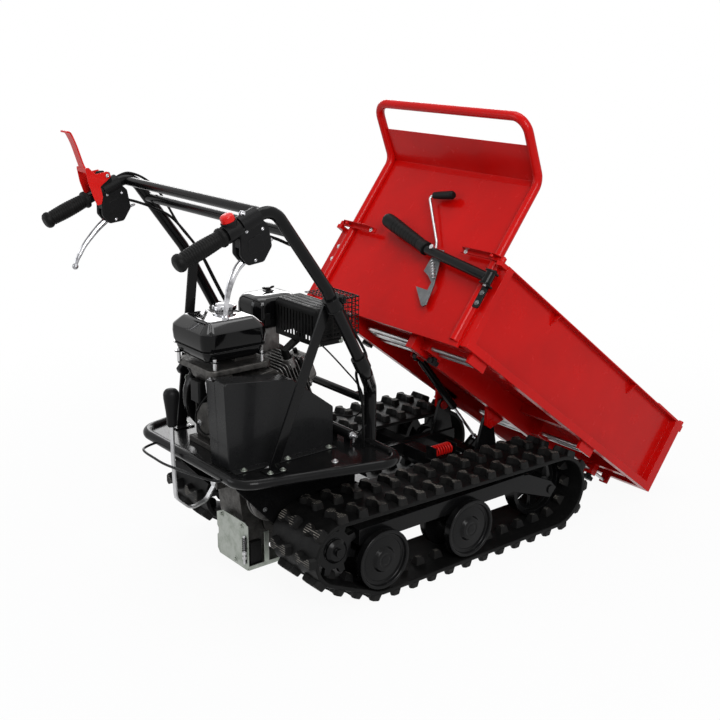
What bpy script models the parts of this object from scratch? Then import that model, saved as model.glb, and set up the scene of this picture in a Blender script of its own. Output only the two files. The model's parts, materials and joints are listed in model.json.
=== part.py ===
"""A tracked power carrier: rubber tracks, a petrol engine on a rear platform, handlebars and a tipping box.

Metres, +Z up, +X to the front, +Y to the left of someone who walks behind the handlebars.
The origin is on the ground under the middle of the machine.
Sizes along X are measured from the axle of the rear rollers.
"""

import math

import bmesh
import bpy
from mathutils import Matrix, Vector

# clearances
GAP = 0.0003
TURNING_GAP = 0.0005

# the whole machine
REAR_ROLLER_X = -0.3153

# tracks
LINKS = 34
PITCH = 0.060
BELT_THICKNESS = 0.0106
BELT_WIDTH = 0.180
TRACK_CENTRE = 0.238
LUG_HEIGHT = 0.016
LUG_LENGTH = 0.030
LUG_TAPER = 0.003
GUIDE_HEIGHT = 0.018
GUIDE_WIDTH = 0.026
GUIDE_OFFSET = 0.028

# wheels inside the tracks, by the radius of the belt's inner face on them
ROLLER_SEAT = 0.0774
ROLLER_SPACING = 0.2846
IDLER_SEAT = 0.0924
IDLER_RISE = 0.015
SPROCKET_TEETH = 8
SPROCKET_X = -0.130
SPROCKET_Z = 0.157
AXLE_RADIUS = 0.012
DRIVE_SHAFT_RADIUS = 0.014

# chassis
BEAM_BOTTOM = 0.150
BEAM_TOP = 0.190
BEAM_WIDTH = 0.060
BEAM_REAR = -0.060
BEAM_FRONT = 0.500
RAIL_INNER = 0.080
RAIL_OUTER = 0.110
RAIL_REAR = -0.100
RAIL_FRONT = 0.600
CROSS_MEMBERS = (0.120, 0.400)
CROSS_LENGTH = 0.040

# platform
PLATE_TOP = 0.352
PLATE_THICKNESS = 0.004
HOOP_RADIUS = 0.0125
HOOP_REAR = -0.342
HOOP_FRONT = 0.055
HOOP_REAR_HALF = 0.2248
HOOP_FRONT_HALF = 0.336

# posts and handlebar
POST_X = 0.066
POST_Y = 0.176
POST_RADIUS = 0.016
POST_BEND_Z = 0.490
ARM_Y = 0.3026
ARM_RADIUS = 0.0135
ARM_FOOT = (-0.052, 0.580)
ARM_KNEE = (-0.163, 0.789)
ARM_TOP = (-0.300, 0.978)
ARM_END = (-0.518, 0.8895)
ARM_BEND = 0.042
CROSSBAR_RADIUS = 0.011
GRIP_RADIUS = 0.0175

# engine
CRANK_X = -0.190
CRANK_Z = 0.458
BLOCK_BOTTOM = PLATE_TOP + GAP
BELT_PLANE = -0.1245
BELT_HALF_WIDTH = 0.005
ENGINE_PULLEY_RADIUS = 0.034
GEARBOX_PULLEY_RADIUS = 0.062
GEARBOX_SHAFT_X = -0.190
GEARBOX_SHAFT_Z = 0.262
GUARD_FACE = -0.146

# box, measured from its lower rear edge along its floor and square to it
BOX_TILT = math.radians(36.9)
HINGE_X = 0.560
HINGE_Z = 0.270
BOX_OVERHANG = 0.4511
BOX_LIFT = 0.0665
BOX_LENGTH = 0.9624
BOX_HALF_WIDTH = 0.3265
BOX_HEIGHT = 0.2257
PANEL_DEPTH = 0.0245
SHEET = 0.0025
LOOP_HALF_WIDTH = BOX_HALF_WIDTH - 0.0458
LOOP_BEND = 0.4603
LOOP_LEG = 0.1698
LOOP_LEAN = math.radians(57.3)
LOOP_RADIUS = 0.012
ROD_RADIUS = 0.005
ROD_DROP = 0.016
LONGERON_INNER = 0.112
LONGERON_OUTER = 0.136
LONGERON_DROP = 0.040

# gas strut, between the chassis and the box
STRUT_FOOT_X = 0.610
STRUT_FOOT_Z = 0.179
STRUT_HEAD_X = -0.2664
STRUT_HEAD_Z = 0.0501
STRUT_ROD_RADIUS = 0.004
STRUT_TUBE_RADIUS = 0.011
STRUT_ROD_SHOWN = 0.146

# lock on the headboard
LEVER_PIVOT_Y = 0.0155 - BOX_HALF_WIDTH
LEVER_PIVOT_Z = 0.173
LEVER_STAND_OFF = 0.030
LEVER_RADIUS = 0.013
HOOK_PIVOT_Y = -0.095
HOOK_PIVOT_Z = 0.212
HOOK_FACE = -0.015
HOOK_THICKNESS = 0.004


def wipe_scene():
    for obj in list(bpy.data.objects):
        bpy.data.objects.remove(obj, do_unlink=True)


def solid(corners, faces):
    """Closed mesh from corners and faces, with its faces turned outwards."""
    mesh = bpy.data.meshes.new("solid")
    mesh.from_pydata([tuple(corner) for corner in corners], [], faces)
    edit = bmesh.new()
    edit.from_mesh(mesh)
    bmesh.ops.recalc_face_normals(edit, faces=edit.faces)
    edit.to_mesh(mesh)
    edit.free()
    return mesh


def along(axis, first, second, distance):
    """Point with two plane coordinates and a distance along the named axis."""
    if axis == "x":
        return Vector((distance, first, second))
    if axis == "y":
        return Vector((first, distance, second))
    return Vector((first, second, distance))


def prism(outline, axis, start, end):
    """Outline in the plane square to the axis, extruded from start to end."""
    count = len(outline)
    corners = [along(axis, a, b, start) for a, b in outline]
    corners += [along(axis, a, b, end) for a, b in outline]
    faces = [list(range(count)), list(range(2 * count - 1, count - 1, -1))]
    for i in range(count):
        j = (i + 1) % count
        faces.append([i, j, count + j, count + i])
    return solid(corners, faces)


def block(low, high):
    """Box between two corners given in any order."""
    outline = [(low[0], low[1]), (high[0], low[1]), (high[0], high[1]), (low[0], high[1])]
    return prism(outline, "z", low[2], high[2])


def turned(profile, axis, centre, segments=16, closed=False, phase=0.0):
    """Profile of (radius, distance) turned round an axis through the centre."""
    corners = []
    rings = []
    for radius, distance in profile:
        if radius < 1e-7:
            rings.append([len(corners)])
            corners.append(along(axis, centre[0], centre[1], distance))
            continue
        rings.append(list(range(len(corners), len(corners) + segments)))
        for i in range(segments):
            angle = phase + 2 * math.pi * i / segments
            a = centre[0] + radius * math.cos(angle)
            b = centre[1] + radius * math.sin(angle)
            corners.append(along(axis, a, b, distance))
    faces = []
    pairs = list(zip(rings, rings[1:]))
    if closed:
        pairs.append((rings[-1], rings[0]))
    for one, two in pairs:
        for i in range(segments):
            j = (i + 1) % segments
            if len(one) == 1:
                faces.append([one[0], two[j], two[i]])
            elif len(two) == 1:
                faces.append([one[i], one[j], two[0]])
            else:
                faces.append([one[i], one[j], two[j], two[i]])
    return solid(corners, faces)


def cylinder(axis, centre, radius, start, end, segments=16):
    """Round bar along an axis."""
    return turned([(0, start), (radius, start), (radius, end), (0, end)], axis, centre, segments)


def bore_radius(shaft_radius, segments, clearance=TURNING_GAP):
    """Corner radius of a faceted hole whose flats clear a shaft."""
    return (shaft_radius + clearance) / math.cos(math.pi / segments)


def rounded(points, radius, steps=4, closed=False):
    """Route through the points with an arc in place of each corner."""
    points = [Vector(point) for point in points]
    count = len(points)
    route = []
    for i, corner in enumerate(points):
        if not closed and i in (0, count - 1):
            route.append(corner)
            continue
        back = (points[i - 1] - corner).normalized()
        ahead = (points[(i + 1) % count] - corner).normalized()
        half = back.angle(ahead) / 2
        reach = radius / math.tan(half)
        middle = corner + (back + ahead).normalized() * (radius / math.sin(half))
        start = corner + back * reach - middle
        turn = math.pi - 2 * half
        axis = back.cross(ahead).normalized()
        for k in range(steps + 1):
            route.append(middle + Matrix.Rotation(-turn * k / steps, 3, axis) @ start)
    return route


def circle(radius, sides, phase=0.0):
    """Corners of a round section."""
    angles = [phase + 2 * math.pi * i / sides for i in range(sides)]
    return [(radius * math.cos(angle), radius * math.sin(angle)) for angle in angles]


def sweep(route, section, side=None, closed=False, ends=None):
    """Section carried along a route; side fixes the direction of the section's first axis."""
    route = [Vector(point) for point in route]
    count = len(route)
    tangents = []
    for i in range(count):
        before = route[i - 1] if (closed or i > 0) else route[i]
        after = route[(i + 1) % count] if (closed or i < count - 1) else route[i]
        incoming = (route[i] - before).normalized()
        outgoing = (after - route[i]).normalized()
        tangents.append((incoming + outgoing).normalized())
    if side is None:
        first = tangents[0].orthogonal().normalized()
    else:
        first = Vector(side).normalized()
    corners = []
    for i, (point, tangent) in enumerate(zip(route, tangents)):
        if side is not None:
            first = Vector(side)
        first = (first - tangent * first.dot(tangent)).normalized()
        second = tangent.cross(first)
        scale = ends[i] if ends else 1.0
        corners += [point + (first * a + second * b) * scale for a, b in section]
    sides = len(section)
    faces = []
    for i in range(count if closed else count - 1):
        j = (i + 1) % count
        for k in range(sides):
            m = (k + 1) % sides
            faces.append([i * sides + k, i * sides + m, j * sides + m, j * sides + k])
    if not closed:
        faces.append(list(range(sides)))
        faces.append(list(range(count * sides - 1, (count - 1) * sides - 1, -1)))
    return solid(corners, faces)


def tube(points, radius, sides=10, bend=0.0, steps=4, closed=False):
    """Round bar through the points, with bends of one radius."""
    route = rounded(points, bend, steps, closed) if bend else points
    return sweep(route, circle(radius, sides), closed=closed)


def flat_bar(points, width, thickness, side):
    """Flat bar through the points, its width along side."""
    section = [(-width / 2, -thickness / 2), (width / 2, -thickness / 2)]
    section += [(width / 2, thickness / 2), (-width / 2, thickness / 2)]
    return sweep(points, section, side=side)


def moved(mesh, matrix):
    """Mesh turned and moved by a matrix."""
    mesh.transform(matrix)
    return mesh


def unite(solids, cutters=()):
    """Union of the solids less the cutters, as one mesh."""
    collection = bpy.context.scene.collection
    base = bpy.data.objects.new("base", solids[0])
    collection.objects.link(base)
    tools = []
    steps = [(mesh, "UNION") for mesh in solids[1:]] + [(mesh, "DIFFERENCE") for mesh in cutters]
    for mesh, operation in steps:
        tool = bpy.data.objects.new("tool", mesh)
        collection.objects.link(tool)
        tools.append(tool)
        step = base.modifiers.new(operation.lower(), "BOOLEAN")
        step.operation = operation
        step.solver = "EXACT"
        step.object = tool
    depsgraph = bpy.context.evaluated_depsgraph_get()
    result = bpy.data.meshes.new_from_object(base.evaluated_get(depsgraph))
    for obj in [base] + tools:
        bpy.data.objects.remove(obj, do_unlink=True)
    edit = bmesh.new()
    edit.from_mesh(result)
    bmesh.ops.remove_doubles(edit, verts=edit.verts, dist=2e-6)
    bmesh.ops.dissolve_degenerate(edit, edges=edit.edges, dist=2e-6)
    edit.to_mesh(result)
    edit.free()
    return result


def finish_of(name, colour, roughness, metallic=0.0):
    """Principled material, made once."""
    made = bpy.data.materials.get(name)
    if made:
        return made
    made = bpy.data.materials.new(name)
    made.use_nodes = True
    shader = made.node_tree.nodes["Principled BSDF"]
    shader.inputs["Base Color"].default_value = (*colour, 1.0)
    shader.inputs["Roughness"].default_value = roughness
    shader.inputs["Metallic"].default_value = metallic
    return made


FINISHES = {
    "red_paint": ((0.62, 0.012, 0.010), 0.32, 0.0),
    "black_paint": ((0.022, 0.022, 0.024), 0.38, 0.0),
    "black_plastic": ((0.018, 0.018, 0.019), 0.50, 0.0),
    "red_plastic": ((0.60, 0.015, 0.012), 0.35, 0.0),
    "rubber": ((0.012, 0.012, 0.013), 0.72, 0.0),
    "wheel_paint": ((0.030, 0.030, 0.032), 0.45, 0.0),
    "galvanised": ((0.56, 0.56, 0.57), 0.42, 0.9),
    "chrome": ((0.80, 0.80, 0.82), 0.10, 1.0),
    "cast_aluminium": ((0.40, 0.40, 0.41), 0.45, 0.9),
    "grey_paint": ((0.23, 0.24, 0.25), 0.40, 0.0),
}


def piece(name, mesh, finish, parent, pivot=(0, 0, 0)):
    """Named sub-part; its mesh is given in the parent's axes and its origin is at the pivot."""
    mesh.transform(Matrix.Translation(-Vector(pivot)))
    mesh.shade_smooth()
    mesh.set_sharp_from_angle(angle=math.radians(35))
    mesh.materials.clear()
    mesh.materials.append(finish_of(finish, *FINISHES[finish]))
    mesh.name = name
    obj = bpy.data.objects.new(name, mesh)
    obj.parent = parent
    obj.location = pivot
    bpy.context.scene.collection.objects.link(obj)
    return obj


def empty(name, location, turn=0.0):
    """Guide with axes of its own, turned about Y."""
    guide = bpy.data.objects.new(name, None)
    guide.location = location
    guide.rotation_euler = (0, turn, 0)
    bpy.context.scene.collection.objects.link(guide)
    return guide


SIDES = (("left", 1), ("right", -1))

ROLLER_Z = LUG_HEIGHT + BELT_THICKNESS + ROLLER_SEAT
IDLER_Z = ROLLER_Z + IDLER_RISE
NEUTRAL = BELT_THICKNESS / 2
SPROCKET_SEAT = SPROCKET_TEETH * PITCH / (2 * math.pi) - NEUTRAL


def belt_wheels(idler_x):
    """Wheels in the order in which the lower run meets them, as (x, z, radius of the neutral line)."""
    return [
        (SPROCKET_X, SPROCKET_Z, SPROCKET_SEAT + NEUTRAL),
        (0.0, ROLLER_Z, ROLLER_SEAT + NEUTRAL),
        (ROLLER_SPACING, ROLLER_Z, ROLLER_SEAT + NEUTRAL),
        (idler_x, IDLER_Z, IDLER_SEAT + NEUTRAL),
    ]


def belt_stretches(idler_x):
    """Runs and arcs of the neutral line, with the outward directions at their ends."""
    wheels = belt_wheels(idler_x)
    normals = []
    for i, (x, z, radius) in enumerate(wheels):
        next_x, next_z, next_radius = wheels[(i + 1) % len(wheels)]
        distance = math.hypot(next_x - x, next_z - z)
        u = ((next_x - x) / distance, (next_z - z) / distance)
        share = (radius - next_radius) / distance
        rest = math.sqrt(1 - share * share)
        normals.append((share * u[0] + rest * u[1], share * u[1] - rest * u[0]))
    stretches = []
    for i, (x, z, radius) in enumerate(wheels):
        arrive = normals[i - 1]
        leave = normals[i]
        start = math.atan2(arrive[1], arrive[0])
        turn = (math.atan2(leave[1], leave[0]) - start) % (2 * math.pi)
        stretches.append(("arc", (x, z), radius, start, turn, radius * turn))
        next_x, next_z, next_radius = wheels[(i + 1) % len(wheels)]
        begin = (x + radius * leave[0], z + radius * leave[1])
        end = (next_x + next_radius * leave[0], next_z + next_radius * leave[1])
        length = math.hypot(end[0] - begin[0], end[1] - begin[1])
        stretches.append(("run", begin, end, leave, 0.0, length))
    return stretches


def belt_length(idler_x):
    return sum(stretch[5] for stretch in belt_stretches(idler_x))


def idler_place():
    """Where the idler tensions a belt of the given number of links."""
    near = ROLLER_SPACING + ROLLER_SEAT
    far = near + LINKS * PITCH
    for _ in range(60):
        middle = (near + far) / 2
        if belt_length(middle) < LINKS * PITCH:
            near = middle
        else:
            far = middle
    return middle


IDLER_X = idler_place()
STRETCHES = belt_stretches(IDLER_X)


def belt_point(distance):
    """Point and outward direction on the neutral line, in the plane of the track."""
    distance %= sum(stretch[5] for stretch in STRETCHES)
    for kind, a, b, c, turn, length in STRETCHES:
        if distance <= length:
            break
        distance -= length
    if kind == "arc":
        angle = c + turn * distance / length
        normal = (math.cos(angle), math.sin(angle))
        return (a[0] + b * normal[0], a[1] + b * normal[1]), normal
    share = distance / length
    return (a[0] + (b[0] - a[0]) * share, a[1] + (b[1] - a[1]) * share), c


def first_link_angle():
    """Direction from the sprocket to the middle of the first link."""
    normal = belt_point(0.0)[1]
    return math.atan2(normal[1], normal[0])


def track_mesh(side):
    """Rubber belt with two columns of lugs outside and one row of guide lugs inside."""
    half = BELT_WIDTH / 2
    inner_edge = TRACK_CENTRE - half
    outer_edge = TRACK_CENTRE + half
    inner_lug = (inner_edge + 0.015, inner_edge + 0.085)
    outer_lug = (inner_edge + 0.115, outer_edge)
    guide = (TRACK_CENTRE + GUIDE_OFFSET - GUIDE_WIDTH / 2, TRACK_CENTRE + GUIDE_OFFSET + GUIDE_WIDTH / 2)
    end_reach = LUG_LENGTH / 2
    top = NEUTRAL + LUG_HEIGHT
    guide_top = -NEUTRAL - GUIDE_HEIGHT
    guide_reach = 0.008
    corners = []
    faces = []

    def corner(middle, offset, height, y):
        point, normal = belt_point(middle + offset)
        corners.append((point[0] + normal[0] * height, y * side, point[1] + normal[1] * height))
        return len(corners) - 1

    outer_lines = (inner_edge, inner_lug[0], inner_lug[1], outer_lug[0], outer_edge)
    inner_lines = (inner_edge, guide[0], guide[1], outer_edge)
    links = []
    for i in range(LINKS):
        middle = i * PITCH
        link = {}
        for key, offset in (("back", -end_reach), ("front", end_reach)):
            link[key] = [corner(middle, offset, NEUTRAL, y) for y in outer_lines]
            link["under_" + key] = [corner(middle, offset, -NEUTRAL, y) for y in inner_lines]
        links.append(link)
        back, front = link["back"], link["front"]
        faces.append([back[0], back[1], front[1], front[0]])
        faces.append([back[2], back[3], front[3], front[2]])
        for lug, low, high in ((inner_lug, 1, 2), (outer_lug, 3, 4)):
            inset = (lug[0] + LUG_TAPER, lug[1] - LUG_TAPER)
            reach = end_reach - LUG_TAPER
            top_back = [corner(middle, -reach, top, y) for y in inset]
            top_front = [corner(middle, reach, top, y) for y in inset]
            faces.append([back[low], back[high], top_back[1], top_back[0]])
            faces.append([front[low], top_front[0], top_front[1], front[high]])
            faces.append([back[low], top_back[0], top_front[0], front[low]])
            faces.append([back[high], front[high], top_front[1], top_back[1]])
            faces.append([top_back[0], top_back[1], top_front[1], top_front[0]])
        under_back, under_front = link["under_back"], link["under_front"]
        for low in (0, 2):
            faces.append([under_back[low], under_front[low], under_front[low + 1], under_back[low + 1]])
        peak = [corner(middle, -guide_reach, guide_top, y) for y in guide]
        peak += [corner(middle, guide_reach, guide_top, y) for y in (guide[1], guide[0])]
        base = [under_back[1], under_back[2], under_front[2], under_front[1]]
        faces.append(peak)
        for k in range(4):
            m = (k + 1) % 4
            faces.append([base[k], base[m], peak[m], peak[k]])
        faces.append([back[0], front[0], under_front[0], under_back[0]])
        faces.append([back[4], under_back[3], under_front[3], front[4]])
    for i in range(LINKS):
        front, back = links[i], links[(i + 1) % LINKS]
        for low in range(4):
            quad = [front["front"][low], front["front"][low + 1], back["back"][low + 1], back["back"][low]]
            faces.append(quad)
        for low in range(3):
            quad = [front["under_front"][low], back["under_back"][low]]
            faces.append(quad + [back["under_back"][low + 1], front["under_front"][low + 1]])
        faces.append([front["front"][0], back["back"][0], back["under_back"][0], front["under_front"][0]])
        faces.append([front["front"][4], front["under_front"][3], back["under_back"][3], back["back"][4]])
    return solid(corners, faces)


def wheel_radius(seat, step=LUG_LENGTH):
    """Largest wheel inside a belt that bends in straight facets of the given length."""
    return seat * math.cos(step / 2 / (seat + NEUTRAL)) - GAP


def spool(rows, side, x, z, segments=16):
    """Turned piece on an axle along Y, from rows of (radius, distance from the centre plane)."""
    return turned([(radius, distance * side) for radius, distance in rows], "y", (x, z), segments)


def roller_mesh(side, x):
    """Double-disc track roller on its own spindle."""
    rim = wheel_radius(ROLLER_SEAT)
    inner, inner_end = TRACK_CENTRE - 0.030, TRACK_CENTRE - 0.008
    outer, outer_end = TRACK_CENTRE + 0.064, TRACK_CENTRE + 0.0845
    rows = [
        (0, inner),
        (rim, inner),
        (rim, inner_end),
        (0.026, inner_end),
        (AXLE_RADIUS, inner_end + 0.004),
        (AXLE_RADIUS, outer - 0.004),
        (0.026, outer),
        (rim, outer),
        (rim, outer_end),
        (rim - 0.010, outer_end),
        (rim - 0.016, outer_end - 0.010),
        (0.034, outer_end - 0.008),
        (0.026, outer_end + 0.001),
        (0, outer_end + 0.001),
    ]
    return spool(rows, side, x, ROLLER_Z, 12)


IDLER_INNER = TRACK_CENTRE - 0.030
IDLER_OUTER = TRACK_CENTRE + 0.008
IDLER_HUB_END = TRACK_CENTRE + 0.0257
IDLER_STUB_RADIUS = 0.0125
ARM_INNER = TRACK_CENTRE + 0.026
ARM_OUTER = TRACK_CENTRE + 0.060


def idler_mesh(side):
    """Front idler: rim, hub with a blind bore, and five spokes between windows."""
    rim = wheel_radius(IDLER_SEAT)
    middle = (IDLER_INNER + IDLER_OUTER) / 2
    web = 0.005
    bore = bore_radius(IDLER_STUB_RADIUS, 16)
    rows = [
        (0, IDLER_INNER),
        (0.030, IDLER_INNER),
        (0.032, middle - web),
        (rim - 0.014, middle - web),
        (rim - 0.012, IDLER_INNER),
        (rim, IDLER_INNER),
        (rim, IDLER_OUTER),
        (rim - 0.012, IDLER_OUTER),
        (rim - 0.014, middle + web),
        (0.032, middle + web),
        (0.027, IDLER_HUB_END),
        (bore, IDLER_HUB_END),
        (bore, IDLER_INNER + 0.008),
        (0, IDLER_INNER + 0.008),
    ]
    wheel = spool(rows, side, IDLER_X, IDLER_Z, 16)
    windows = []
    count = 5
    inner, outer = 0.040, rim - 0.020
    spread = math.radians(25)
    for i in range(count):
        angle = math.radians(18) + 2 * math.pi * i / count
        outline = []
        for radius, share in ((inner, -0.8), (outer, -1), (outer, 1), (inner, 0.8)):
            turn = angle + spread * share
            outline.append((IDLER_X + radius * math.cos(turn), IDLER_Z + radius * math.sin(turn)))
        windows.append(prism(outline, "y", IDLER_INNER * side, IDLER_OUTER * side))
    return unite([wheel], windows)


SPROCKET_INNER = TRACK_CENTRE + 0.002
SPROCKET_OUTER = TRACK_CENTRE + 0.055
SHAFT_INNER = 0.140
GUIDE_INNER = TRACK_CENTRE + GUIDE_OFFSET - GUIDE_WIDTH / 2 - 0.0015
GUIDE_OUTER = TRACK_CENTRE + GUIDE_OFFSET + GUIDE_WIDTH / 2 + 0.0015


def sprocket_mesh(side):
    """Drive sprocket with a row of teeth on each side of the guide lugs, and its shaft."""
    tip = SPROCKET_SEAT - 0.006
    root = SPROCKET_SEAT - GUIDE_HEIGHT - 0.005
    step = 2 * math.pi / SPROCKET_TEETH
    start = first_link_angle() + step / 2
    outline = []
    for i in range(SPROCKET_TEETH):
        middle = start + i * step
        for radius, share in ((root, -0.27), (tip, -0.15), (tip, 0.15), (root, 0.27)):
            angle = middle + step * share
            outline.append((SPROCKET_X + radius * math.cos(angle), SPROCKET_Z + radius * math.sin(angle)))
    solids = []
    for inner, outer in ((SPROCKET_INNER, GUIDE_INNER), (GUIDE_OUTER, SPROCKET_OUTER)):
        solids.append(prism(outline, "y", inner * side, outer * side))
    rows = [
        (0, SHAFT_INNER),
        (DRIVE_SHAFT_RADIUS, SHAFT_INNER),
        (DRIVE_SHAFT_RADIUS, SPROCKET_INNER - 0.020),
        (0.028, SPROCKET_INNER - 0.018),
        (0.030, SPROCKET_OUTER + 0.006),
        (0.022, SPROCKET_OUTER + 0.012),
        (0.010, SPROCKET_OUTER + 0.012),
        (0.010, SPROCKET_OUTER + 0.020),
        (0, SPROCKET_OUTER + 0.020),
    ]
    return unite(solids + [spool(rows, side, SPROCKET_X, SPROCKET_Z, 12)])


HINGE_PIN_RADIUS = 0.010
HINGE_EAR_INNER = 0.086
HINGE_EAR_OUTER = 0.096
BOX_EAR_INNER = HINGE_EAR_OUTER + 0.001
BOX_EAR_OUTER = BOX_EAR_INNER + 0.010
STRUT_EYE_HALF = 0.008
STRUT_PIN_RADIUS = 0.0045
SPRING_Y = -0.058
SPRING_WIRE = 0.0028
SPRING_COIL = 0.0135
SPRING_SEAT = BEAM_TOP + 0.001
SPRING_START = 0.385
SPRING_END = 0.455


def chassis_mesh():
    """Welded ladder frame with roller hangers, idler arms, hinge ears and the foot of the gas strut."""
    beam_inner = TRACK_CENTRE - 0.002
    beam_outer = beam_inner + BEAM_WIDTH
    hanger = (TRACK_CENTRE + 0.020, TRACK_CENTRE + 0.036)
    solids = []
    cutters = []
    for x in CROSS_MEMBERS:
        low = (x, -beam_inner - 0.004, BEAM_BOTTOM + 0.002)
        high = (x + CROSS_LENGTH, beam_inner + 0.004, BEAM_TOP - 0.002)
        solids.append(block(low, high))
    for _, side in SIDES:
        low = (BEAM_REAR, beam_inner * side, BEAM_BOTTOM)
        high = (BEAM_FRONT, beam_outer * side, BEAM_TOP)
        solids.append(block(low, high))
        low = (RAIL_REAR, RAIL_INNER * side, BEAM_BOTTOM)
        high = (RAIL_FRONT, RAIL_OUTER * side, BEAM_TOP)
        solids.append(block(low, high))
        for x in (0.0, ROLLER_SPACING):
            boss = 0.022
            outline = [(x - 0.034, BEAM_BOTTOM + 0.003), (x - boss, ROLLER_Z + 0.004), (x - boss, ROLLER_Z - 0.010)]
            outline += [(x - 0.010, ROLLER_Z - boss), (x + 0.010, ROLLER_Z - boss), (x + boss, ROLLER_Z - 0.010)]
            outline += [(x + boss, ROLLER_Z + 0.004), (x + 0.034, BEAM_BOTTOM + 0.003)]
            solids.append(prism(outline, "y", hanger[0] * side, hanger[1] * side))
            bore = bore_radius(AXLE_RADIUS, 12)
            cutters.append(cylinder("y", (x, ROLLER_Z), bore, 0.230 * side, 0.296 * side, 12))
        nose = 0.024
        outline = [(BEAM_FRONT - 0.040, BEAM_BOTTOM + 0.001), (BEAM_FRONT - 0.040, BEAM_TOP - 0.001)]
        outline += [(BEAM_FRONT + 0.020, BEAM_TOP - 0.006), (IDLER_X, IDLER_Z + nose)]
        outline += [(IDLER_X + nose, IDLER_Z), (IDLER_X, IDLER_Z - nose)]
        solids.append(prism(outline, "y", ARM_INNER * side, (ARM_OUTER - 0.004) * side))
        stub = IDLER_INNER + 0.010
        solids.append(cylinder("y", (IDLER_X, IDLER_Z), IDLER_STUB_RADIUS, stub * side, ARM_OUTER * side, 12))
        for x in (RAIL_REAR + 0.004, -0.010):
            inner, outer = RAIL_INNER + 0.002, RAIL_OUTER - 0.002
            top = PLATE_TOP - PLATE_THICKNESS - GAP
            solids.append(block((x, inner * side, BEAM_TOP - 0.010), (x + 0.034, outer * side, top - 0.002)))
            low = (x - 0.012, (inner - 0.010) * side, top - 0.006)
            high = (x + 0.046, (outer + 0.010) * side, top)
            solids.append(block(low, high))
        outline = [(HINGE_X - 0.045, BEAM_TOP - 0.006), (HINGE_X - 0.018, HINGE_Z + 0.006)]
        outline += [(HINGE_X - 0.010, HINGE_Z + 0.018), (HINGE_X + 0.010, HINGE_Z + 0.018)]
        outline += [(HINGE_X + 0.018, HINGE_Z + 0.006), (HINGE_X + 0.038, BEAM_TOP - 0.006)]
        solids.append(prism(outline, "y", HINGE_EAR_INNER * side, HINGE_EAR_OUTER * side))
        bore = bore_radius(HINGE_PIN_RADIUS, 16)
        cutters.append(cylinder("y", (HINGE_X, HINGE_Z), bore, 0.070 * side, 0.120 * side))
        inner = STRUT_EYE_HALF + 0.001
        outline = [(0.550, BEAM_BOTTOM + 0.003), (STRUT_FOOT_X - 0.006, BEAM_BOTTOM + 0.003)]
        outline += [(STRUT_FOOT_X + 0.012, STRUT_FOOT_Z - 0.006), (STRUT_FOOT_X + 0.010, STRUT_FOOT_Z + 0.009)]
        outline += [(STRUT_FOOT_X - 0.008, STRUT_FOOT_Z + 0.009), (0.570, BEAM_BOTTOM + 0.014)]
        solids.append(prism(outline, "y", inner * side, (inner + 0.006) * side))
    low = (0.545, -RAIL_INNER - 0.004, BEAM_BOTTOM + 0.001)
    high = (0.585, RAIL_INNER + 0.004, BEAM_BOTTOM + 0.016)
    solids.append(block(low, high))
    reach = STRUT_EYE_HALF + 0.004
    solids.append(cylinder("y", (STRUT_FOOT_X, STRUT_FOOT_Z), STRUT_PIN_RADIUS, -reach, reach, 12))
    solids += spring_seat()
    return unite(solids, cutters)


def spring_seat():
    """Bracket of the red spring on the front cross-member, with the pin inside the spring."""
    wide = 0.021
    centre = SPRING_SEAT + GAP + SPRING_WIRE + SPRING_COIL
    plate = 0.004
    start, end = SPRING_START - plate - GAP, SPRING_END + plate + GAP
    solids = [block((start, SPRING_Y - wide, BEAM_TOP - 0.003), (end, SPRING_Y + wide, SPRING_SEAT))]
    for x in (start, end - plate):
        low = (x, SPRING_Y - wide + 0.001, SPRING_SEAT - 0.002)
        solids.append(block(low, (x + plate, SPRING_Y + wide - 0.001, centre + SPRING_COIL + 0.002)))
    solids.append(cylinder("x", (SPRING_Y, centre), 0.007, start + 0.001, end - 0.001, 10))
    return solids


def coil(start, end, turns, radius, wire, points_a_turn=8):
    """Coil spring as one tube round the line from start to end."""
    start, end = Vector(start), Vector(end)
    line = (end - start).normalized()
    first = line.orthogonal().normalized()
    second = line.cross(first)
    begin, finish = start + line * wire, end - line * wire
    count = turns * points_a_turn
    route = []
    for i in range(count + 1):
        angle = 2 * math.pi * i / points_a_turn
        middle = begin + (finish - begin) * i / count
        route.append(middle + (first * math.cos(angle) + second * math.sin(angle)) * radius)
    lead = (finish - begin).length / turns
    print("least gap between turns, mm:", round(1000 * (lead - 2 * wire), 2))
    return sweep(route, circle(wire, 6))


def hoop_route():
    """Centre line of the platform's tube, as four corners seen from above."""
    z = PLATE_TOP - PLATE_THICKNESS / 2
    rear, front = HOOP_REAR, HOOP_FRONT
    return [
        (rear, -HOOP_REAR_HALF, z),
        (front, -HOOP_FRONT_HALF, z),
        (front, HOOP_FRONT_HALF, z),
        (rear, HOOP_REAR_HALF, z),
    ]


POST_BAR_Z = 0.452
KEEPER_Y = -0.108
KEEPER_END = 0.0925
SOCKET_LENGTH = 0.044
SOCKET_RADIUS = 0.0185


def arm_direction():
    """Unit direction of the lower stretch of the handlebar's arms, in the plane of X and Z."""
    run = Vector((ARM_KNEE[0] - ARM_FOOT[0], 0, ARM_KNEE[1] - ARM_FOOT[1]))
    return run.normalized()


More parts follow.
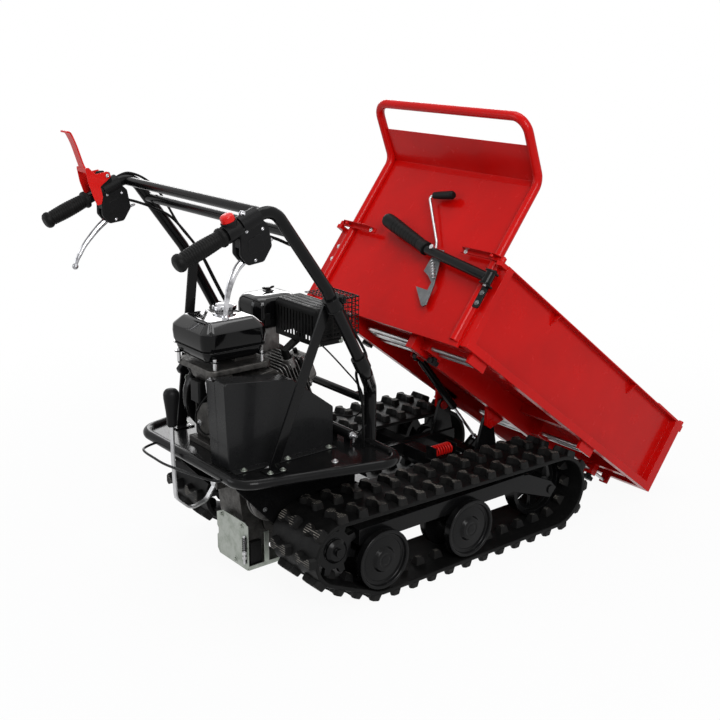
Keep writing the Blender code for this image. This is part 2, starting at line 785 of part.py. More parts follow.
def platform_mesh():
    """Plate in its tube hoop, with the welded posts, their crossbar and the sockets of the arms."""
    hoop = tube(hoop_route(), HOOP_RADIUS, 10, 0.052, 3, closed=True)
    outline = [(x, y) for x, y, _ in hoop_route()]
    edge = rounded([(x, y, 0) for x, y in outline], 0.052, 3, closed=True)
    plate = prism([(p.x, p.y) for p in edge], "z", PLATE_TOP - PLATE_THICKNESS, PLATE_TOP)
    solids = [hoop, plate]
    cutters = []
    slot_reach = GEARBOX_PULLEY_RADIUS + 0.012
    low = (CRANK_X - slot_reach, BELT_PLANE - 0.013, PLATE_TOP - 0.020)
    cutters.append(block(low, (CRANK_X + slot_reach, BELT_PLANE + 0.013, PLATE_TOP + 0.020)))
    direction = arm_direction()
    for _, side in SIDES:
        foot = Vector((ARM_FOOT[0], ARM_Y * side, ARM_FOOT[1]))
        top = foot + direction * SOCKET_LENGTH
        route = [(POST_X, POST_Y * side, PLATE_TOP - 0.004), (POST_X, POST_Y * side, POST_BEND_Z), foot, top]
        solids.append(tube(route, POST_RADIUS, 10, 0.045, 3))
        solids.append(tube([foot + direction * 0.012, top + direction * 0.001], SOCKET_RADIUS, 10))
        bore = bore_radius(ARM_RADIUS, 12, GAP)
        cutters.append(tube([foot + direction * 0.016, top + direction * 0.010], bore, 12))
        gusset = [(POST_X - 0.060, PLATE_TOP - 0.002), (POST_X, PLATE_TOP - 0.002), (POST_X, PLATE_TOP + 0.060)]
        y = POST_Y * side
        solids.append(prism(gusset, "y", y - 0.003, y + 0.003))
    solids.append(tube([(POST_X, -POST_Y, POST_BAR_Z), (POST_X, POST_Y, POST_BAR_Z)], 0.010, 8))
    solids.append(cylinder("x", (KEEPER_Y, POST_BAR_Z), 0.006, POST_X, KEEPER_END, 8))
    solids.append(tensioner_mesh())
    return unite(solids, cutters)


def arm_points(side):
    """Corners of one arm of the handlebar, from its socket to its grip."""
    direction = arm_direction()
    foot = Vector((ARM_FOOT[0], ARM_Y * side, ARM_FOOT[1])) + direction * 0.018
    rest = [Vector((x, ARM_Y * side, z)) for x, z in (ARM_KNEE, ARM_TOP, ARM_END)]
    return [foot] + rest


def handlebar_mesh():
    """Two bent arms with two crossbars."""
    solids = []
    for _, side in SIDES:
        solids.append(tube(arm_points(side), ARM_RADIUS, 10, ARM_BEND, 3))
    top = Vector((ARM_TOP[0], 0, ARM_TOP[1]))
    knee = Vector((ARM_KNEE[0], 0, ARM_KNEE[1]))
    for point in (top + Vector((-0.014, 0, -0.012)), top + (knee - top) * 0.30):
        ends = [point + Vector((0, y, 0)) for y in (-ARM_Y, ARM_Y)]
        solids.append(tube(ends, CROSSBAR_RADIUS, 8))
    return unite(solids)


def bar_point(distance, side):
    """Point of the grip's stretch of the bar, at a distance from its end."""
    end = Vector((ARM_END[0], ARM_Y * side, ARM_END[1]))
    top = Vector((ARM_TOP[0], ARM_Y * side, ARM_TOP[1]))
    return end + (top - end).normalized() * distance


def grip_mesh(side):
    """Rubber sleeve with ribs, closed over the end of the bar."""
    end = bar_point(0, side)
    line = (bar_point(0.1, side) - end).normalized()
    bore = bore_radius(ARM_RADIUS, 12, GAP)
    profile = [(0, -0.011), (0.014, -0.011), (GRIP_RADIUS + 0.002, -0.007), (GRIP_RADIUS + 0.002, 0.002)]
    profile += [(GRIP_RADIUS - 0.001, 0.006), (GRIP_RADIUS, 0.060), (GRIP_RADIUS - 0.001, 0.098)]
    profile += [(GRIP_RADIUS + 0.003, 0.103), (GRIP_RADIUS + 0.003, 0.108), (bore, 0.108), (bore, -GAP), (0, -GAP)]
    sleeve = turned(profile, "z", (0, 0), 12)
    turn = Vector((0, 0, 1)).rotation_difference(line).to_matrix().to_4x4()
    return moved(sleeve, Matrix.Translation(end) @ turn)


def strut_mesh(side, foot):
    """Flat bar from a foot on the platform to a clamp ring round the arm."""
    direction = arm_direction()
    ring = Vector((ARM_KNEE[0], ARM_Y * side, ARM_KNEE[1])) - direction * 0.040
    foot = Vector((foot[0], foot[1] * side, PLATE_TOP + 0.0035))
    inward = Vector((0, -side, 0))
    head = ring + inward * 0.017
    knee = foot + Vector((0, 0, 0.012))
    bar = flat_bar([foot, knee, head], 0.030, 0.006, (1, 0, 0.12))
    pad = block(foot - Vector((0.026, 0.020, 0.0035 - GAP)), foot + Vector((0.026, 0.020, 0.0035)))
    collar = tube([ring - direction * 0.016, ring + direction * 0.016], ARM_RADIUS + 0.007, 12)
    bore = bore_radius(ARM_RADIUS, 12, GAP)
    hole = tube([ring - direction * 0.030, ring + direction * 0.030], bore, 12)
    return unite([bar, pad, collar], [hole])


def gearbox_mesh():
    """Gearbox casting with its two axle tubes, input boss and selector boss."""
    outline = [(-0.222, 0.120), (-0.205, 0.096), (-0.130, 0.088), (-0.085, 0.110), (-0.074, 0.157)]
    outline += [(-0.084, 0.205), (-0.120, 0.232), (-0.150, 0.300), (-0.228, 0.300), (-0.236, 0.240)]
    solids = [prism(outline, "y", -0.050, 0.050)]
    solids.append(cylinder("y", (SPROCKET_X, SPROCKET_Z), 0.044, -0.060, 0.060, 14))
    solids.append(cylinder("y", (SPROCKET_X, SPROCKET_Z), 0.024, -0.205, 0.205, 14))
    solids.append(cylinder("y", (GEARBOX_SHAFT_X, GEARBOX_SHAFT_Z), 0.026, -0.070, 0.060, 14))
    top = PLATE_TOP - PLATE_THICKNESS - GAP
    solids.append(block((-0.224, -0.040, 0.290), (-0.154, 0.040, top)))
    ear = RAIL_INNER - GAP
    solids.append(block((RAIL_REAR + 0.002, -ear, 0.160), (RAIL_REAR + 0.024, ear, 0.182)))
    x, y, z = GEAR_PIVOT
    solids.append(block((x - 0.010, y - 0.018, z - 0.010), (x + 0.026, y - 0.0108, z + 0.010)))
    solids.append(cylinder("y", (x, z), GEAR_PIN_RADIUS, y - 0.014, y + 0.013, 10))
    cutters = []
    bore = bore_radius(DRIVE_SHAFT_RADIUS, 16)
    for _, side in SIDES:
        cutters.append(cylinder("y", (SPROCKET_X, SPROCKET_Z), bore, (SHAFT_INNER - 0.010) * side, 0.230 * side))
    shaft = bore_radius(0.009, 12)
    cutters.append(cylinder("y", (GEARBOX_SHAFT_X, GEARBOX_SHAFT_Z), shaft, -0.090, -0.052, 12))
    return unite(solids, cutters)


PLATE_GUARD_X = -0.2405


def gearbox_guard_mesh():
    """Folded galvanised plate behind and under the gearbox, with slots along one edge."""
    sheet = 0.003
    low, high = 0.058, 0.182
    near, far = -0.070, 0.056
    x = PLATE_GUARD_X
    wall = block((x - sheet, near, low), (x, far, high))
    floor = block((x - 0.040, near + 0.001, low - 0.001), (-0.122, far - 0.001, low + sheet - 0.001))
    tab = block((x - sheet + 0.001, -0.012, high - 0.010), (-0.2289, 0.012, high - 0.006))
    slots = []
    for i in range(4):
        z = low + 0.018 + i * 0.026
        slots.append(block((x - 0.010, near + 0.010, z), (x + 0.010, near + 0.022, z + 0.014)))
    return unite([wall, floor, tab], slots)


def pulley_mesh(x, z, radius, shaft_end, shaft_radius=0.009):
    """V-belt pulley on a shaft that reaches into its housing."""
    half = BELT_HALF_WIDTH
    y = BELT_PLANE
    rows = [
        (0, y - half - 0.006),
        (radius * 0.4, y - half - 0.006),
        (radius + 0.006, y - half - 0.003),
        (radius + 0.006, y - half - 0.0015),
        (radius - 0.006, y - half + 0.001),
        (radius - 0.006, y + half - 0.001),
        (radius + 0.006, y + half + 0.0015),
        (radius + 0.006, y + half + 0.003),
        (0.018, y + half + 0.004),
        (shaft_radius, y + half + 0.010),
        (shaft_radius, shaft_end),
        (0, shaft_end),
    ]
    return turned(rows, "y", (x, z), 14)


def belt_loop(offset, steps=8):
    """Outline of the drive belt at an offset from the pulleys' pitch."""
    big = GEARBOX_PULLEY_RADIUS + offset
    small = ENGINE_PULLEY_RADIUS + offset
    share = (big - small) / (CRANK_Z - GEARBOX_SHAFT_Z)
    lean = math.asin(share)
    points = []
    for i in range(steps + 1):
        angle = lean + (math.pi - 2 * lean) * i / steps
        points.append((CRANK_X + small * math.cos(angle), CRANK_Z + small * math.sin(angle)))
    for i in range(steps + 1):
        angle = math.pi - lean + (math.pi + 2 * lean) * i / steps
        points.append((GEARBOX_SHAFT_X + big * math.cos(angle), GEARBOX_SHAFT_Z + big * math.sin(angle)))
    return points


def drive_belt_mesh():
    """V-belt round the two pulleys, as a closed loop with a wedge section."""
    loops = ((-0.0025, 0.0039), (0.005, 0.0055))
    corners = []
    for offset, half in loops:
        for y in (BELT_PLANE - half, BELT_PLANE + half):
            corners += [Vector((x, y, z)) for x, z in belt_loop(offset)]
    count = len(corners) // 4
    order = (0, 1, 3, 2)
    faces = []
    for k in range(4):
        a, b = order[k] * count, order[(k + 1) % 4] * count
        for i in range(count):
            j = (i + 1) % count
            faces.append([a + i, a + j, b + j, b + i])
    return solid(corners, faces)


def belt_guard_mesh():
    """Sheet cover over the drive belt, open behind and below, with a folded rim."""
    outline = [(-0.319, BLOCK_BOTTOM), (-0.315, 0.597), (-0.129, 0.608), (-0.023, 0.462), (-0.025, BLOCK_BOTTOM)]
    depth = 0.044
    sheet = 0.0025
    middle = (-0.175, 0.450)
    inner = []
    for x, z in outline:
        dx, dz = middle[0] - x, middle[1] - z
        inner.append((x + math.copysign(sheet * 1.2, dx), z + math.copysign(sheet * 1.2, dz)))
    inner[0] = (inner[0][0], BLOCK_BOTTOM - 0.010)
    inner[4] = (inner[4][0], BLOCK_BOTTOM - 0.010)
    shell = prism(outline, "y", GUARD_FACE, GUARD_FACE + depth)
    room = prism(inner, "y", GUARD_FACE + sheet, GUARD_FACE + depth + 0.010)
    flange = block((-0.318, GUARD_FACE + 0.001, BLOCK_BOTTOM), (-0.270, GUARD_FACE + 0.016, BLOCK_BOTTOM + 0.003))
    other = block((-0.108, GUARD_FACE + 0.001, BLOCK_BOTTOM), (-0.026, GUARD_FACE + 0.016, BLOCK_BOTTOM + 0.003))
    body = unite([shell], [room])
    return unite([body, flange, other])


CYLINDER_LEAN = math.radians(22)
HEAD_START = (-0.130, 0.462)


def cylinder_frame():
    """Matrix that puts +X along the leaning cylinder."""
    place = Matrix.Translation((HEAD_START[0], 0.010, HEAD_START[1]))
    return place @ Matrix.Rotation(-CYLINDER_LEAN, 4, "Y")


EXHAUST_PORT = (0.085, -0.040, 0.066)
FIN_COUNT = 8
FIN_STEP = 0.0125
HEAD_END = 0.120


CARBURETTOR_FACE = 0.070
AIR_CLEANER_FOOT = 0.609


def engine_block_mesh():
    """Crankcase on its feet, with the leaning finned cylinder."""
    bottom = BLOCK_BOTTOM
    case = [(-0.268, bottom + 0.012), (-0.268, 0.500), (-0.240, 0.540), (-0.150, 0.552), (-0.108, 0.520)]
    case += [(-0.100, bottom + 0.012)]
    solids = [prism(case, "y", -0.084, 0.088)]
    solids.append(block((-0.285, -0.094, bottom), (-0.095, 0.094, bottom + 0.014)))
    solids.append(cylinder("y", (CRANK_X, CRANK_Z), 0.060, -0.096, 0.0945, 16))
    frame = cylinder_frame()
    solids.append(moved(block((0.0, -0.040, -0.042), (HEAD_END, 0.040, 0.044)), frame))
    for i in range(FIN_COUNT):
        x = 0.018 + i * FIN_STEP
        fin = block((x, -0.056, -0.056), (x + 0.004, 0.056, 0.058))
        solids.append(moved(fin, frame))
    x, y, z = EXHAUST_PORT
    solids.append(moved(cylinder("z", (x, y), 0.016, 0.040, z, 12), frame))
    solids.append(block((-0.078, 0.045, 0.500), (-0.042, CARBURETTOR_FACE - GAP, 0.545)))
    shaft = bore_radius(0.009, 12)
    cutters = [cylinder("y", (CRANK_X, CRANK_Z), shaft, -0.120, -0.060, 12)]
    return unite(solids, cutters)


def valve_cover_mesh():
    """Rounded cover on the end of the cylinder."""
    frame = cylinder_frame()
    rim = block((HEAD_END + GAP, -0.042, -0.040), (HEAD_END + 0.006, 0.042, 0.042))
    outline = [(-0.036, -0.030), (-0.030, -0.036), (0.030, -0.036), (0.036, -0.030)]
    outline += [(0.036, 0.032), (0.028, 0.038), (-0.028, 0.038), (-0.036, 0.032)]
    dome = prism(outline, "x", HEAD_END + 0.004, HEAD_END + 0.030)
    return moved(unite([rim, dome]), frame)


def rounded_box(low, high, corner, edge=0.0, steps=2):
    """Box with upright rounded corners and, if asked, softened upper and lower edges."""
    (x0, y0, z0), (x1, y1, z1) = low, high
    outline = rounded([(x0, y0, 0), (x1, y0, 0), (x1, y1, 0), (x0, y1, 0)], corner, steps, closed=True)
    middle = Vector(((x0 + x1) / 2, (y0 + y1) / 2, 0))
    rings = [(z0, 0.0), (z1, 0.0)]
    if edge:
        rings = [(z0, edge), (z0 + edge * 0.6, 0.0), (z1 - edge, 0.0), (z1 - edge * 0.3, edge * 0.3), (z1, edge)]
    half = Vector(((x1 - x0) / 2, (y1 - y0) / 2, 1))
    corners = []
    for z, inset in rings:
        for point in outline:
            away = point - middle
            x = middle.x + away.x * (1 - inset / half.x)
            y = middle.y + away.y * (1 - inset / half.y)
            corners.append((x, y, z))
    count = len(outline)
    faces = [list(range(count)), list(range(len(corners) - 1, len(corners) - count - 1, -1))]
    for ring in range(len(rings) - 1):
        for i in range(count):
            j = (i + 1) % count
            a = ring * count
            faces.append([a + i, a + j, a + count + j, a + count + i])
    return solid(corners, faces)


TANK_LOW = (-0.330, -0.070, 0.566)
TANK_HIGH = (-0.112, 0.098, 0.680)
CAP_PLACE = (-0.208, 0.040)
CAP_RADIUS = 0.026


def tank_mesh():
    """Fuel tank: pressed halves with a seam flange, on two feet."""
    seam = 0.618
    lower = rounded_box(TANK_LOW, (TANK_HIGH[0], TANK_HIGH[1], seam + 0.004), 0.028, 0.012)
    low = (TANK_LOW[0] - 0.004, TANK_LOW[1] - 0.004, seam)
    flange = rounded_box(low, (TANK_HIGH[0] + 0.004, TANK_HIGH[1] + 0.004, seam + 0.003), 0.030)
    upper = rounded_box((TANK_LOW[0], TANK_LOW[1], seam + 0.001), TANK_HIGH, 0.028, 0.014)
    neck = cylinder("z", CAP_PLACE, 0.018, TANK_HIGH[2] - 0.004, TANK_HIGH[2] + 0.006, 12)
    foot = prism([(-0.225, 0.574), (-0.165, 0.574), (-0.165, 0.5504), (-0.225, 0.5424)], "y", -0.030, 0.060)
    return unite([upper, lower, flange, neck, foot])


def cap_mesh():
    """Fuel cap over the filler neck."""
    top = TANK_HIGH[2]
    bore = bore_radius(0.018, 12)
    profile = [(0, top + 0.018), (CAP_RADIUS - 0.004, top + 0.018), (CAP_RADIUS, top + 0.014)]
    profile += [(CAP_RADIUS, top + GAP), (bore, top + GAP), (bore, top + 0.0065), (0, top + 0.0065)]
    return turned(profile, "z", CAP_PLACE, 12)


def carburettor_mesh():
    """Carburettor and intake between the cylinder and the air cleaner."""
    bowl = cylinder("z", (-0.055, 0.091), 0.018, 0.480, 0.512, 12)
    body = block((-0.080, CARBURETTOR_FACE, 0.505), (-0.030, 0.112, AIR_CLEANER_FOOT - GAP))
    return unite([bowl, body])


def air_cleaner_mesh():
    """Air cleaner with a stepped lid and its wing nut."""
    base = rounded_box((-0.105, 0.010, AIR_CLEANER_FOOT), (0.018, 0.150, 0.640), 0.024, 0.006)
    lid = rounded_box((-0.110, 0.005, 0.638), (0.022, 0.154, 0.690), 0.028, 0.014)
    nut = cylinder("z", (-0.036, 0.108), 0.007, 0.688, 0.698, 8)
    wing = block((-0.050, 0.106, 0.694), (-0.022, 0.110, 0.701))
    return unite([base, lid, nut, wing])


def muffler_mesh():
    """Muffler box with its inlet pipe from the cylinder head."""
    can = rounded_box((-0.082, -0.052, 0.612), (0.034, -0.010, 0.684), 0.018, 0.008)
    frame = cylinder_frame()
    x, y, z = EXHAUST_PORT
    first = frame @ Vector((x, y, z + GAP))
    second = frame @ Vector((x, y, z + 0.020))
    pipe = tube([first, second, (-0.062, second.y, 0.602), (-0.058, second.y, 0.618)], 0.011, 10)
    return unite([can, pipe])


def muffler_guard_mesh():
    """Slotted heat shield round the near side and the top of the muffler."""
    sheet = 0.002
    low = (-0.095, -0.0650, 0.597)
    high = (0.050, -0.0005, 0.697)
    outline = [(low[1], low[2]), (low[1], high[2] - 0.014), (low[1] + 0.014, high[2]), (high[1], high[2])]
    outline += [(high[1], high[2] - sheet), (low[1] + 0.015, high[2] - sheet)]
    outline += [(low[1] + sheet, high[2] - 0.015), (low[1] + sheet, low[2])]
    shield = prism(outline, "x", low[0], high[0])
    ends = []
    for x in (low[0], high[0] - sheet):
        face = [(low[1] + 0.0005, low[2]), (low[1] + 0.0005, high[2] - 0.014), (low[1] + 0.0145, high[2] - 0.0005)]
        face += [(high[1], high[2] - 0.0005), (high[1], low[2])]
        ends.append(prism(face, "x", x, x + sheet))
    stay = block((-0.040, -0.0645, 0.600), (-0.020, -0.0523, 0.640))
    slots = []
    for i in range(8):
        x = low[0] + 0.012 + i * 0.0162
        slots.append(block((x, low[1] - 0.010, low[2] + 0.012), (x + 0.008, low[1] + 0.008, high[2] - 0.022)))
    return unite([unite([shield] + ends, slots), stay])


STARTER_Y = 0.112
STARTER_REACH = 0.101


def starter_direction():
    """Unit direction in which the starter rope leaves its housing."""
    return Vector((-1, 0, 1)).normalized()


def recoil_mesh():
    """Recoil starter housing on the far side of the crankcase."""
    rows = [(0, 0.0948), (0.096, 0.0948), (0.098, 0.112), (0.080, 0.134), (0.040, 0.136), (0.036, 0.142), (0, 0.142)]
    drum = turned(rows, "y", (CRANK_X, CRANK_Z), 18)
    slots = []
    for i in range(6):
        angle = 2 * math.pi * i / 6
        matrix = Matrix.Translation((CRANK_X, 0, CRANK_Z)) @ Matrix.Rotation(angle, 4, "Y")
        slots.append(moved(block((0.050, 0.126, -0.008), (0.074, 0.150, 0.008)), matrix))
    away = starter_direction()
    centre = Vector((CRANK_X, STARTER_Y, CRANK_Z))
    guide = tube([centre + away * 0.070, centre + away * (STARTER_REACH - GAP)], 0.010, 10)
    return unite([drum, guide], slots)


def starter_grip_mesh():
    """Handle of the starter rope, seated on the recoil housing's rope guide."""
    place = Vector((CRANK_X, STARTER_Y, CRANK_Z)) + starter_direction() * STARTER_REACH
    rows = [(0, 0.0), (0.006, 0.0), (0.008, 0.010), (0.010, 0.014), (0, 0.016)]
    stem = turned(rows, "z", (0, 0), 10)
    bar = rounded_box((-0.026, -0.009, 0.012), (0.026, 0.009, 0.030), 0.008)
    mesh = unite([stem, bar])
    away = Matrix.Rotation(math.radians(-45), 4, "Y")
    return moved(mesh, Matrix.Translation(place) @ away)


GEAR_PIVOT = (-0.250, 0.030, 0.250)
GEAR_BEND_Z = 0.254
GEAR_PIN_RADIUS = 0.004
GEAR_TOP = (-0.366, 0.030, 0.435)


def gear_lever_mesh():
    """Bent gear lever from its pivot on the gearbox, behind the platform's rear bar."""
    x, y, z = GEAR_PIVOT
    route = [(x - 0.006, y, z - 0.003), (x - 0.042, y, z - 0.016), (HOOP_REAR - 0.026, y, GEAR_BEND_Z), GEAR_TOP]
    lever = tube(route, 0.0055, 8, 0.020, 3)
    boss = cylinder("y", (x, z), 0.011, y - 0.010, y + 0.010, 12)
    bore = cylinder("y", (x, z), bore_radius(GEAR_PIN_RADIUS, 10), y - 0.020, y + 0.020, 10)
    return unite([lever, boss, gear_knob_mesh()], [bore])


def gear_knob_mesh():
    """Long plastic knob on the gear lever."""
    top = Vector(GEAR_TOP)
    bottom = Vector((HOOP_REAR - 0.026, GEAR_TOP[1], GEAR_BEND_Z))
    line = (top - bottom).normalized()
    profile = [(0, 0.082), (0.014, 0.080), (0.0185, 0.070), (0.0175, 0.045), (0.012, 0.004), (0.011, -0.012)]
    profile += [(0, -0.012)]
    knob = turned(profile, "z", (0, 0), 12)
    turn = Vector((0, 0, 1)).rotation_difference(line).to_matrix().to_4x4()
    return moved(knob, Matrix.Translation(top) @ turn)


PERCH_AT = 0.170
LEVER_PLACE = (-0.358, 0.886)
LEVER_TIP = (-0.415, 0.772)


def perch_mesh(side):
    """Lever housing clamped round the bar, with a slot for the lever below."""
    start, end = bar_point(0.146, side), bar_point(0.196, side)
    collar = tube([start, end], ARM_RADIUS + 0.008, 12)
    bore = bore_radius(ARM_RADIUS, 12, GAP)
    hole = tube(arm_points(side), bore, 12, ARM_BEND, 3)
    y = ARM_Y * side
    x, z = LEVER_PLACE
    outline = [(x - 0.032, z + 0.000), (x - 0.028, z + 0.052), (x + 0.034, z + 0.076), (x + 0.044, z + 0.020)]
    outline += [(x + 0.022, z - 0.016), (x - 0.014, z - 0.016)]
    body = prism(outline, "y", y - 0.020, y + 0.020)
    slot = block((x - 0.060, y - 0.0068, z - 0.030), (x + 0.018, y + 0.0068, z + 0.018))
    pin = cylinder("y", (x, z), 0.004, y - 0.010, y + 0.010, 10)
    solids = [unite([collar, body], [hole, slot]), pin]
    if side < 0:
        place, line_up = button_place()
        seat = tube([place - line_up * 0.030, place - line_up * 0.010], 0.011, 12)
        ring = tube([bar_point(0.113, side), bar_point(0.150, side)], ARM_RADIUS + 0.006, 12)
        ring_hole = tube([bar_point(0.100, side), bar_point(0.170, side)], bore, 12)
        well = tube([place - line_up * 0.0175, place], bore_radius(0.006, 10), 10)
        solids.append(unite([ring, seat], [ring_hole, well]))
    else:
        solids.append(clutch_mount_mesh())
    return unite(solids)


def button_place():
    """Top of the stop button and the direction in which it stands off the bar."""
    start = bar_point(0, -1)
    line = (bar_point(0.1, -1) - start).normalized()
    up = Vector((0, 1, 0)).cross(line)
    if up.z < 0:
        up = -up
    return bar_point(0.131, -1) + up * 0.037, up


def stop_button_mesh():
    """Mushroom push button with its stem."""
    place, up = button_place()
    profile = [(0, 0.0), (0.010, -0.001), (0.0145, -0.005), (0.0140, -0.0055), (0.006, -0.0055)]
    profile += [(0.006, -0.0145), (0, -0.0145)]
    profile = [(radius, distance) for radius, distance in profile]
    button = turned(profile, "z", (0, 0), 12)
    turn = Vector((0, 0, 1)).rotation_difference(up).to_matrix().to_4x4()
    return moved(button, Matrix.Translation(place) @ turn)


def steering_lever_mesh(side):
    """Curved brake-type lever with a ball end."""
    y = ARM_Y * side
    x, z = LEVER_PLACE
    route = [(x, y, z), (x - 0.014, y, z - 0.030), (x - 0.034, y, z - 0.066), (LEVER_TIP[0], y, LEVER_TIP[1])]
    widths = (1.2, 1.0, 0.9, 0.75)
    section = [(-0.006, -0.003), (0.006, -0.003), (0.006, 0.003), (-0.006, 0.003)]
    blade = sweep(route, [(b, a) for a, b in section], side=(0, 1, 0), ends=widths)
    boss = cylinder("y", (x, z), 0.0115, y - 0.0062, y + 0.0062, 12)
    tip = LEVER_TIP
    ball = turned([(0, y - 0.008), (0.0058, y - 0.0055), (0.008, y), (0.0058, y + 0.0055), (0, y + 0.008)], "y", tip, 10)
    hole = cylinder("y", (x, z), bore_radius(0.004, 10), y - 0.010, y + 0.010, 10)
    return unite([blade, boss, ball], [hole])


CLUTCH_PIVOT = (-0.374, 0.984)
CLUTCH_TIP = (-0.446, 1.100)


def clutch_lever_mesh():
    """Red paddle above the left grip, on a pivot beside the housing."""
    x, z = CLUTCH_PIVOT
    y = ARM_Y
    route = [(x, y, z), (x - 0.018, y, z + 0.034), (x - 0.040, y, z + 0.072), (CLUTCH_TIP[0], y, CLUTCH_TIP[1])]
    section = [(-0.013, -0.0035), (0.013, -0.0035), (0.013, 0.0035), (-0.013, 0.0035)]
    paddle = sweep(route, section, side=(0, 1, 0), ends=(0.8, 0.9, 1.0, 0.9))
    boss = cylinder("y", (x, z), 0.010, y - 0.012, y + 0.012, 12)
    hole = cylinder("y", (x, z), bore_radius(0.004, 10), y - 0.020, y + 0.020, 10)
    return unite([paddle, boss], [hole])


def clutch_mount_mesh():
    """Clevis of the clutch lever, clamped round the left bar."""
    x, z = CLUTCH_PIVOT
    y = ARM_Y
    ears = []
    for sign in (-1, 1):
        outline = [(x - 0.012, z - 0.022), (x - 0.010, z + 0.008), (x + 0.010, z + 0.008), (x + 0.016, z - 0.016)]
        ears.append(prism(outline, "y", y + sign * 0.0125, y + sign * 0.0175))
    start, end = bar_point(0.130, 1), bar_point(0.148, 1)
    collar = tube([start, end], ARM_RADIUS + 0.007, 12)
    pin = cylinder("y", (x, z), 0.004, y - 0.015, y + 0.015, 10)
    neck = block((x - 0.020, y - 0.017, z - 0.040), (x + 0.008, y + 0.017, z - 0.0125))
    hole = tube([bar_point(0.110, 1), bar_point(0.170, 1)], bore_radius(ARM_RADIUS, 12, GAP), 12)
    return unite([unite([collar, neck] + ears, [hole]), pin])


def bx(distance):
    """Distance along the box from its rear edge, as X from the hinge."""
    return distance - BOX_OVERHANG


def bz(height):
    """Height above the box's lower edge, as Z from the hinge."""
    return height + BOX_LIFT


FLOOR_TOP = 0.030
FLOOR_BOTTOM = 0.0265


FRONT_ROD_Y = 0.180
FRONT_ROD_DROP = 0.018
FRONT_ROD_REACH = 0.245
FRONT_GUIDE_X = BOX_LENGTH - 0.0994
LONGERON_END = BOX_LENGTH - 0.0624
KNOB_SCREW_RADIUS = 0.004
KNOB_SCREW_REACH = 0.0065


def knob_places():
    """Clamp knobs as (distance along the box, y, height of the face that they screw into)."""
    places = []
    for x, owner in rod_rows()[:2]:
        side = 1 if owner == "left" else -1
        places.append((x + ROD_SPREAD, (LONGERON_OUTER + 0.0185) * side, -ROD_DROP - 0.012))
    places.append((FRONT_GUIDE_X, -FRONT_ROD_Y, -FRONT_ROD_DROP - 0.012))
    return places


def clamp_knob_mesh(x, y, foot):
    """Lobed clamp knob below a guide, with its screw."""
    outline = []
    lobes = 5
    for i in range(lobes):
        for radius, share in ((0.017, 0.25), (0.017, 0.60), (0.0115, 0.925)):
            angle = 2 * math.pi * (i + share) / lobes
            outline.append((bx(x) + radius * math.cos(angle), y + radius * math.sin(angle)))
    head = prism(outline, "z", bz(foot - 0.018), bz(foot - 0.006))
    neck = cylinder("z", (bx(x), y), 0.009, bz(foot - 0.008), bz(foot - GAP), 10)
    screw = cylinder("z", (bx(x), y), KNOB_SCREW_RADIUS, bz(foot - 0.008), bz(foot + KNOB_SCREW_REACH), 8)
    return unite([head, neck, screw])


def front_rod_mesh(side):
    """Galvanised rod that carries one side of the front panel."""
    front = BOX_LENGTH - 0.026 + SHEET + 0.006
    return cylinder("x", (FRONT_ROD_Y * side, bz(-FRONT_ROD_DROP)), ROD_RADIUS, bx(front - FRONT_ROD_REACH), bx(front), 8)


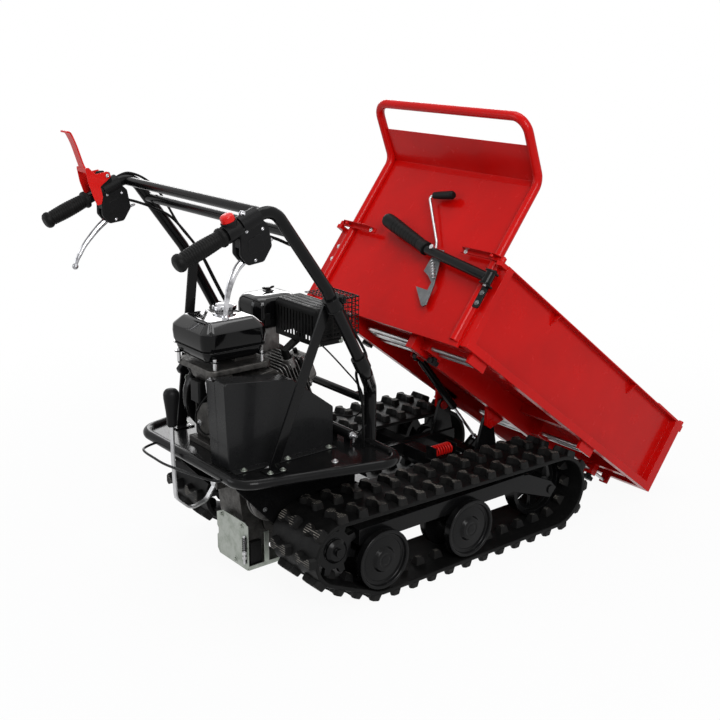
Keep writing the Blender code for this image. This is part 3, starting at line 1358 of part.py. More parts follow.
def box_floor_mesh():
    """Floor sheet on two longerons and three cross channels, with hinge ears and guides for the rods."""
    half = BOX_HALF_WIDTH - PANEL_DEPTH - 0.0025
    solids = [block((bx(0.0092), -half, bz(FLOOR_BOTTOM)), (bx(BOX_LENGTH - 0.028), half, bz(FLOOR_TOP)))]
    cutters = []
    for _, side in SIDES:
        low = (bx(0.020), LONGERON_INNER * side, bz(-LONGERON_DROP))
        high = (bx(LONGERON_END), LONGERON_OUTER * side, bz(FLOOR_BOTTOM + 0.001))
        solids.append(block(low, high))
        outline = [(-0.045, bz(-LONGERON_DROP + 0.004)), (-0.017, -0.006), (-0.010, -0.016), (0.010, -0.016)]
        outline += [(0.017, -0.006), (0.045, bz(-LONGERON_DROP + 0.004)), (0.045, bz(-0.020)), (-0.045, bz(-0.020))]
        solids.append(prism(outline, "y", BOX_EAR_INNER * side, BOX_EAR_OUTER * side))
        low = (-0.045, BOX_EAR_INNER * side, bz(-0.034))
        solids.append(block(low, (0.045, (LONGERON_INNER + 0.004) * side, bz(-0.020))))
        solids.append(hinge_pin_mesh(side))
    reach = BOX_HALF_WIDTH - PANEL_DEPTH - 0.010
    for x in (0.034, 0.500, FRONT_GUIDE_X - 0.013):
        low = (bx(x), -reach, bz(0.002))
        solids.append(block(low, (bx(x + 0.026), reach, bz(FLOOR_BOTTOM + 0.001))))
    inner = STRUT_EYE_HALF + 0.0015
    for _, side in SIDES:
        x, z = STRUT_HEAD_X, STRUT_HEAD_Z
        outline = [(x - 0.014, z - 0.008), (x + 0.014, z - 0.008), (x + 0.022, bz(0.0275)), (x - 0.022, bz(0.0275))]
        solids.append(prism(outline, "y", inner * side, (inner + 0.005) * side))
    solids.append(cylinder("y", (STRUT_HEAD_X, STRUT_HEAD_Z), STRUT_PIN_RADIUS, -inner - 0.002, inner + 0.002, 12))
    for x, owner in rod_rows():
        side = 1 if owner == "left" else -1
        low = (bx(x - 0.012), (LONGERON_OUTER - 0.002) * side, bz(-ROD_DROP - 0.012))
        high = (bx(x + ROD_SPREAD + 0.012), (LONGERON_OUTER + 0.030) * side, bz(FLOOR_BOTTOM + 0.001))
        solids.append(block(low, high))
    for row, owner in rod_rows():
        side = 1 if owner == "left" else -1
        for x in (row, row + ROD_SPREAD):
            start, end = (LONGERON_INNER - 0.010) * side, (LONGERON_OUTER + 0.040) * side
            cutters.append(cylinder("y", (bx(x), bz(-ROD_DROP)), bore_radius(ROD_RADIUS, 8), start, end, 8))
    for _, side in SIDES:
        low = (bx(FRONT_GUIDE_X - 0.012), (FRONT_ROD_Y - 0.014) * side, bz(-FRONT_ROD_DROP - 0.012))
        solids.append(block(low, (bx(FRONT_GUIDE_X + 0.012), (FRONT_ROD_Y + 0.014) * side, bz(0.004))))
        place = (FRONT_ROD_Y * side, bz(-FRONT_ROD_DROP))
        cutters.append(cylinder("x", place, bore_radius(ROD_RADIUS, 8), bx(FRONT_GUIDE_X - 0.023), bx(FRONT_GUIDE_X + 0.027), 8))
    for x, y, foot in knob_places():
        bore = bore_radius(KNOB_SCREW_RADIUS, 8)
        cutters.append(cylinder("z", (bx(x), y), bore, bz(foot - 0.010), bz(foot + 0.009), 8))
    return unite(solids, cutters)


ROD_SPREAD = 0.034
ROD_ROWS = (0.058, BOX_LENGTH - 0.3624)
ROD_ROW_STEP = 0.046


def rod_rows():
    """Places of the slide rods along the box, each with the side that they carry."""
    rows = []
    for x in ROD_ROWS:
        rows.append((x, "right"))
        rows.append((x + ROD_ROW_STEP, "left"))
    return rows


ROD_CROSSING = 0.094


def slide_rod_mesh(side, x):
    """Galvanised hairpin that carries a side panel; its bend is past the centre plane."""
    z = bz(-ROD_DROP)
    outer = (BOX_HALF_WIDTH - PANEL_DEPTH + 0.005) * side
    inner = -ROD_CROSSING * side
    points = [(bx(x), outer, z), (bx(x), inner, z), (bx(x + ROD_SPREAD), inner, z), (bx(x + ROD_SPREAD), outer, z)]
    return tube(points, ROD_RADIUS, 8, 0.0165, 4)


STRAP_X = -0.0185
STRAP_Z = BOX_HEIGHT - 0.0007
FRONT_STRAP_X = BOX_LENGTH + 0.0081
FRONT_STRAP_Z = BOX_HEIGHT + 0.0005


def side_panel_mesh(side):
    """Side panel: pressed sheet with deep outward flanges, gussets and a lower rail that takes the rods."""
    inner = BOX_HALF_WIDTH - PANEL_DEPTH
    length = BOX_LENGTH
    shell = block((bx(0.0), inner * side, bz(0.0)), (bx(length), BOX_HALF_WIDTH * side, bz(BOX_HEIGHT)))
    low = (bx(0.024), (inner + SHEET) * side, bz(0.022))
    high = (bx(length - 0.034), (BOX_HALF_WIDTH + 0.010) * side, bz(BOX_HEIGHT - 0.0035))
    pocket = block(low, high)
    gussets = []
    for x in (0.254, BOX_LENGTH - 0.2874):
        outline = [((inner + 0.001) * side, bz(BOX_HEIGHT - 0.002)), ((inner + 0.001) * side, bz(BOX_HEIGHT - 0.036))]
        outline += [((inner + 0.005) * side, bz(BOX_HEIGHT - 0.036)), ((BOX_HALF_WIDTH - 0.002) * side, bz(BOX_HEIGHT - 0.002))]
        gussets.append(prism(outline, "x", bx(x), bx(x + 0.003)))
    panel = unite([unite([shell], [pocket])] + gussets)
    name = "left" if side > 0 else "right"
    lugs = []
    for x, owner in rod_rows():
        if owner == name:
            reach = 0.016
            low = (bx(x - reach), (inner + 0.002) * side, bz(-ROD_DROP - 0.008))
            high = (bx(x + ROD_SPREAD + reach), (inner + 0.012) * side, bz(0.004))
            lugs.append(block(low, high))
            lugs.append(slide_rod_mesh(side, x))
    y = (BOX_HALF_WIDTH - 0.011) * side
    low = (bx(STRAP_X - 0.008), y - 0.009 * side, bz(STRAP_Z - 0.012))
    lugs.append(block(low, (bx(0.002), y + 0.009 * side, bz(STRAP_Z - 0.0003))))
    lugs.append(cylinder("z", (bx(STRAP_X), y), 0.0035, bz(STRAP_Z - 0.006), bz(STRAP_Z + 0.014), 8))
    return unite([panel] + lugs)


def front_panel_mesh():
    """Front panel between the side panels, with flanges turned outwards."""
    half = BOX_HALF_WIDTH - PANEL_DEPTH - 0.0006
    start, end = BOX_LENGTH - 0.026, BOX_LENGTH
    shell = block((bx(start), -half, bz(0.0)), (bx(end), half, bz(BOX_HEIGHT - 0.001)))
    low = (bx(start + SHEET), -half + 0.022, bz(0.022))
    pocket = block(low, (bx(end + 0.010), half - 0.022, bz(BOX_HEIGHT - 0.0045)))
    foot = start + SHEET + 0.002
    lugs = []
    for _, side in SIDES:
        lugs.append(front_rod_mesh(side))
        low = (bx(foot), (FRONT_ROD_Y - 0.014) * side, bz(-FRONT_ROD_DROP - 0.008))
        lugs.append(block(low, (bx(foot + 0.008), (FRONT_ROD_Y + 0.014) * side, bz(0.004))))
        y = BOX_HALF_WIDTH - 0.013
        low = (bx(end - 0.004), (half - 0.014) * side, bz(FRONT_STRAP_Z - 0.022))
        lugs.append(block(low, (bx(end + 0.016), (half - 0.001) * side, bz(FRONT_STRAP_Z - GAP))))
        low = (bx(end + 0.0006), (half - 0.004) * side, bz(FRONT_STRAP_Z - 0.020))
        lugs.append(block(low, (bx(end + 0.0155), (y + 0.008) * side, bz(FRONT_STRAP_Z - 0.0004))))
        pin = (bx(FRONT_STRAP_X), y * side)
        lugs.append(cylinder("z", pin, 0.0035, bz(FRONT_STRAP_Z - 0.006), bz(FRONT_STRAP_Z + 0.0125), 8))
    return unite([unite([shell], [pocket])] + lugs)


def headboard_mesh():
    """Headboard sheet folded back at its top, in its bent tube loop, with corner posts and a rear rail."""
    half = BOX_HALF_WIDTH - PANEL_DEPTH - 0.0006
    rear = -0.0035
    lean = Vector((-math.sin(LOOP_LEAN), 0, math.cos(LOOP_LEAN)))
    bend = Vector((bx(rear), 0, bz(LOOP_BEND)))
    top = bend + lean * LOOP_LEG
    side_y = LOOP_HALF_WIDTH
    loop_points = [Vector((bx(rear), -side_y, bz(0.006))), bend + Vector((0, -side_y, 0))]
    loop_points += [top + Vector((0, -side_y, 0)), top + Vector((0, side_y, 0))]
    loop_points += [bend + Vector((0, side_y, 0)), Vector((bx(rear), side_y, bz(0.006)))]
    loop = tube(loop_points, LOOP_RADIUS, 8, 0.042, 3)
    outline = [(-half, bz(0.0)), (half, bz(0.0)), (half, bz(BOX_HEIGHT + 0.002))]
    outline += [(side_y, bz(BOX_HEIGHT + 0.002)), (side_y, bz(LOOP_BEND - 0.010))]
    outline += [(-side_y, bz(LOOP_BEND - 0.010)), (-side_y, bz(BOX_HEIGHT + 0.002)), (-half, bz(BOX_HEIGHT + 0.002))]
    sheet = prism(outline, "x", bx(0.0005), bx(0.0005 + SHEET))
    fold_start = Vector((bx(0.0012), 0, bz(LOOP_BEND - 0.018)))
    fold = [fold_start, bend + Vector((0.006, 0, 0.001)), bend + lean * 0.094]
    folded = flat_bar(fold, 2 * side_y, SHEET, (0, 1, 0))
    rail = block((bx(-0.006), -half + 0.001, bz(-0.008)), (bx(0.0025), half - 0.001, bz(0.028)))
    posts = []
    for _, side in SIDES:
        low = (bx(-0.009), (half - 0.016) * side, bz(0.004))
        posts.append(block(low, (bx(0.0025), (half - 0.0005) * side, bz(BOX_HEIGHT - 0.004))))
    return unite([loop, sheet, folded, rail] + posts + [lever_bracket_mesh()])


def strap_mesh(side, place):
    """Corner strap with its knuckle, across the headboard or along the top rail."""
    if place == "rear":
        x, y, z = STRAP_X, (BOX_HALF_WIDTH - 0.011) * side, STRAP_Z
        low, high = (bx(x - 0.0025), (BOX_HALF_WIDTH - 0.1565) * side, bz(z)), (bx(x + 0.0020), y, bz(z + 0.0115))
    else:
        x, y, z = FRONT_STRAP_X, (BOX_HALF_WIDTH - 0.013) * side, FRONT_STRAP_Z
        low, high = (bx(x - 0.1535), y - 0.009, bz(z)), (bx(x), y + 0.004, bz(z + 0.0040))
    knuckle = cylinder("z", (bx(x), y), 0.0075, bz(z), bz(z + 0.0115), 10)
    bore = cylinder("z", (bx(x), y), bore_radius(0.0035, 8), bz(z - 0.010), bz(z + 0.030), 8)
    return unite([block(low, high), knuckle], [bore])


LEVER_HEAD_HALF = 0.0148
LEVER_PIN_RADIUS = 0.0045
LEVER_GRIP_START = (-0.073, 0.207)
LEVER_GRIP_END = (0.130, 0.265)


def lever_bracket_mesh():
    """Black bracket with two lugs and an upright pin, on the right corner of the headboard."""
    y, z = LEVER_PIVOT_Y, LEVER_PIVOT_Z
    face = -0.0085
    solids = [block((bx(face - 0.004), y + 0.002, bz(z - 0.075)), (bx(face), y + 0.024, bz(z + 0.030)))]
    for start, end in ((z - LEVER_HEAD_HALF - 0.005, z - LEVER_HEAD_HALF - 0.0007),
                       (z + LEVER_HEAD_HALF + 0.0007, z + LEVER_HEAD_HALF + 0.005)):
        low = (bx(-LEVER_STAND_OFF - 0.012), y - 0.011, bz(start))
        solids.append(block(low, (bx(face - 0.001), y + 0.0135, bz(end))))
    reach = LEVER_HEAD_HALF + 0.0075
    place = (bx(-LEVER_STAND_OFF), y)
    solids.append(cylinder("z", place, LEVER_PIN_RADIUS, bz(z - reach), bz(z + reach), 12))
    return unite(solids)


def lever_line(share):
    """Point on the axis of the lifting bar, as a share of the way to the start of its grip."""
    start = Vector((bx(-LEVER_STAND_OFF), LEVER_PIVOT_Y, bz(LEVER_PIVOT_Z)))
    end = Vector((bx(-LEVER_STAND_OFF), LEVER_GRIP_START[0], bz(LEVER_GRIP_START[1])))
    return start + (end - start) * share


def lifting_bar_mesh():
    """Tubular bar with its pivot boss and the bolt that carries the hook."""
    z = LEVER_PIVOT_Z
    place = (bx(-LEVER_STAND_OFF), LEVER_PIVOT_Y)
    boss = cylinder("z", place, 0.0125, bz(z - LEVER_HEAD_HALF), bz(z + LEVER_HEAD_HALF), 12)
    grip_end = Vector((bx(-LEVER_STAND_OFF), LEVER_GRIP_END[0], bz(LEVER_GRIP_END[1])))
    bar = tube([lever_line(0.02), lever_line(1.0), grip_end], LEVER_RADIUS, 10)
    hook_place = (HOOK_PIVOT_Y, bz(HOOK_PIVOT_Z))
    bolt_end = HOOK_FACE + HOOK_THICKNESS + 0.003
    bolt = cylinder("x", hook_place, 0.004, bx(-LEVER_STAND_OFF - 0.017), bx(bolt_end), 10)
    head = cylinder("x", hook_place, 0.007, bx(-LEVER_STAND_OFF - 0.019), bx(-LEVER_STAND_OFF - 0.010), 6)
    bore = cylinder("z", place, bore_radius(LEVER_PIN_RADIUS, 12), bz(z - 0.040), bz(z + 0.040), 12)
    return unite([boss, bar, bolt, head, lifting_grip_mesh()], [bore])


def lifting_grip_mesh():
    """Rubber grip on the free end of the lifting bar."""
    start = lever_line(1.0)
    end = Vector((bx(-LEVER_STAND_OFF), LEVER_GRIP_END[0], bz(LEVER_GRIP_END[1])))
    length = (end - start).length
    profile = [(0, length + 0.012), (0.014, length + 0.010), (0.0190, length + 0.002), (0.0195, length * 0.7)]
    profile += [(0.0175, length * 0.4), (0.0185, 0.012), (0.0165, 0.008), (0, 0.008)]
    sleeve = turned(profile, "z", (0, 0), 10)
    turn = Vector((0, 0, 1)).rotation_difference(end - start).to_matrix().to_4x4()
    return moved(sleeve, Matrix.Translation(start) @ turn)


def hook_plate_mesh():
    """Flat hook with its beak below the notch, under the lifting bar."""
    outline = [(-0.078, 0.222), (-0.077, 0.155), (-0.100, 0.146), (-0.123, 0.130), (-0.1235, 0.108), (-0.078, 0.110)]
    outline += [(-0.128, 0.066), (-0.136, 0.063), (-0.145, 0.070), (-0.136, 0.125), (-0.112, 0.196), (-0.108, 0.222)]
    start, end = bx(HOOK_FACE), bx(HOOK_FACE + HOOK_THICKNESS)
    plate = prism([(y, bz(z)) for y, z in outline], "x", start, end)
    hole = cylinder("x", (HOOK_PIVOT_Y, bz(HOOK_PIVOT_Z)), bore_radius(0.004, 10), start - 0.01, end + 0.01, 10)
    crank = [(bx(HOOK_FACE + 0.0035), -0.083, bz(0.205)), (bx(HOOK_FACE + 0.0025), -0.066, bz(0.240))]
    crank += [(bx(-0.020), 0.040, bz(0.361)), (bx(-0.020), 0.020, bz(0.3655))]
    rod = tube(crank, 0.0035, 8, 0.006, 2)
    return unite([plate, rod, hook_handle_mesh()], [hole])


def hook_handle_mesh():
    """Black handle on the crank of the hook."""
    start, end = Vector((bx(-0.020), 0.020, bz(0.3655))), Vector((bx(-0.020), -0.045, bz(0.376)))
    length = (end - start).length
    profile = [(0, length), (0.008, length), (0.0115, length - 0.006), (0.0105, 0.020), (0.0090, -0.004), (0, -0.004)]
    handle = turned(profile, "z", (0, 0), 10)
    turn = Vector((0, 0, 1)).rotation_difference(end - start).to_matrix().to_4x4()
    return moved(handle, Matrix.Translation(start) @ turn)


def hook_spring_mesh():
    """Small coil spring between the lifting bar and the hook plate."""
    top = Vector((bx(HOOK_FACE - 0.0069), -0.096, bz(0.184)))
    bottom = Vector((bx(HOOK_FACE - 0.0069), -0.128, bz(0.141)))
    return coil(top, bottom, 6, 0.0055, 0.0010)


def hinge_pin_mesh(side):
    """Hinge pin of the box with its head."""
    rows = [(0, 0.0815), (0.014, 0.0815), (0.014, HINGE_EAR_INNER - GAP), (HINGE_PIN_RADIUS, HINGE_EAR_INNER - GAP)]
    rows += [(HINGE_PIN_RADIUS, BOX_EAR_OUTER + 0.003), (0, BOX_EAR_OUTER + 0.003)]
    return turned([(radius, y * side) for radius, y in rows], "y", (0, 0), 16)


def strut_frame():
    """Matrix that puts +Z along the gas strut, from its foot; +Y stays."""
    foot = Vector((STRUT_FOOT_X, 0, STRUT_FOOT_Z))
    turn = Matrix.Rotation(BOX_TILT, 4, "Y")
    head = Vector((HINGE_X, 0, HINGE_Z)) + turn @ Vector((STRUT_HEAD_X, 0, STRUT_HEAD_Z))
    line = head - foot
    angle = math.atan2(line.x, line.z)
    return Matrix.Translation(foot) @ Matrix.Rotation(angle, 4, "Y"), line.length


def gas_rod_mesh():
    """Piston rod with its lower eye."""
    frame, _ = strut_frame()
    eye = cylinder("y", (0, 0), 0.0095, -STRUT_EYE_HALF, STRUT_EYE_HALF, 14)
    hole = cylinder("y", (0, 0), bore_radius(STRUT_PIN_RADIUS, 12), -0.020, 0.020, 12)
    rod = cylinder("z", (0, 0), STRUT_ROD_RADIUS, 0.007, STRUT_ROD_SHOWN + 0.055, 10)
    return moved(unite([eye, rod], [hole]), frame)


STRUT_HEAD_PLAY = 0.0045


def gas_cylinder_mesh():
    """Pressure tube with its upper eye, which has play on its pin."""
    frame, length = strut_frame()
    bore = bore_radius(STRUT_ROD_RADIUS, 10)
    end = length - 0.0115
    profile = [(0, end), (0.006, end), (STRUT_TUBE_RADIUS, end - 0.010), (STRUT_TUBE_RADIUS, STRUT_ROD_SHOWN + 0.003)]
    profile += [(STRUT_TUBE_RADIUS - 0.003, STRUT_ROD_SHOWN), (bore, STRUT_ROD_SHOWN)]
    profile += [(bore, STRUT_ROD_SHOWN + 0.100), (0, STRUT_ROD_SHOWN + 0.100)]
    barrel = turned(profile, "z", (0, 0), 14)
    hole_radius = bore_radius(STRUT_PIN_RADIUS + STRUT_HEAD_PLAY, 14)
    eye = moved(cylinder("y", (0, 0), hole_radius + 0.0045, -0.0075, 0.0075, 14), Matrix.Translation((0, 0, length)))
    hole = moved(cylinder("y", (0, 0), hole_radius, -0.020, 0.020, 14), Matrix.Translation((0, 0, length)))
    return moved(unite([barrel, eye], [hole]), frame)


def tensioner_mesh():
    """Cylinder of the clutch tensioner on the platform, with its adjusting nut."""
    x, z = 0.016, PLATE_TOP + 0.022
    barrel = cylinder("y", (x, z), 0.0125, -0.168, -0.086, 12)
    nut = cylinder("y", (x, z), 0.0075, -0.180, -0.160, 6)
    stays = []
    for y in (-0.150, -0.098):
        stays.append(block((x - 0.008, y - 0.003, PLATE_TOP - 0.001), (x + 0.008, y + 0.003, z - 0.004)))
    return unite([barrel, nut] + stays)


def cable_route(side):
    """Control cable from its lever housing down the arm and the post to the platform."""
    route = [
        (-0.3138, 0.300, 0.920),
        (-0.292, 0.2886, 0.913),
        (-0.255, 0.2816, 0.897),
        (-0.205, 0.2806, 0.868),
        (-0.150, 0.2806, 0.805),
        (-0.1225, 0.2846, 0.766),
        (-0.083, 0.2886, 0.690),
        (-0.040, 0.2906, 0.612),
        (-0.026, 0.238, 0.562),
        (0.010, 0.200, 0.510),
        (0.026, 0.196, 0.455),
        (0.022, 0.205, 0.400),
        (0.022, 0.205, PLATE_TOP + GAP),
    ]
    points = [(x, y * side, z) for x, y, z in route]
    return points


def smooth_route(points, steps):
    """Points read from a smooth curve through the given ones."""
    points = [Vector(point) for point in points]
    ends = [points[0] * 2 - points[1]] + points + [points[-1] * 2 - points[-2]]
    route = []
    for i in range(1, len(ends) - 2):
        a, b, c, d = ends[i - 1:i + 3]
        for k in range(steps):
            t = k / steps
            route.append(0.5 * (2 * b + (c - a) * t + (2 * a - 5 * b + 4 * c - d) * t * t
                                + (3 * b - a - 3 * c + d) * t * t * t))
    route.append(points[-1])
    return route


CABLE_RADIUS = 0.0033


def cable(name, side, parent):
    """Control cable as a curve with a round bevel and filled ends."""
    curve = bpy.data.curves.new(name, "CURVE")
    curve.dimensions = "3D"
    curve.bevel_depth = CABLE_RADIUS
    curve.bevel_resolution = 1
    curve.use_fill_caps = True
    spline = curve.splines.new("POLY")
    route = smooth_route(cable_route(side), 2)
    spline.points.add(len(route) - 1)
    for point, place in zip(spline.points, route):
        point.co = (*place, 1.0)
    curve.materials.append(finish_of("rubber", *FINISHES["rubber"]))
    obj = bpy.data.objects.new(name, curve)
    obj.parent = parent
    bpy.context.scene.collection.objects.link(obj)
    return obj


def build_running_gear(machine):
    """Tracks with their wheels on both sides."""
    piece("chassis_frame", chassis_mesh(), "black_paint", machine)
    for name, side in SIDES:
        piece("track_" + name, track_mesh(side), "rubber", machine)
        pivot = (SPROCKET_X, 0, SPROCKET_Z)
        piece("sprocket_" + name, sprocket_mesh(side), "wheel_paint", machine, pivot)
        for place, x in (("rear", 0.0), ("front", ROLLER_SPACING)):
            pivot = (x, 0, ROLLER_Z)
            piece("roller_" + place + "_" + name, roller_mesh(side, x), "wheel_paint", machine, pivot)
        piece("idler_" + name, idler_mesh(side), "wheel_paint", machine, (IDLER_X, 0, IDLER_Z))


def build_platform(machine):
    """Platform with the handlebar, its struts, grips and controls."""
    piece("engine_platform", platform_mesh(), "black_paint", machine)
    piece("handlebar", handlebar_mesh(), "black_paint", machine)
    feet = {"right": (-0.236, 0.202), "left": (-0.250, 0.190)}
    for name, side in SIDES:
        piece("strut_" + name, strut_mesh(side, feet[name]), "black_paint", machine)
        piece("grip_" + name, grip_mesh(side), "rubber", machine)
        piece("lever_housing_" + name, perch_mesh(side), "black_plastic", machine)
        pivot = (LEVER_PLACE[0], ARM_Y * side, LEVER_PLACE[1])
        piece("steering_lever_" + name, steering_lever_mesh(side), "chrome", machine, pivot)
        cable("cable_" + name, side, machine)
    piece("clutch_lever", clutch_lever_mesh(), "red_plastic", machine, (CLUTCH_PIVOT[0], ARM_Y, CLUTCH_PIVOT[1]))
    piece("stop_button", stop_button_mesh(), "red_plastic", machine, button_place()[0])


def build_engine(machine):
    """Engine, gearbox and belt drive."""
    piece("gearbox_housing", gearbox_mesh(), "cast_aluminium", machine)
    piece("gearbox_guard", gearbox_guard_mesh(), "galvanised", machine)
    piece("gear_lever", gear_lever_mesh(), "chrome", machine, GEAR_PIVOT)
    piece("engine_block", engine_block_mesh(), "cast_aluminium", machine)
    piece("valve_cover", valve_cover_mesh(), "cast_aluminium", machine)
    piece("fuel_tank", tank_mesh(), "black_paint", machine)
    piece("fuel_cap", cap_mesh(), "black_plastic", machine, (*CAP_PLACE, TANK_HIGH[2]))
    piece("carburettor", carburettor_mesh(), "cast_aluminium", machine)
    piece("air_cleaner", air_cleaner_mesh(), "black_plastic", machine)
    piece("muffler", muffler_mesh(), "black_paint", machine)
    piece("muffler_guard", muffler_guard_mesh(), "black_paint", machine)
    piece("recoil_housing", recoil_mesh(), "black_paint", machine)
    piece("starter_grip", starter_grip_mesh(), "black_plastic", machine)
    mesh = pulley_mesh(CRANK_X, CRANK_Z, ENGINE_PULLEY_RADIUS, -0.061)
    piece("engine_pulley", mesh, "cast_aluminium", machine, (CRANK_X, 0, CRANK_Z))
    mesh = pulley_mesh(GEARBOX_SHAFT_X, GEARBOX_SHAFT_Z, GEARBOX_PULLEY_RADIUS, -0.053)
    piece("gearbox_pulley", mesh, "cast_aluminium", machine, (GEARBOX_SHAFT_X, 0, GEARBOX_SHAFT_Z))
    piece("drive_belt", drive_belt_mesh(), "rubber", machine)
    piece("belt_guard", belt_guard_mesh(), "grey_paint", machine)


def build_box(box):
    """Tipping box with its panels, rods, straps, knobs and hinge pins."""
    piece("box_floor", box_floor_mesh(), "red_paint", box)
    piece("headboard", headboard_mesh(), "red_paint", box)
    piece("front_panel", front_panel_mesh(), "red_paint", box)
    for name, side in SIDES:
        piece("side_" + name, side_panel_mesh(side), "red_paint", box)
        pivot = (bx(STRAP_X), (BOX_HALF_WIDTH - 0.011) * side, bz(STRAP_Z))
        piece("strap_rear_" + name, strap_mesh(side, "rear"), "red_paint", box, pivot)
        pivot = (bx(FRONT_STRAP_X), (BOX_HALF_WIDTH - 0.013) * side, bz(FRONT_STRAP_Z))
        piece("strap_front_" + name, strap_mesh(side, "front"), "red_paint", box, pivot)
    for name, place in zip(("right", "left", "front"), knob_places()):
        x, y, foot = place
        piece("clamp_knob_" + name, clamp_knob_mesh(x, y, foot), "black_plastic", box, (bx(x), y, bz(foot)))


def build_lock(box):
    """Lifting bar on its bracket, with the hook, its crank and its spring."""
    pivot = lever_line(0)
    piece("lifting_bar", lifting_bar_mesh(), "black_paint", box, pivot)
    piece("hook_spring", hook_spring_mesh(), "galvanised", box, pivot)
    hook_pivot = (bx(HOOK_FACE), HOOK_PIVOT_Y, bz(HOOK_PIVOT_Z))
    piece("hook_plate", hook_plate_mesh(), "galvanised", box, hook_pivot)


def build_strut(machine):
    """Gas strut and the red spring on the chassis."""
    foot = (STRUT_FOOT_X, 0, STRUT_FOOT_Z)
    piece("gas_rod", gas_rod_mesh(), "chrome", machine, foot)
    piece("gas_cylinder", gas_cylinder_mesh(), "black_paint", machine, foot)
    centre = SPRING_SEAT + GAP + SPRING_WIRE + SPRING_COIL
    spring = coil((SPRING_START, SPRING_Y, centre), (SPRING_END, SPRING_Y, centre), 7, SPRING_COIL, SPRING_WIRE)
    piece("return_spring", spring, "red_plastic", machine)


def build():
    wipe_scene()
    machine = empty("machine", (REAR_ROLLER_X, 0, 0))
    box = empty("box_hinge", (HINGE_X, 0, HINGE_Z), BOX_TILT)
    box.parent = machine
    build_running_gear(machine)
    build_platform(machine)
    build_engine(machine)
    build_box(box)
    build_lock(box)
    build_strut(machine)


build()
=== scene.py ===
"""The tracked power carrier, dressed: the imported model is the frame, and each piece rides on its body.

Metres, +Z up, +X to the front. Sizes of the machine along X are measured from the axle of the rear rollers.
"""

import json
import math

import bmesh
import bpy
from mathutils import Matrix, Vector

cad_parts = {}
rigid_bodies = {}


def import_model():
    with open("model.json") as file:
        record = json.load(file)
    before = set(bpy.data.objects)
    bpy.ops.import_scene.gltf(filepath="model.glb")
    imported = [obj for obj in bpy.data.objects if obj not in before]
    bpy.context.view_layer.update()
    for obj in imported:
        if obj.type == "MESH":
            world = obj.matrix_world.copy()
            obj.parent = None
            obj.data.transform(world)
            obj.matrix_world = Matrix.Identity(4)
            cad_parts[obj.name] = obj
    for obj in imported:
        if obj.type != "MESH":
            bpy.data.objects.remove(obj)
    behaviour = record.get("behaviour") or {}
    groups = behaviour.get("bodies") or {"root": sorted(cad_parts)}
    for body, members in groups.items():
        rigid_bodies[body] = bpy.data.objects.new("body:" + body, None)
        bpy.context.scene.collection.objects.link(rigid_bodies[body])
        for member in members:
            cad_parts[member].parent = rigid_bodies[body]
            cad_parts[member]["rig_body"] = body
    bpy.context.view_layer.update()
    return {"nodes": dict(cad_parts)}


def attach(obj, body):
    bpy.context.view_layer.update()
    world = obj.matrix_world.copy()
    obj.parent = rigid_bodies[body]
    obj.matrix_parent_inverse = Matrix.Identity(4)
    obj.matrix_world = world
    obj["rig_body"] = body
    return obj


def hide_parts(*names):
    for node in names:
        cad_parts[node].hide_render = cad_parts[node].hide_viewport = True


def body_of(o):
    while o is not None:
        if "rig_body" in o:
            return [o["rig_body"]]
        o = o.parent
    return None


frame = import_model()

GAP = 0.0003
TURNING_GAP = 0.0005
SIDES = (("left", 1), ("right", -1))

# the whole machine
REAR_ROLLER_X = -0.3153

# tracks
LINKS = 34
PITCH = 0.060
BELT_THICKNESS = 0.0106
BELT_WIDTH = 0.180
NEUTRAL = BELT_THICKNESS / 2
TRACK_CENTRE = 0.238
LUG_HEIGHT = 0.016
LUG_LENGTH = 0.030
LUG_WAIST = 0.0075
GUIDE_HEIGHT = 0.018
GUIDE_WIDTH = 0.026
GUIDE_OFFSET = 0.028

# wheels inside the tracks, by the radius of the belt's inner face on them
ROLLER_SEAT = 0.0774
ROLLER_SPACING = 0.2846
ROLLER_Z = LUG_HEIGHT + BELT_THICKNESS + ROLLER_SEAT
AXLE_RADIUS = 0.012
IDLER_SEAT = 0.0924
IDLER_RISE = 0.015
IDLER_Z = ROLLER_Z + IDLER_RISE
IDLER_INNER = TRACK_CENTRE - 0.030
IDLER_OUTER = TRACK_CENTRE + 0.008
IDLER_HUB_END = TRACK_CENTRE + 0.0257
IDLER_STUB_RADIUS = 0.0125
SPROCKET_TEETH = 8
SPROCKET_X = -0.130
SPROCKET_Z = 0.157
SPROCKET_SEAT = SPROCKET_TEETH * PITCH / (2 * math.pi) - NEUTRAL
SPROCKET_INNER = TRACK_CENTRE + 0.002
SPROCKET_OUTER = TRACK_CENTRE + 0.055
GUIDE_INNER = TRACK_CENTRE + GUIDE_OFFSET - GUIDE_WIDTH / 2 - 0.0015
GUIDE_OUTER = TRACK_CENTRE + GUIDE_OFFSET + GUIDE_WIDTH / 2 + 0.0015
DRIVE_SHAFT_RADIUS = 0.014
SHAFT_INNER = 0.140

# chassis
BEAM_BOTTOM = 0.150
BEAM_TOP = 0.190
BEAM_WIDTH = 0.060
BEAM_INNER = TRACK_CENTRE - 0.002
BEAM_REAR = -0.060
BEAM_FRONT = 0.500
RAIL_INNER = 0.080
RAIL_OUTER = 0.110
RAIL_REAR = -0.100
RAIL_FRONT = 0.600
CROSS_MEMBERS = (0.120, 0.400)
CROSS_LENGTH = 0.040
ARM_INNER = TRACK_CENTRE + 0.026
ARM_OUTER = TRACK_CENTRE + 0.060
HINGE_X = 0.560
HINGE_Z = 0.270
HINGE_PIN_RADIUS = 0.010
HINGE_EAR_INNER = 0.086
HINGE_EAR_OUTER = 0.096
SPRING_Y = -0.058
SPRING_WIRE = 0.0028
SPRING_COIL = 0.0135
SPRING_SEAT = BEAM_TOP + 0.001
SPRING_START = 0.385
SPRING_END = 0.455

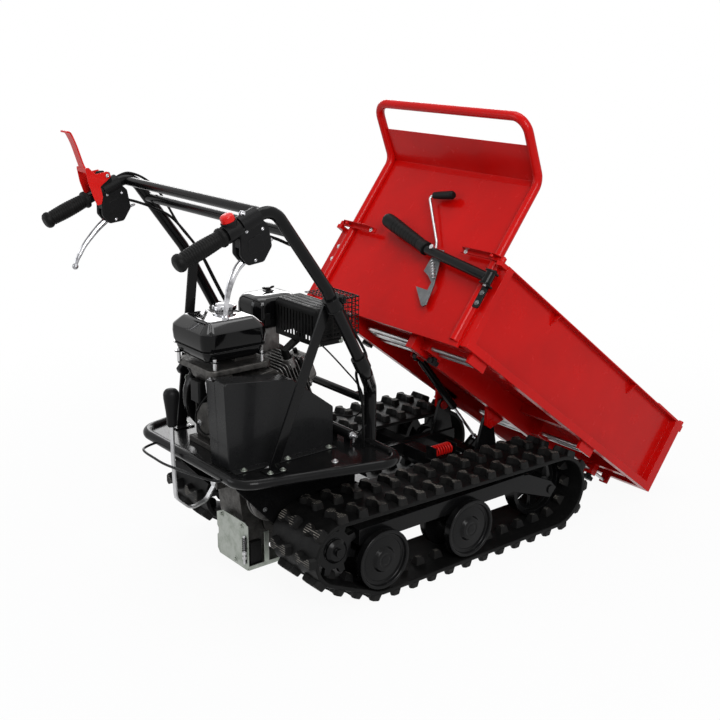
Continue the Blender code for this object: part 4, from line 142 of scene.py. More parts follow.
# platform, its skirts and the rod loop behind it
PLATE_TOP = 0.352
PLATE_THICKNESS = 0.004
HOOP_RADIUS = 0.0125
HOOP_REAR = -0.342
HOOP_FRONT = 0.055
HOOP_REAR_HALF = 0.2248
HOOP_FRONT_HALF = 0.3335
HOOP_BEND = 0.052
SKIRT_Y = 0.1400
REAR_ROD_Z = 0.345
REAR_ROD_RADIUS = 0.0032
REAR_ROD = [(-0.3403, 0.1441), (-0.3803, 0.1331), (-0.3998, 0.1130), (-0.4035, 0.0582), (-0.4000, -0.0147),
            (-0.3661, -0.1469), (-0.3308, -0.1575)]

# posts and handlebar
POST_X = 0.066
POST_Y = 0.176
POST_RADIUS = 0.016
POST_BEND_Z = 0.490
POST_BAR_Z = 0.452
KEEPER_Y = -0.108
KEEPER_END = 0.0925
SOCKET_LENGTH = 0.044
SOCKET_RADIUS = 0.0185
ARM_Y = 0.3026
ARM_RADIUS = 0.0135
ARM_FOOT = (-0.052, 0.580)
ARM_KNEE = (-0.163, 0.789)
ARM_TOP = (-0.300, 0.978)
ARM_END = (-0.518, 0.8895)
ARM_BEND = 0.042
CROSSBAR_RADIUS = 0.011
GRIP_RADIUS = 0.0175
STRUT_FEET = {"left": (-0.250, 0.190), "right": (-0.236, 0.202)}

# controls; a place of two numbers lies in the plane of X and Z
LEVER_PLACE = (-0.358, 0.886)
UPPER_EXIT = (-0.3340, 0.9620)
LOWER_EXIT = (-0.3200, 0.9000)
CLUTCH_PIVOT = (-0.374, 0.984)
STEERING_ROUTES = {
    1: [(-0.358, 0.886), (-0.376, 0.8725), (-0.397, 0.8560), (-0.4150, 0.8385), (-0.4320, 0.8200),
        (-0.4445, 0.8010), (-0.4530, 0.7870), (-0.4586, 0.7719)],
    -1: [(-0.358, 0.886), (-0.3735, 0.8745), (-0.3880, 0.8610), (-0.3990, 0.8430), (-0.4080, 0.8210),
         (-0.4130, 0.8000), (-0.4160, 0.7820), (-0.4178, 0.7650)],
}
GEAR_PIVOT = (-0.250, 0.030, 0.250)
GEAR_PIN_RADIUS = 0.004
GEAR_BEND_Z = 0.254
GEAR_TOP = (-0.366, 0.030, 0.435)

# engine, gearbox and belt drive
CRANK_X = -0.190
CRANK_Z = 0.458
BLOCK_BOTTOM = PLATE_TOP + GAP
CYLINDER_LEAN = math.radians(22)
HEAD_START = (-0.130, 0.462)
HEAD_END = 0.120
EXHAUST_PORT = (0.085, -0.040, 0.066)
CARBURETTOR_FACE = 0.070
AIR_CLEANER_FOOT = 0.609
TANK_LOW = (-0.328, -0.070, 0.584)
TANK_HIGH = (-0.153, 0.098, 0.680)
CAP_PLACE = (-0.208, 0.040)
CAGE_LOW = (-0.030, -0.152, 0.624)
CAGE_HIGH = (0.0475, -0.040, 0.714)
CAGE_WIRE = 0.00115
STARTER_Y = 0.112
STARTER_REACH = 0.101
BELT_PLANE = -0.1245
BELT_HALF_WIDTH = 0.005
ENGINE_PULLEY_RADIUS = 0.034
GEARBOX_PULLEY_RADIUS = 0.062
PULLEY_SHAFT_RADIUS = 0.009
GEARBOX_SHAFT_X = -0.190
GEARBOX_SHAFT_Z = 0.262
GUARD_FACE = -0.146
PLATE_GUARD_X = -0.2405

# box, measured from its lower rear edge along its floor and square to it
BOX_TILT = math.radians(36.9)
BOX_OVERHANG = 0.4511
BOX_LIFT = 0.0665
BOX_LENGTH = 0.9624
BOX_HALF_WIDTH = 0.3265
BOX_HEIGHT = 0.2257
PANEL_DEPTH = 0.0245
SHEET = 0.0025
FLOOR_TOP = 0.030
FLOOR_BOTTOM = 0.0265
LOOP_HALF_WIDTH = 0.2807
LOOP_BEND = 0.4603
LOOP_LEG = 0.1690
LOOP_LEAN = math.radians(57.3)
LOOP_RADIUS = 0.012
LONGERON_INNER = 0.112
LONGERON_OUTER = 0.136
LONGERON_DROP = 0.040
BOX_EAR_INNER = HINGE_EAR_OUTER + 0.001
BOX_EAR_OUTER = BOX_EAR_INNER + 0.010
STRAP_X = -0.0185
STRAP_Z = 0.2250
FRONT_STRAP_X = 0.9705
FRONT_STRAP_Z = 0.2262

# slide rods and their clamp knobs
ROD_RADIUS = 0.005
ROD_DROP = 0.016
ROD_SPREAD = 0.034
ROD_ROWS = (0.058, 0.600)
ROD_ROW_STEP = 0.046
ROD_CROSSING = 0.094
FRONT_ROD_Y = 0.180
FRONT_ROD_DROP = 0.018
FRONT_ROD_REACH = 0.245
KNOB_SCREW_RADIUS = 0.004
KNOB_SCREW_REACH = 0.0065

# gas strut, between the chassis and the box
STRUT_FOOT_X = 0.610
STRUT_FOOT_Z = 0.179
STRUT_HEAD_X = -0.2664
STRUT_HEAD_Z = 0.0501
STRUT_HEAD_PLAY = 0.0045
STRUT_EYE_HALF = 0.008
STRUT_PIN_RADIUS = 0.0045
STRUT_ROD_RADIUS = 0.004
STRUT_TUBE_RADIUS = 0.011
STRUT_ROD_SHOWN = 0.146

# lock on the headboard
LEVER_PIVOT_Y = -0.311
LEVER_PIVOT_Z = 0.173
LEVER_STAND_OFF = 0.030
LEVER_RADIUS = 0.013
LEVER_HEAD_HALF = 0.0148
LEVER_PIN_RADIUS = 0.0045
LEVER_GRIP_START = (-0.073, 0.207)
LEVER_GRIP_END = (0.130, 0.265)
HOOK_PIVOT_Y = -0.095
HOOK_PIVOT_Z = 0.212
HOOK_FACE = -0.015
HOOK_THICKNESS = 0.004

# routes of the control cables; the steering cable is the left one of a mirrored pair
CABLE_RADIUS = 0.0033
STEERING_CABLE = [(-0.3138, 0.300, 0.920), (-0.292, 0.2886, 0.913), (-0.255, 0.2816, 0.897),
                  (-0.205, 0.2806, 0.868), (-0.150, 0.2806, 0.805), (-0.1225, 0.2846, 0.766),
                  (-0.083, 0.2886, 0.690), (-0.040, 0.2906, 0.612), (-0.026, 0.238, 0.562),
                  (0.010, 0.200, 0.510), (0.026, 0.196, 0.455), (0.022, 0.205, 0.400),
                  (0.022, 0.205, PLATE_TOP + GAP)]
CLUTCH_CABLE = [(-0.345, 0.3026, 0.972), (-0.329, 0.3026, 0.980), (-0.307, 0.3000, 0.984),
                (-0.275, 0.2960, 0.972), (-0.244, 0.2900, 0.9467), (-0.2233, 0.2870, 0.9177),
                (-0.190, 0.2735, 0.850), (-0.150, 0.2735, 0.800), (-0.118, 0.2770, 0.755),
                (-0.080, 0.2810, 0.685), (-0.040, 0.2830, 0.612), (-0.024, 0.2320, 0.560),
                (0.012, 0.1920, 0.510), (0.034, 0.1890, 0.455), (0.030, 0.1970, 0.400),
                (0.026, 0.2000, 0.354)]
THROTTLE_CABLE = [(-0.058, -0.122, 0.614), (-0.047, -0.142, 0.600), (-0.012, -0.168, 0.552),
                  (0.030, -0.183, 0.494), (0.034, -0.186, 0.449), (0.024, -0.170, 0.423),
                  (-0.005, -0.125, 0.4185), (-0.040, -0.095, 0.425), (-0.085, -0.080, 0.434),
                  (-0.106, -0.076, 0.436)]

# how finely round pieces are made, and how far their edges are rounded
ROUND = 44
TUBE_SIDES = 28
EDGE = 0.0008

# finishes
COAT_ROUGHNESS = 0.05
PAINT_DUST = (0.06, 0.058, 0.054)
MOULDED_DUST = (0.040, 0.038, 0.035)

# camera, floor and how far the shadow shows on it
CAMERA_AT = (-1.90298, -2.19402, 1.34179)
CAMERA_BACK = Vector((-0.5998, -0.7466, 0.2879))
CAMERA_ROLL = math.radians(0.50)
CAMERA_LENS = 56.49
FLOOR_WHITE = 0.94
SHADOW_REACH = (0.9, 2.4)


def solid(corners, faces):
    """Closed mesh from corners and faces, with its faces turned outwards."""
    mesh = bpy.data.meshes.new("solid")
    mesh.from_pydata([tuple(corner) for corner in corners], [], faces)
    edit = bmesh.new()
    edit.from_mesh(mesh)
    bmesh.ops.recalc_face_normals(edit, faces=edit.faces)
    edit.to_mesh(mesh)
    edit.free()
    return mesh


def along(axis, first, second, distance):
    """Point with two plane coordinates and a distance along the named axis."""
    if axis == "x":
        return Vector((distance, first, second))
    if axis == "y":
        return Vector((first, distance, second))
    return Vector((first, second, distance))


def prism(outline, axis, start, end):
    """Outline in the plane square to the axis, extruded from start to end."""
    count = len(outline)
    corners = [along(axis, a, b, start) for a, b in outline]
    corners += [along(axis, a, b, end) for a, b in outline]
    faces = [list(range(count)), list(range(2 * count - 1, count - 1, -1))]
    for i in range(count):
        j = (i + 1) % count
        faces.append([i, j, count + j, count + i])
    return solid(corners, faces)


def block(low, high):
    """Box between two corners given in any order."""
    outline = [(low[0], low[1]), (high[0], low[1]), (high[0], high[1]), (low[0], high[1])]
    return prism(outline, "z", low[2], high[2])


def turned(profile, axis, centre, segments=ROUND):
    """Profile of (radius, distance) turned round an axis through the centre."""
    corners = []
    rings = []
    for radius, distance in profile:
        if radius < 1e-7:
            rings.append([len(corners)])
            corners.append(along(axis, centre[0], centre[1], distance))
            continue
        rings.append(list(range(len(corners), len(corners) + segments)))
        for i in range(segments):
            angle = 2 * math.pi * i / segments
            a = centre[0] + radius * math.cos(angle)
            b = centre[1] + radius * math.sin(angle)
            corners.append(along(axis, a, b, distance))
    faces = []
    for one, two in zip(rings, rings[1:]):
        for i in range(segments):
            j = (i + 1) % segments
            if len(one) == 1:
                faces.append([one[0], two[j], two[i]])
            elif len(two) == 1:
                faces.append([one[i], one[j], two[0]])
            else:
                faces.append([one[i], one[j], two[j], two[i]])
    return solid(corners, faces)


def cylinder(axis, centre, radius, start, end, segments=ROUND):
    """Round bar along an axis."""
    return turned([(0, start), (radius, start), (radius, end), (0, end)], axis, centre, segments)


def bore_radius(shaft_radius, segments, clearance=TURNING_GAP):
    """Corner radius of a faceted hole whose flats clear a shaft."""
    return (shaft_radius + clearance) / math.cos(math.pi / segments)


def rounded(points, radius, steps, closed=False):
    """Route through the points with a fine arc in place of each corner."""
    steps *= 3
    points = [Vector(point) for point in points]
    count = len(points)
    route = []
    for i, corner in enumerate(points):
        if not closed and i in (0, count - 1):
            route.append(corner)
            continue
        back = (points[i - 1] - corner).normalized()
        ahead = (points[(i + 1) % count] - corner).normalized()
        half = back.angle(ahead) / 2
        reach = radius / math.tan(half)
        middle = corner + (back + ahead).normalized() * (radius / math.sin(half))
        start = corner + back * reach - middle
        turn = math.pi - 2 * half
        axis = back.cross(ahead).normalized()
        for k in range(steps + 1):
            route.append(middle + Matrix.Rotation(-turn * k / steps, 3, axis) @ start)
    return route


def smooth_route(points, steps):
    """Points read from a smooth curve through the given ones."""
    points = [Vector(point) for point in points]
    ends = [points[0] * 2 - points[1]] + points + [points[-1] * 2 - points[-2]]
    route = []
    for i in range(1, len(ends) - 2):
        a, b, c, d = ends[i - 1:i + 3]
        for k in range(steps):
            t = k / steps
            route.append(0.5 * (2 * b + (c - a) * t + (2 * a - 5 * b + 4 * c - d) * t * t
                                + (3 * b - a - 3 * c + d) * t * t * t))
    route.append(points[-1])
    return route


def circle(radius, sides=TUBE_SIDES):
    """Corners of a round section."""
    angles = [2 * math.pi * i / sides for i in range(sides)]
    return [(radius * math.cos(angle), radius * math.sin(angle)) for angle in angles]


def sweep(route, section, side=None, closed=False, ends=None):
    """Section carried along a route; side fixes the direction of the section's first axis."""
    route = [Vector(point) for point in route]
    count = len(route)
    tangents = []
    for i in range(count):
        before = route[i - 1] if (closed or i > 0) else route[i]
        after = route[(i + 1) % count] if (closed or i < count - 1) else route[i]
        incoming = (route[i] - before).normalized()
        outgoing = (after - route[i]).normalized()
        tangents.append((incoming + outgoing).normalized())
    if side is None:
        first = tangents[0].orthogonal().normalized()
    else:
        first = Vector(side).normalized()
    corners = []
    for i, (point, tangent) in enumerate(zip(route, tangents)):
        if side is not None:
            first = Vector(side)
        first = (first - tangent * first.dot(tangent)).normalized()
        second = tangent.cross(first)
        scale = ends[i] if ends else 1.0
        corners += [point + (first * a + second * b) * scale for a, b in section]
    sides = len(section)
    faces = []
    for i in range(count if closed else count - 1):
        j = (i + 1) % count
        for k in range(sides):
            m = (k + 1) % sides
            faces.append([i * sides + k, i * sides + m, j * sides + m, j * sides + k])
    if not closed:
        faces.append(list(range(sides)))
        faces.append(list(range(count * sides - 1, (count - 1) * sides - 1, -1)))
    return solid(corners, faces)


def tube(points, radius, bend=0.0, steps=4, closed=False):
    """Round bar through the points, with bends of one radius."""
    route = rounded(points, bend, steps, closed) if bend else points
    return sweep(route, circle(radius), closed=closed)


def flat_bar(points, width, thickness, side):
    """Flat bar through the points, its width along side."""
    section = [(-width / 2, -thickness / 2), (width / 2, -thickness / 2), (width / 2, thickness / 2),
               (-width / 2, thickness / 2)]
    return sweep(points, section, side=side)


def moved(mesh, matrix):
    """Mesh turned and moved by a matrix."""
    mesh.transform(matrix)
    return mesh


def soften(mesh):
    """Rounds the sharp edges of a solid once."""
    if mesh.get("soft"):
        return mesh
    edit = bmesh.new()
    edit.from_mesh(mesh)
    bmesh.ops.remove_doubles(edit, verts=edit.verts, dist=2e-6)
    bmesh.ops.dissolve_limit(edit, angle_limit=math.radians(0.4), verts=edit.verts, edges=edit.edges)
    sharp = [e for e in edit.edges if len(e.link_faces) == 2 and e.calc_face_angle() > math.radians(29)]
    if sharp:
        bmesh.ops.bevel(edit, geom=sharp, offset=EDGE, offset_type="OFFSET", segments=2, profile=0.5,
                        affect="EDGES", clamp_overlap=True)
    edit.to_mesh(mesh)
    edit.free()
    mesh["soft"] = True
    return mesh


def cut(mesh, cutters):
    """Solid less its cutters."""
    collection = bpy.context.scene.collection
    base = bpy.data.objects.new("base", mesh)
    collection.objects.link(base)
    tools = []
    for cutter in cutters:
        tool = bpy.data.objects.new("tool", cutter)
        collection.objects.link(tool)
        tools.append(tool)
        step = base.modifiers.new("cut", "BOOLEAN")
        step.operation = "DIFFERENCE"
        step.solver = "EXACT"
        step.object = tool
    depsgraph = bpy.context.evaluated_depsgraph_get()
    result = bpy.data.meshes.new_from_object(base.evaluated_get(depsgraph))
    for obj in [base] + tools:
        bpy.data.objects.remove(obj, do_unlink=True)
    return result


def unite(solids):
    """One mesh from several solids with rounded edges, each with its own finish."""
    joined = bmesh.new()
    materials = []
    for mesh in solids:
        before = len(joined.faces)
        joined.from_mesh(soften(mesh))
        joined.faces.ensure_lookup_table()
        own = list(mesh.materials) or [None]
        for material in own:
            if material not in materials:
                materials.append(material)
        for face in joined.faces[before:]:
            face.material_index = materials.index(own[min(face.material_index, len(own) - 1)])
    result = bpy.data.meshes.new("joined")
    joined.to_mesh(result)
    joined.free()
    for material in materials:
        result.materials.append(material)
    result["soft"] = True
    return result


def clad(mesh, finish):
    """Solid with a finish of its own inside a piece."""
    mesh.materials.clear()
    mesh.materials.append(FINISH[finish])
    return mesh


def stood(mesh, place, line):
    """Solid made along +Z, set at a place along a line."""
    turn = Vector((0, 0, 1)).rotation_difference(Vector(line)).to_matrix().to_4x4()
    return moved(mesh, Matrix.Translation(Vector(place)) @ turn)


def bolt(place, normal, size, finish="galvanised"):
    """Hex head on its washer, with the end of its thread."""
    washer = cylinder("z", (0, 0), size * 1.75, -0.0006, size * 0.28)
    rows = [(0, size * 0.2), (size * 1.12, size * 0.2), (size * 1.12, size * 0.86), (size * 0.92, size),
            (0, size)]
    head = turned(rows, "z", (0, 0), 6)
    stud = cylinder("z", (0, 0), size * 0.55, size * 0.9, size * 1.30)
    return stood(clad(unite([washer, head, stud]), finish), place, normal)


def screw(place, normal, size):
    """Round chromed screw head with a small dimple."""
    rows = [(0, size * 0.30), (size * 0.30, size * 0.32), (size * 0.42, size * 0.62),
            (size * 0.80, size * 0.48), (size, size * 0.12), (size, -0.0006), (0, -0.0006)]
    return stood(clad(turned(rows, "z", (0, 0)), "chrome"), place, normal)


def cushion(outline, axis, start, end, edge):
    """Outline extruded along an axis, with both rims rounded."""
    centre_a = sum(a for a, _ in outline) / len(outline)
    centre_b = sum(b for _, b in outline) / len(outline)
    sign = 1 if end > start else -1
    steps = 5
    levels = []
    for k in range(steps + 1):
        turn = math.pi / 2 * k / steps
        levels.append((start + sign * edge * (1 - math.sin(turn)), edge * (1 - math.cos(turn))))
    levels.reverse()
    levels += [(start + end - distance, inset) for distance, inset in reversed(levels)]
    corners = []
    for distance, inset in levels:
        for a, b in outline:
            reach = math.hypot(a - centre_a, b - centre_b)
            share = (reach - inset) / reach
            a_in = centre_a + (a - centre_a) * share
            b_in = centre_b + (b - centre_b) * share
            corners.append(along(axis, a_in, b_in, distance))
    count = len(outline)
    faces = [list(range(count)), list(range(len(corners) - 1, len(corners) - count - 1, -1))]
    for ring in range(len(levels) - 1):
        for i in range(count):
            j = (i + 1) % count
            base = ring * count
            faces.append([base + i, base + j, base + count + j, base + count + i])
    return solid(corners, faces)


def smooth_outline(outline, radius, steps=2):
    """Outline in a plane with its corners rounded."""
    return [(p.x, p.y) for p in rounded([(a, b, 0) for a, b in outline], radius, steps, closed=True)]


class Tree:
    """Node tree of one material, with short calls for the nodes that the finishes share."""

    def __init__(self, name):
        self.material = bpy.data.materials.new(name)
        self.material.use_nodes = True
        self.nodes = self.material.node_tree.nodes
        self.links = self.material.node_tree.links
        self.shader = self.nodes["Principled BSDF"]

    def node(self, kind, **inputs):
        """New node with its inputs linked or set."""
        made = self.nodes.new(kind)
        for key, value in inputs.items():
            self.feed(made.inputs[key.replace("_", " ")], value)
        return made

    def feed(self, socket, value):
        """Links an output to a socket, or sets the socket to a value."""
        if isinstance(value, bpy.types.NodeSocket):
            self.links.new(value, socket)
        elif isinstance(value, tuple) and len(value) == 3 and socket.type == "RGBA":
            socket.default_value = (*value, 1.0)
        else:
            socket.default_value = value

    def place(self):
        """Place in the piece's own space."""
        return self.node("ShaderNodeTexCoord").outputs["Object"]

    def noise(self, scale, detail=3.0, roughness=0.5):
        """Even noise in the piece's own space."""
        made = self.node("ShaderNodeTexNoise", Vector=self.place(), Scale=scale, Detail=detail,
                         Roughness=roughness)
        return made.outputs["Fac"]

    def spread(self, value, low, high, start=0.0, end=1.0):
        """Value mapped from low..high to start..end, clamped."""
        made = self.node("ShaderNodeMapRange")
        for socket, number in zip(made.inputs[:5], (value, low, high, start, end)):
            self.feed(socket, number)
        return made.outputs["Result"]

    def calc(self, operation, first, second):
        """Result of one operation on two values."""
        made = self.nodes.new("ShaderNodeMath")
        made.operation = operation
        self.feed(made.inputs[0], first)
        self.feed(made.inputs[1], second)
        return made.outputs[0]

    def mix(self, share, first, second):
        """Colour between two, by a share."""
        made = self.nodes.new("ShaderNodeMix")
        made.data_type = "RGBA"
        self.feed(made.inputs["Factor"], share)
        self.feed(made.inputs[6], first)
        self.feed(made.inputs[7], second)
        return made.outputs[2]

    def edges(self, radius=0.0015):
        """Share that is high on rounded edges and zero on flats."""
        bevel = self.nodes.new("ShaderNodeBevel")
        bevel.samples = 4
        bevel.inputs["Radius"].default_value = radius
        normal = self.nodes.new("ShaderNodeNewGeometry").outputs["Normal"]
        product = self.nodes.new("ShaderNodeVectorMath")
        product.operation = "DOT_PRODUCT"
        self.links.new(bevel.outputs["Normal"], product.inputs[0])
        self.links.new(normal, product.inputs[1])
        return self.spread(product.outputs["Value"], 0.99, 0.86)

    def upward(self):
        """Share that is high on faces turned up."""
        normal = self.nodes.new("ShaderNodeNewGeometry").outputs["Normal"]
        parts = self.nodes.new("ShaderNodeSeparateXYZ")
        self.links.new(normal, parts.inputs[0])
        return self.spread(parts.outputs["Z"], 0.2, 0.95)

    def bump(self, height, strength, distance):
        """Fine relief on the whole surface."""
        made = self.node("ShaderNodeBump", Height=height, Strength=strength, Distance=distance)
        self.links.new(made.outputs["Normal"], self.shader.inputs["Normal"])

    def finish(self, colour, roughness, metallic=0.0, coat=0.0, specular=0.5):
        """Sets the shader and gives the material."""
        self.feed(self.shader.inputs["Base Color"], colour)
        self.feed(self.shader.inputs["Roughness"], roughness)
        self.shader.inputs["Metallic"].default_value = metallic
        self.shader.inputs["Coat Weight"].default_value = coat
        self.shader.inputs["Coat Roughness"].default_value = COAT_ROUGHNESS
        self.shader.inputs["Specular IOR Level"].default_value = specular
        return self.material


def paint(name, colour, worn, roughness, coat, peel=0.05, wear=0.25, dust=0.0, specular=0.15, polished=0.0):
    """Sprayed paint: slight orange peel, uneven gloss, worn edges and a little dust."""
    tree = Tree(name)
    patch = tree.noise(7.0, 4.0, 0.6)
    darker = tuple(c * 0.82 for c in colour)
    body = tree.mix(tree.spread(patch, 0.3, 0.7), darker, colour)
    scratched = tree.calc("MULTIPLY", tree.edges(), tree.spread(tree.noise(90.0, 4.0), 0.42, 0.66))
    body = tree.mix(tree.calc("MULTIPLY", scratched, wear), body, worn)
    if dust:
        settled = tree.calc("MULTIPLY", tree.upward(), tree.spread(tree.noise(18.0, 6.0, 0.7), 0.40, 0.75))
        body = tree.mix(tree.calc("MULTIPLY", settled, dust), body, PAINT_DUST)
    gloss = tree.spread(tree.noise(28.0, 5.0, 0.65), 0.25, 0.75, roughness * 0.80, roughness * 1.25)
    tree.bump(tree.noise(520.0, 2.0), peel, 0.0006)
    tree.finish(body, gloss, coat=coat, specular=specular)
    if polished:
        tree.feed(tree.shader.inputs["Coat Weight"], tree.spread(tree.upward(), 0.0, 1.0, coat, polished))
    return tree.material


def metal(name, colour, stained, roughness, grain_scale, bump, stain_scale, wear_colour=None):
    """Bare or plated metal with stains, uneven gloss and a fine grain."""
    tree = Tree(name)
    stains = tree.spread(tree.noise(stain_scale, 6.0, 0.7), 0.42, 0.72)
    body = tree.mix(stains, colour, stained)
    if wear_colour:
        body = tree.mix(tree.calc("MULTIPLY", tree.edges(), 0.6), body, wear_colour)
    gloss = tree.spread(tree.noise(stain_scale * 2.2, 5.0, 0.6), 0.3, 0.7, roughness * 0.75, roughness * 1.35)
    tree.bump(tree.noise(grain_scale, 4.0, 0.6), bump, 0.0008)
    return tree.finish(body, gloss, metallic=1.0)


def moulded(name, colour, worn, roughness, grain, wear, dust):
    """Moulded rubber or plastic with a fine grain, greyed edges and dust in patches."""
    tree = Tree(name)
    darker = tuple(c * 0.75 for c in colour)
    body = tree.mix(tree.spread(tree.noise(11.0, 5.0, 0.6), 0.3, 0.7), darker, colour)
    greyed = tree.calc("MULTIPLY", tree.edges(0.002), tree.spread(tree.noise(60.0, 4.0), 0.35, 0.65))
    body = tree.mix(tree.calc("MULTIPLY", greyed, wear), body, worn)
    settled = tree.spread(tree.noise(22.0, 8.0, 0.75), 0.50, 0.80)
    body = tree.mix(tree.calc("MULTIPLY", settled, dust), body, MOULDED_DUST)
    gloss = tree.spread(tree.noise(35.0, 5.0, 0.65), 0.25, 0.75, roughness * 0.85, roughness * 1.15)
    tree.bump(tree.noise(900.0, 3.0, 0.6), grain, 0.0006)
    return tree.finish(body, gloss, specular=0.09)


def tread(name):
    """Rubber of the lugs: fine pale grooves across each lug's top, from the mesh's own map."""
    tree = Tree(name)
    colour = (0.0036, 0.0036, 0.0036)
    parts = tree.nodes.new("ShaderNodeSeparateXYZ")
    tree.links.new(tree.nodes.new("ShaderNodeUVMap").outputs["UV"], parts.inputs[0])
    wave = tree.calc("PINGPONG", parts.outputs["X"], 0.0021)
    line = tree.spread(wave, 0.00035, 0.00070, 1.0, 0.0)
    top = tree.spread(parts.outputs["Y"], 0.5, 0.6)
    line = tree.calc("MULTIPLY", line, top)
    broken = tree.spread(tree.noise(46.0, 4.0), 0.36, 0.56)
    patch = tree.spread(tree.noise(20.0, 6.0, 0.7), 0.45, 0.85, 0.0, 0.5)
    body = tree.mix(patch, colour, (0.022, 0.020, 0.018))
    body = tree.mix(tree.calc("MULTIPLY", top, 0.25), body, (0.014, 0.014, 0.014))
    worn_line = tree.calc("MULTIPLY", line, tree.calc("MULTIPLY", broken, 0.90))
    body = tree.mix(worn_line, body, (0.25, 0.23, 0.20))
    tree.bump(tree.calc("ADD", tree.noise(700.0, 3.0), tree.calc("MULTIPLY", line, -2.5)), 0.35, 0.0008)
    return tree.finish(body, tree.spread(tree.noise(30.0), 0.3, 0.7, 0.50, 0.72), specular=0.12)


FINISH = {
    "red_paint": paint("red_paint", (0.470, 0.0030, 0.0022), (0.30, 0.01, 0.01), 0.24, 0.05, wear=0.25,
                       dust=0.004, specular=0.09),
    "black_paint": paint("black_paint", (0.0040, 0.0040, 0.0042), (0.045, 0.045, 0.045), 0.20, 0.06,
                         dust=0.05, specular=0.09),
    "black_gloss": paint("black_gloss", (0.0022, 0.0022, 0.0024), (0.02, 0.02, 0.02), 0.10, 0.20, 0.02, 0.10,
                         specular=0.06, polished=1.0),
    "black_matt": paint("black_matt", (0.0036, 0.0036, 0.0036), (0.05, 0.047, 0.043), 0.42, 0.0, 0.20, 0.5,
                        0.10, specular=0.08),
    "black_plastic": moulded("black_plastic", (0.0055, 0.0055, 0.0058), (0.03, 0.03, 0.03), 0.40, 0.10, 0.4,
                             0.10),
    "red_plastic": paint("red_plastic", (0.56, 0.008, 0.006), (0.52, 0.06, 0.05), 0.32, 0.10, wear=0.3),
    "rubber": moulded("rubber", (0.0034, 0.0034, 0.0034), (0.020, 0.019, 0.018), 0.50, 0.20, 0.5, 0.12),
    "wheel_paint": paint("wheel_paint", (0.0036, 0.0036, 0.0038), (0.075, 0.075, 0.075), 0.22, 0.05, wear=0.7,
                         dust=0.05, specular=0.09),
    "galvanised": metal("galvanised", (0.34, 0.36, 0.33), (0.20, 0.225, 0.19), 0.42, 260.0, 0.12, 30.0),
    "zinc": metal("zinc", (0.52, 0.52, 0.53), (0.38, 0.38, 0.38), 0.34, 300.0, 0.05, 26.0),
    "chrome": metal("chrome", (0.56, 0.56, 0.58), (0.10, 0.10, 0.105), 0.10, 400.0, 0.03, 38.0),
    "steel": metal("steel", (0.15, 0.155, 0.16), (0.085, 0.088, 0.09), 0.42, 300.0, 0.10, 40.0,
                   (0.34, 0.34, 0.34)),
    "cast_aluminium": metal("cast_aluminium", (0.21, 0.205, 0.20), (0.085, 0.083, 0.08), 0.46, 420.0, 0.45,
                            34.0, (0.36, 0.36, 0.36)),
    "cast_dark": metal("cast_dark", (0.075, 0.072, 0.068), (0.030, 0.029, 0.028), 0.50, 420.0, 0.45, 44.0,
                       (0.20, 0.19, 0.18)),
    "grey_paint": paint("grey_paint", (0.0085, 0.0086, 0.0090), (0.07, 0.07, 0.07), 0.28, 0.06, wear=0.4,
                        dust=0.06, specular=0.12),
}
TREAD = tread("tread")

MACHINE = Matrix.Translation((REAR_ROLLER_X, 0, 0))
BOX = MACHINE @ Matrix.Translation((HINGE_X, 0, HINGE_Z)) @ Matrix.Rotation(BOX_TILT, 4, "Y")


def add(name, mesh, finish, place, body, *nodes):
    """Piece set in its place, which rides on a body and may stand for CAD nodes."""
    soften(mesh)
    mesh.transform(place)
    mesh.shade_smooth()
    if not mesh.materials:
        mesh.materials.append(FINISH[finish])
    for i, material in enumerate(mesh.materials):
        if material is None:
            mesh.materials[i] = FINISH[finish]
    mesh.name = name
    obj = bpy.data.objects.new(name, mesh)
    bpy.context.scene.collection.objects.link(obj)
    obj.modifiers.new("normals", "WEIGHTED_NORMAL")
    if nodes:
        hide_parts(*nodes)
    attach(obj, body)
    return obj


def piece(name, mesh, finish, place):
    """Full form of one CAD node, on the node's own body."""
    return add(name + "_full", mesh, finish, place, body_of(frame["nodes"][name])[0], name)


def belt_wheels(idler_x):
    """Wheels in the order in which the lower run meets them, as (x, z, radius of the neutral line)."""
    return [
        (SPROCKET_X, SPROCKET_Z, SPROCKET_SEAT + NEUTRAL),
        (0.0, ROLLER_Z, ROLLER_SEAT + NEUTRAL),
        (ROLLER_SPACING, ROLLER_Z, ROLLER_SEAT + NEUTRAL),
        (idler_x, IDLER_Z, IDLER_SEAT + NEUTRAL),
    ]


def belt_stretches(idler_x):
    """Runs and arcs of the neutral line, with the outward directions at their ends."""
    wheels = belt_wheels(idler_x)
    normals = []
    for i, (x, z, radius) in enumerate(wheels):
        next_x, next_z, next_radius = wheels[(i + 1) % len(wheels)]
        distance = math.hypot(next_x - x, next_z - z)
        u = ((next_x - x) / distance, (next_z - z) / distance)
        share = (radius - next_radius) / distance
        rest = math.sqrt(1 - share * share)
        normals.append((share * u[0] + rest * u[1], share * u[1] - rest * u[0]))
    stretches = []
    for i, (x, z, radius) in enumerate(wheels):
        arrive = normals[i - 1]
        leave = normals[i]
        start = math.atan2(arrive[1], arrive[0])
        turn = (math.atan2(leave[1], leave[0]) - start) % (2 * math.pi)
        stretches.append(("arc", (x, z), radius, start, turn, radius * turn))
        next_x, next_z, next_radius = wheels[(i + 1) % len(wheels)]
        begin = (x + radius * leave[0], z + radius * leave[1])
        end = (next_x + next_radius * leave[0], next_z + next_radius * leave[1])
        length = math.hypot(end[0] - begin[0], end[1] - begin[1])
        stretches.append(("run", begin, end, leave, 0.0, length))
    return stretches


def belt_length(idler_x):
    """Length of the neutral line."""
    return sum(stretch[5] for stretch in belt_stretches(idler_x))


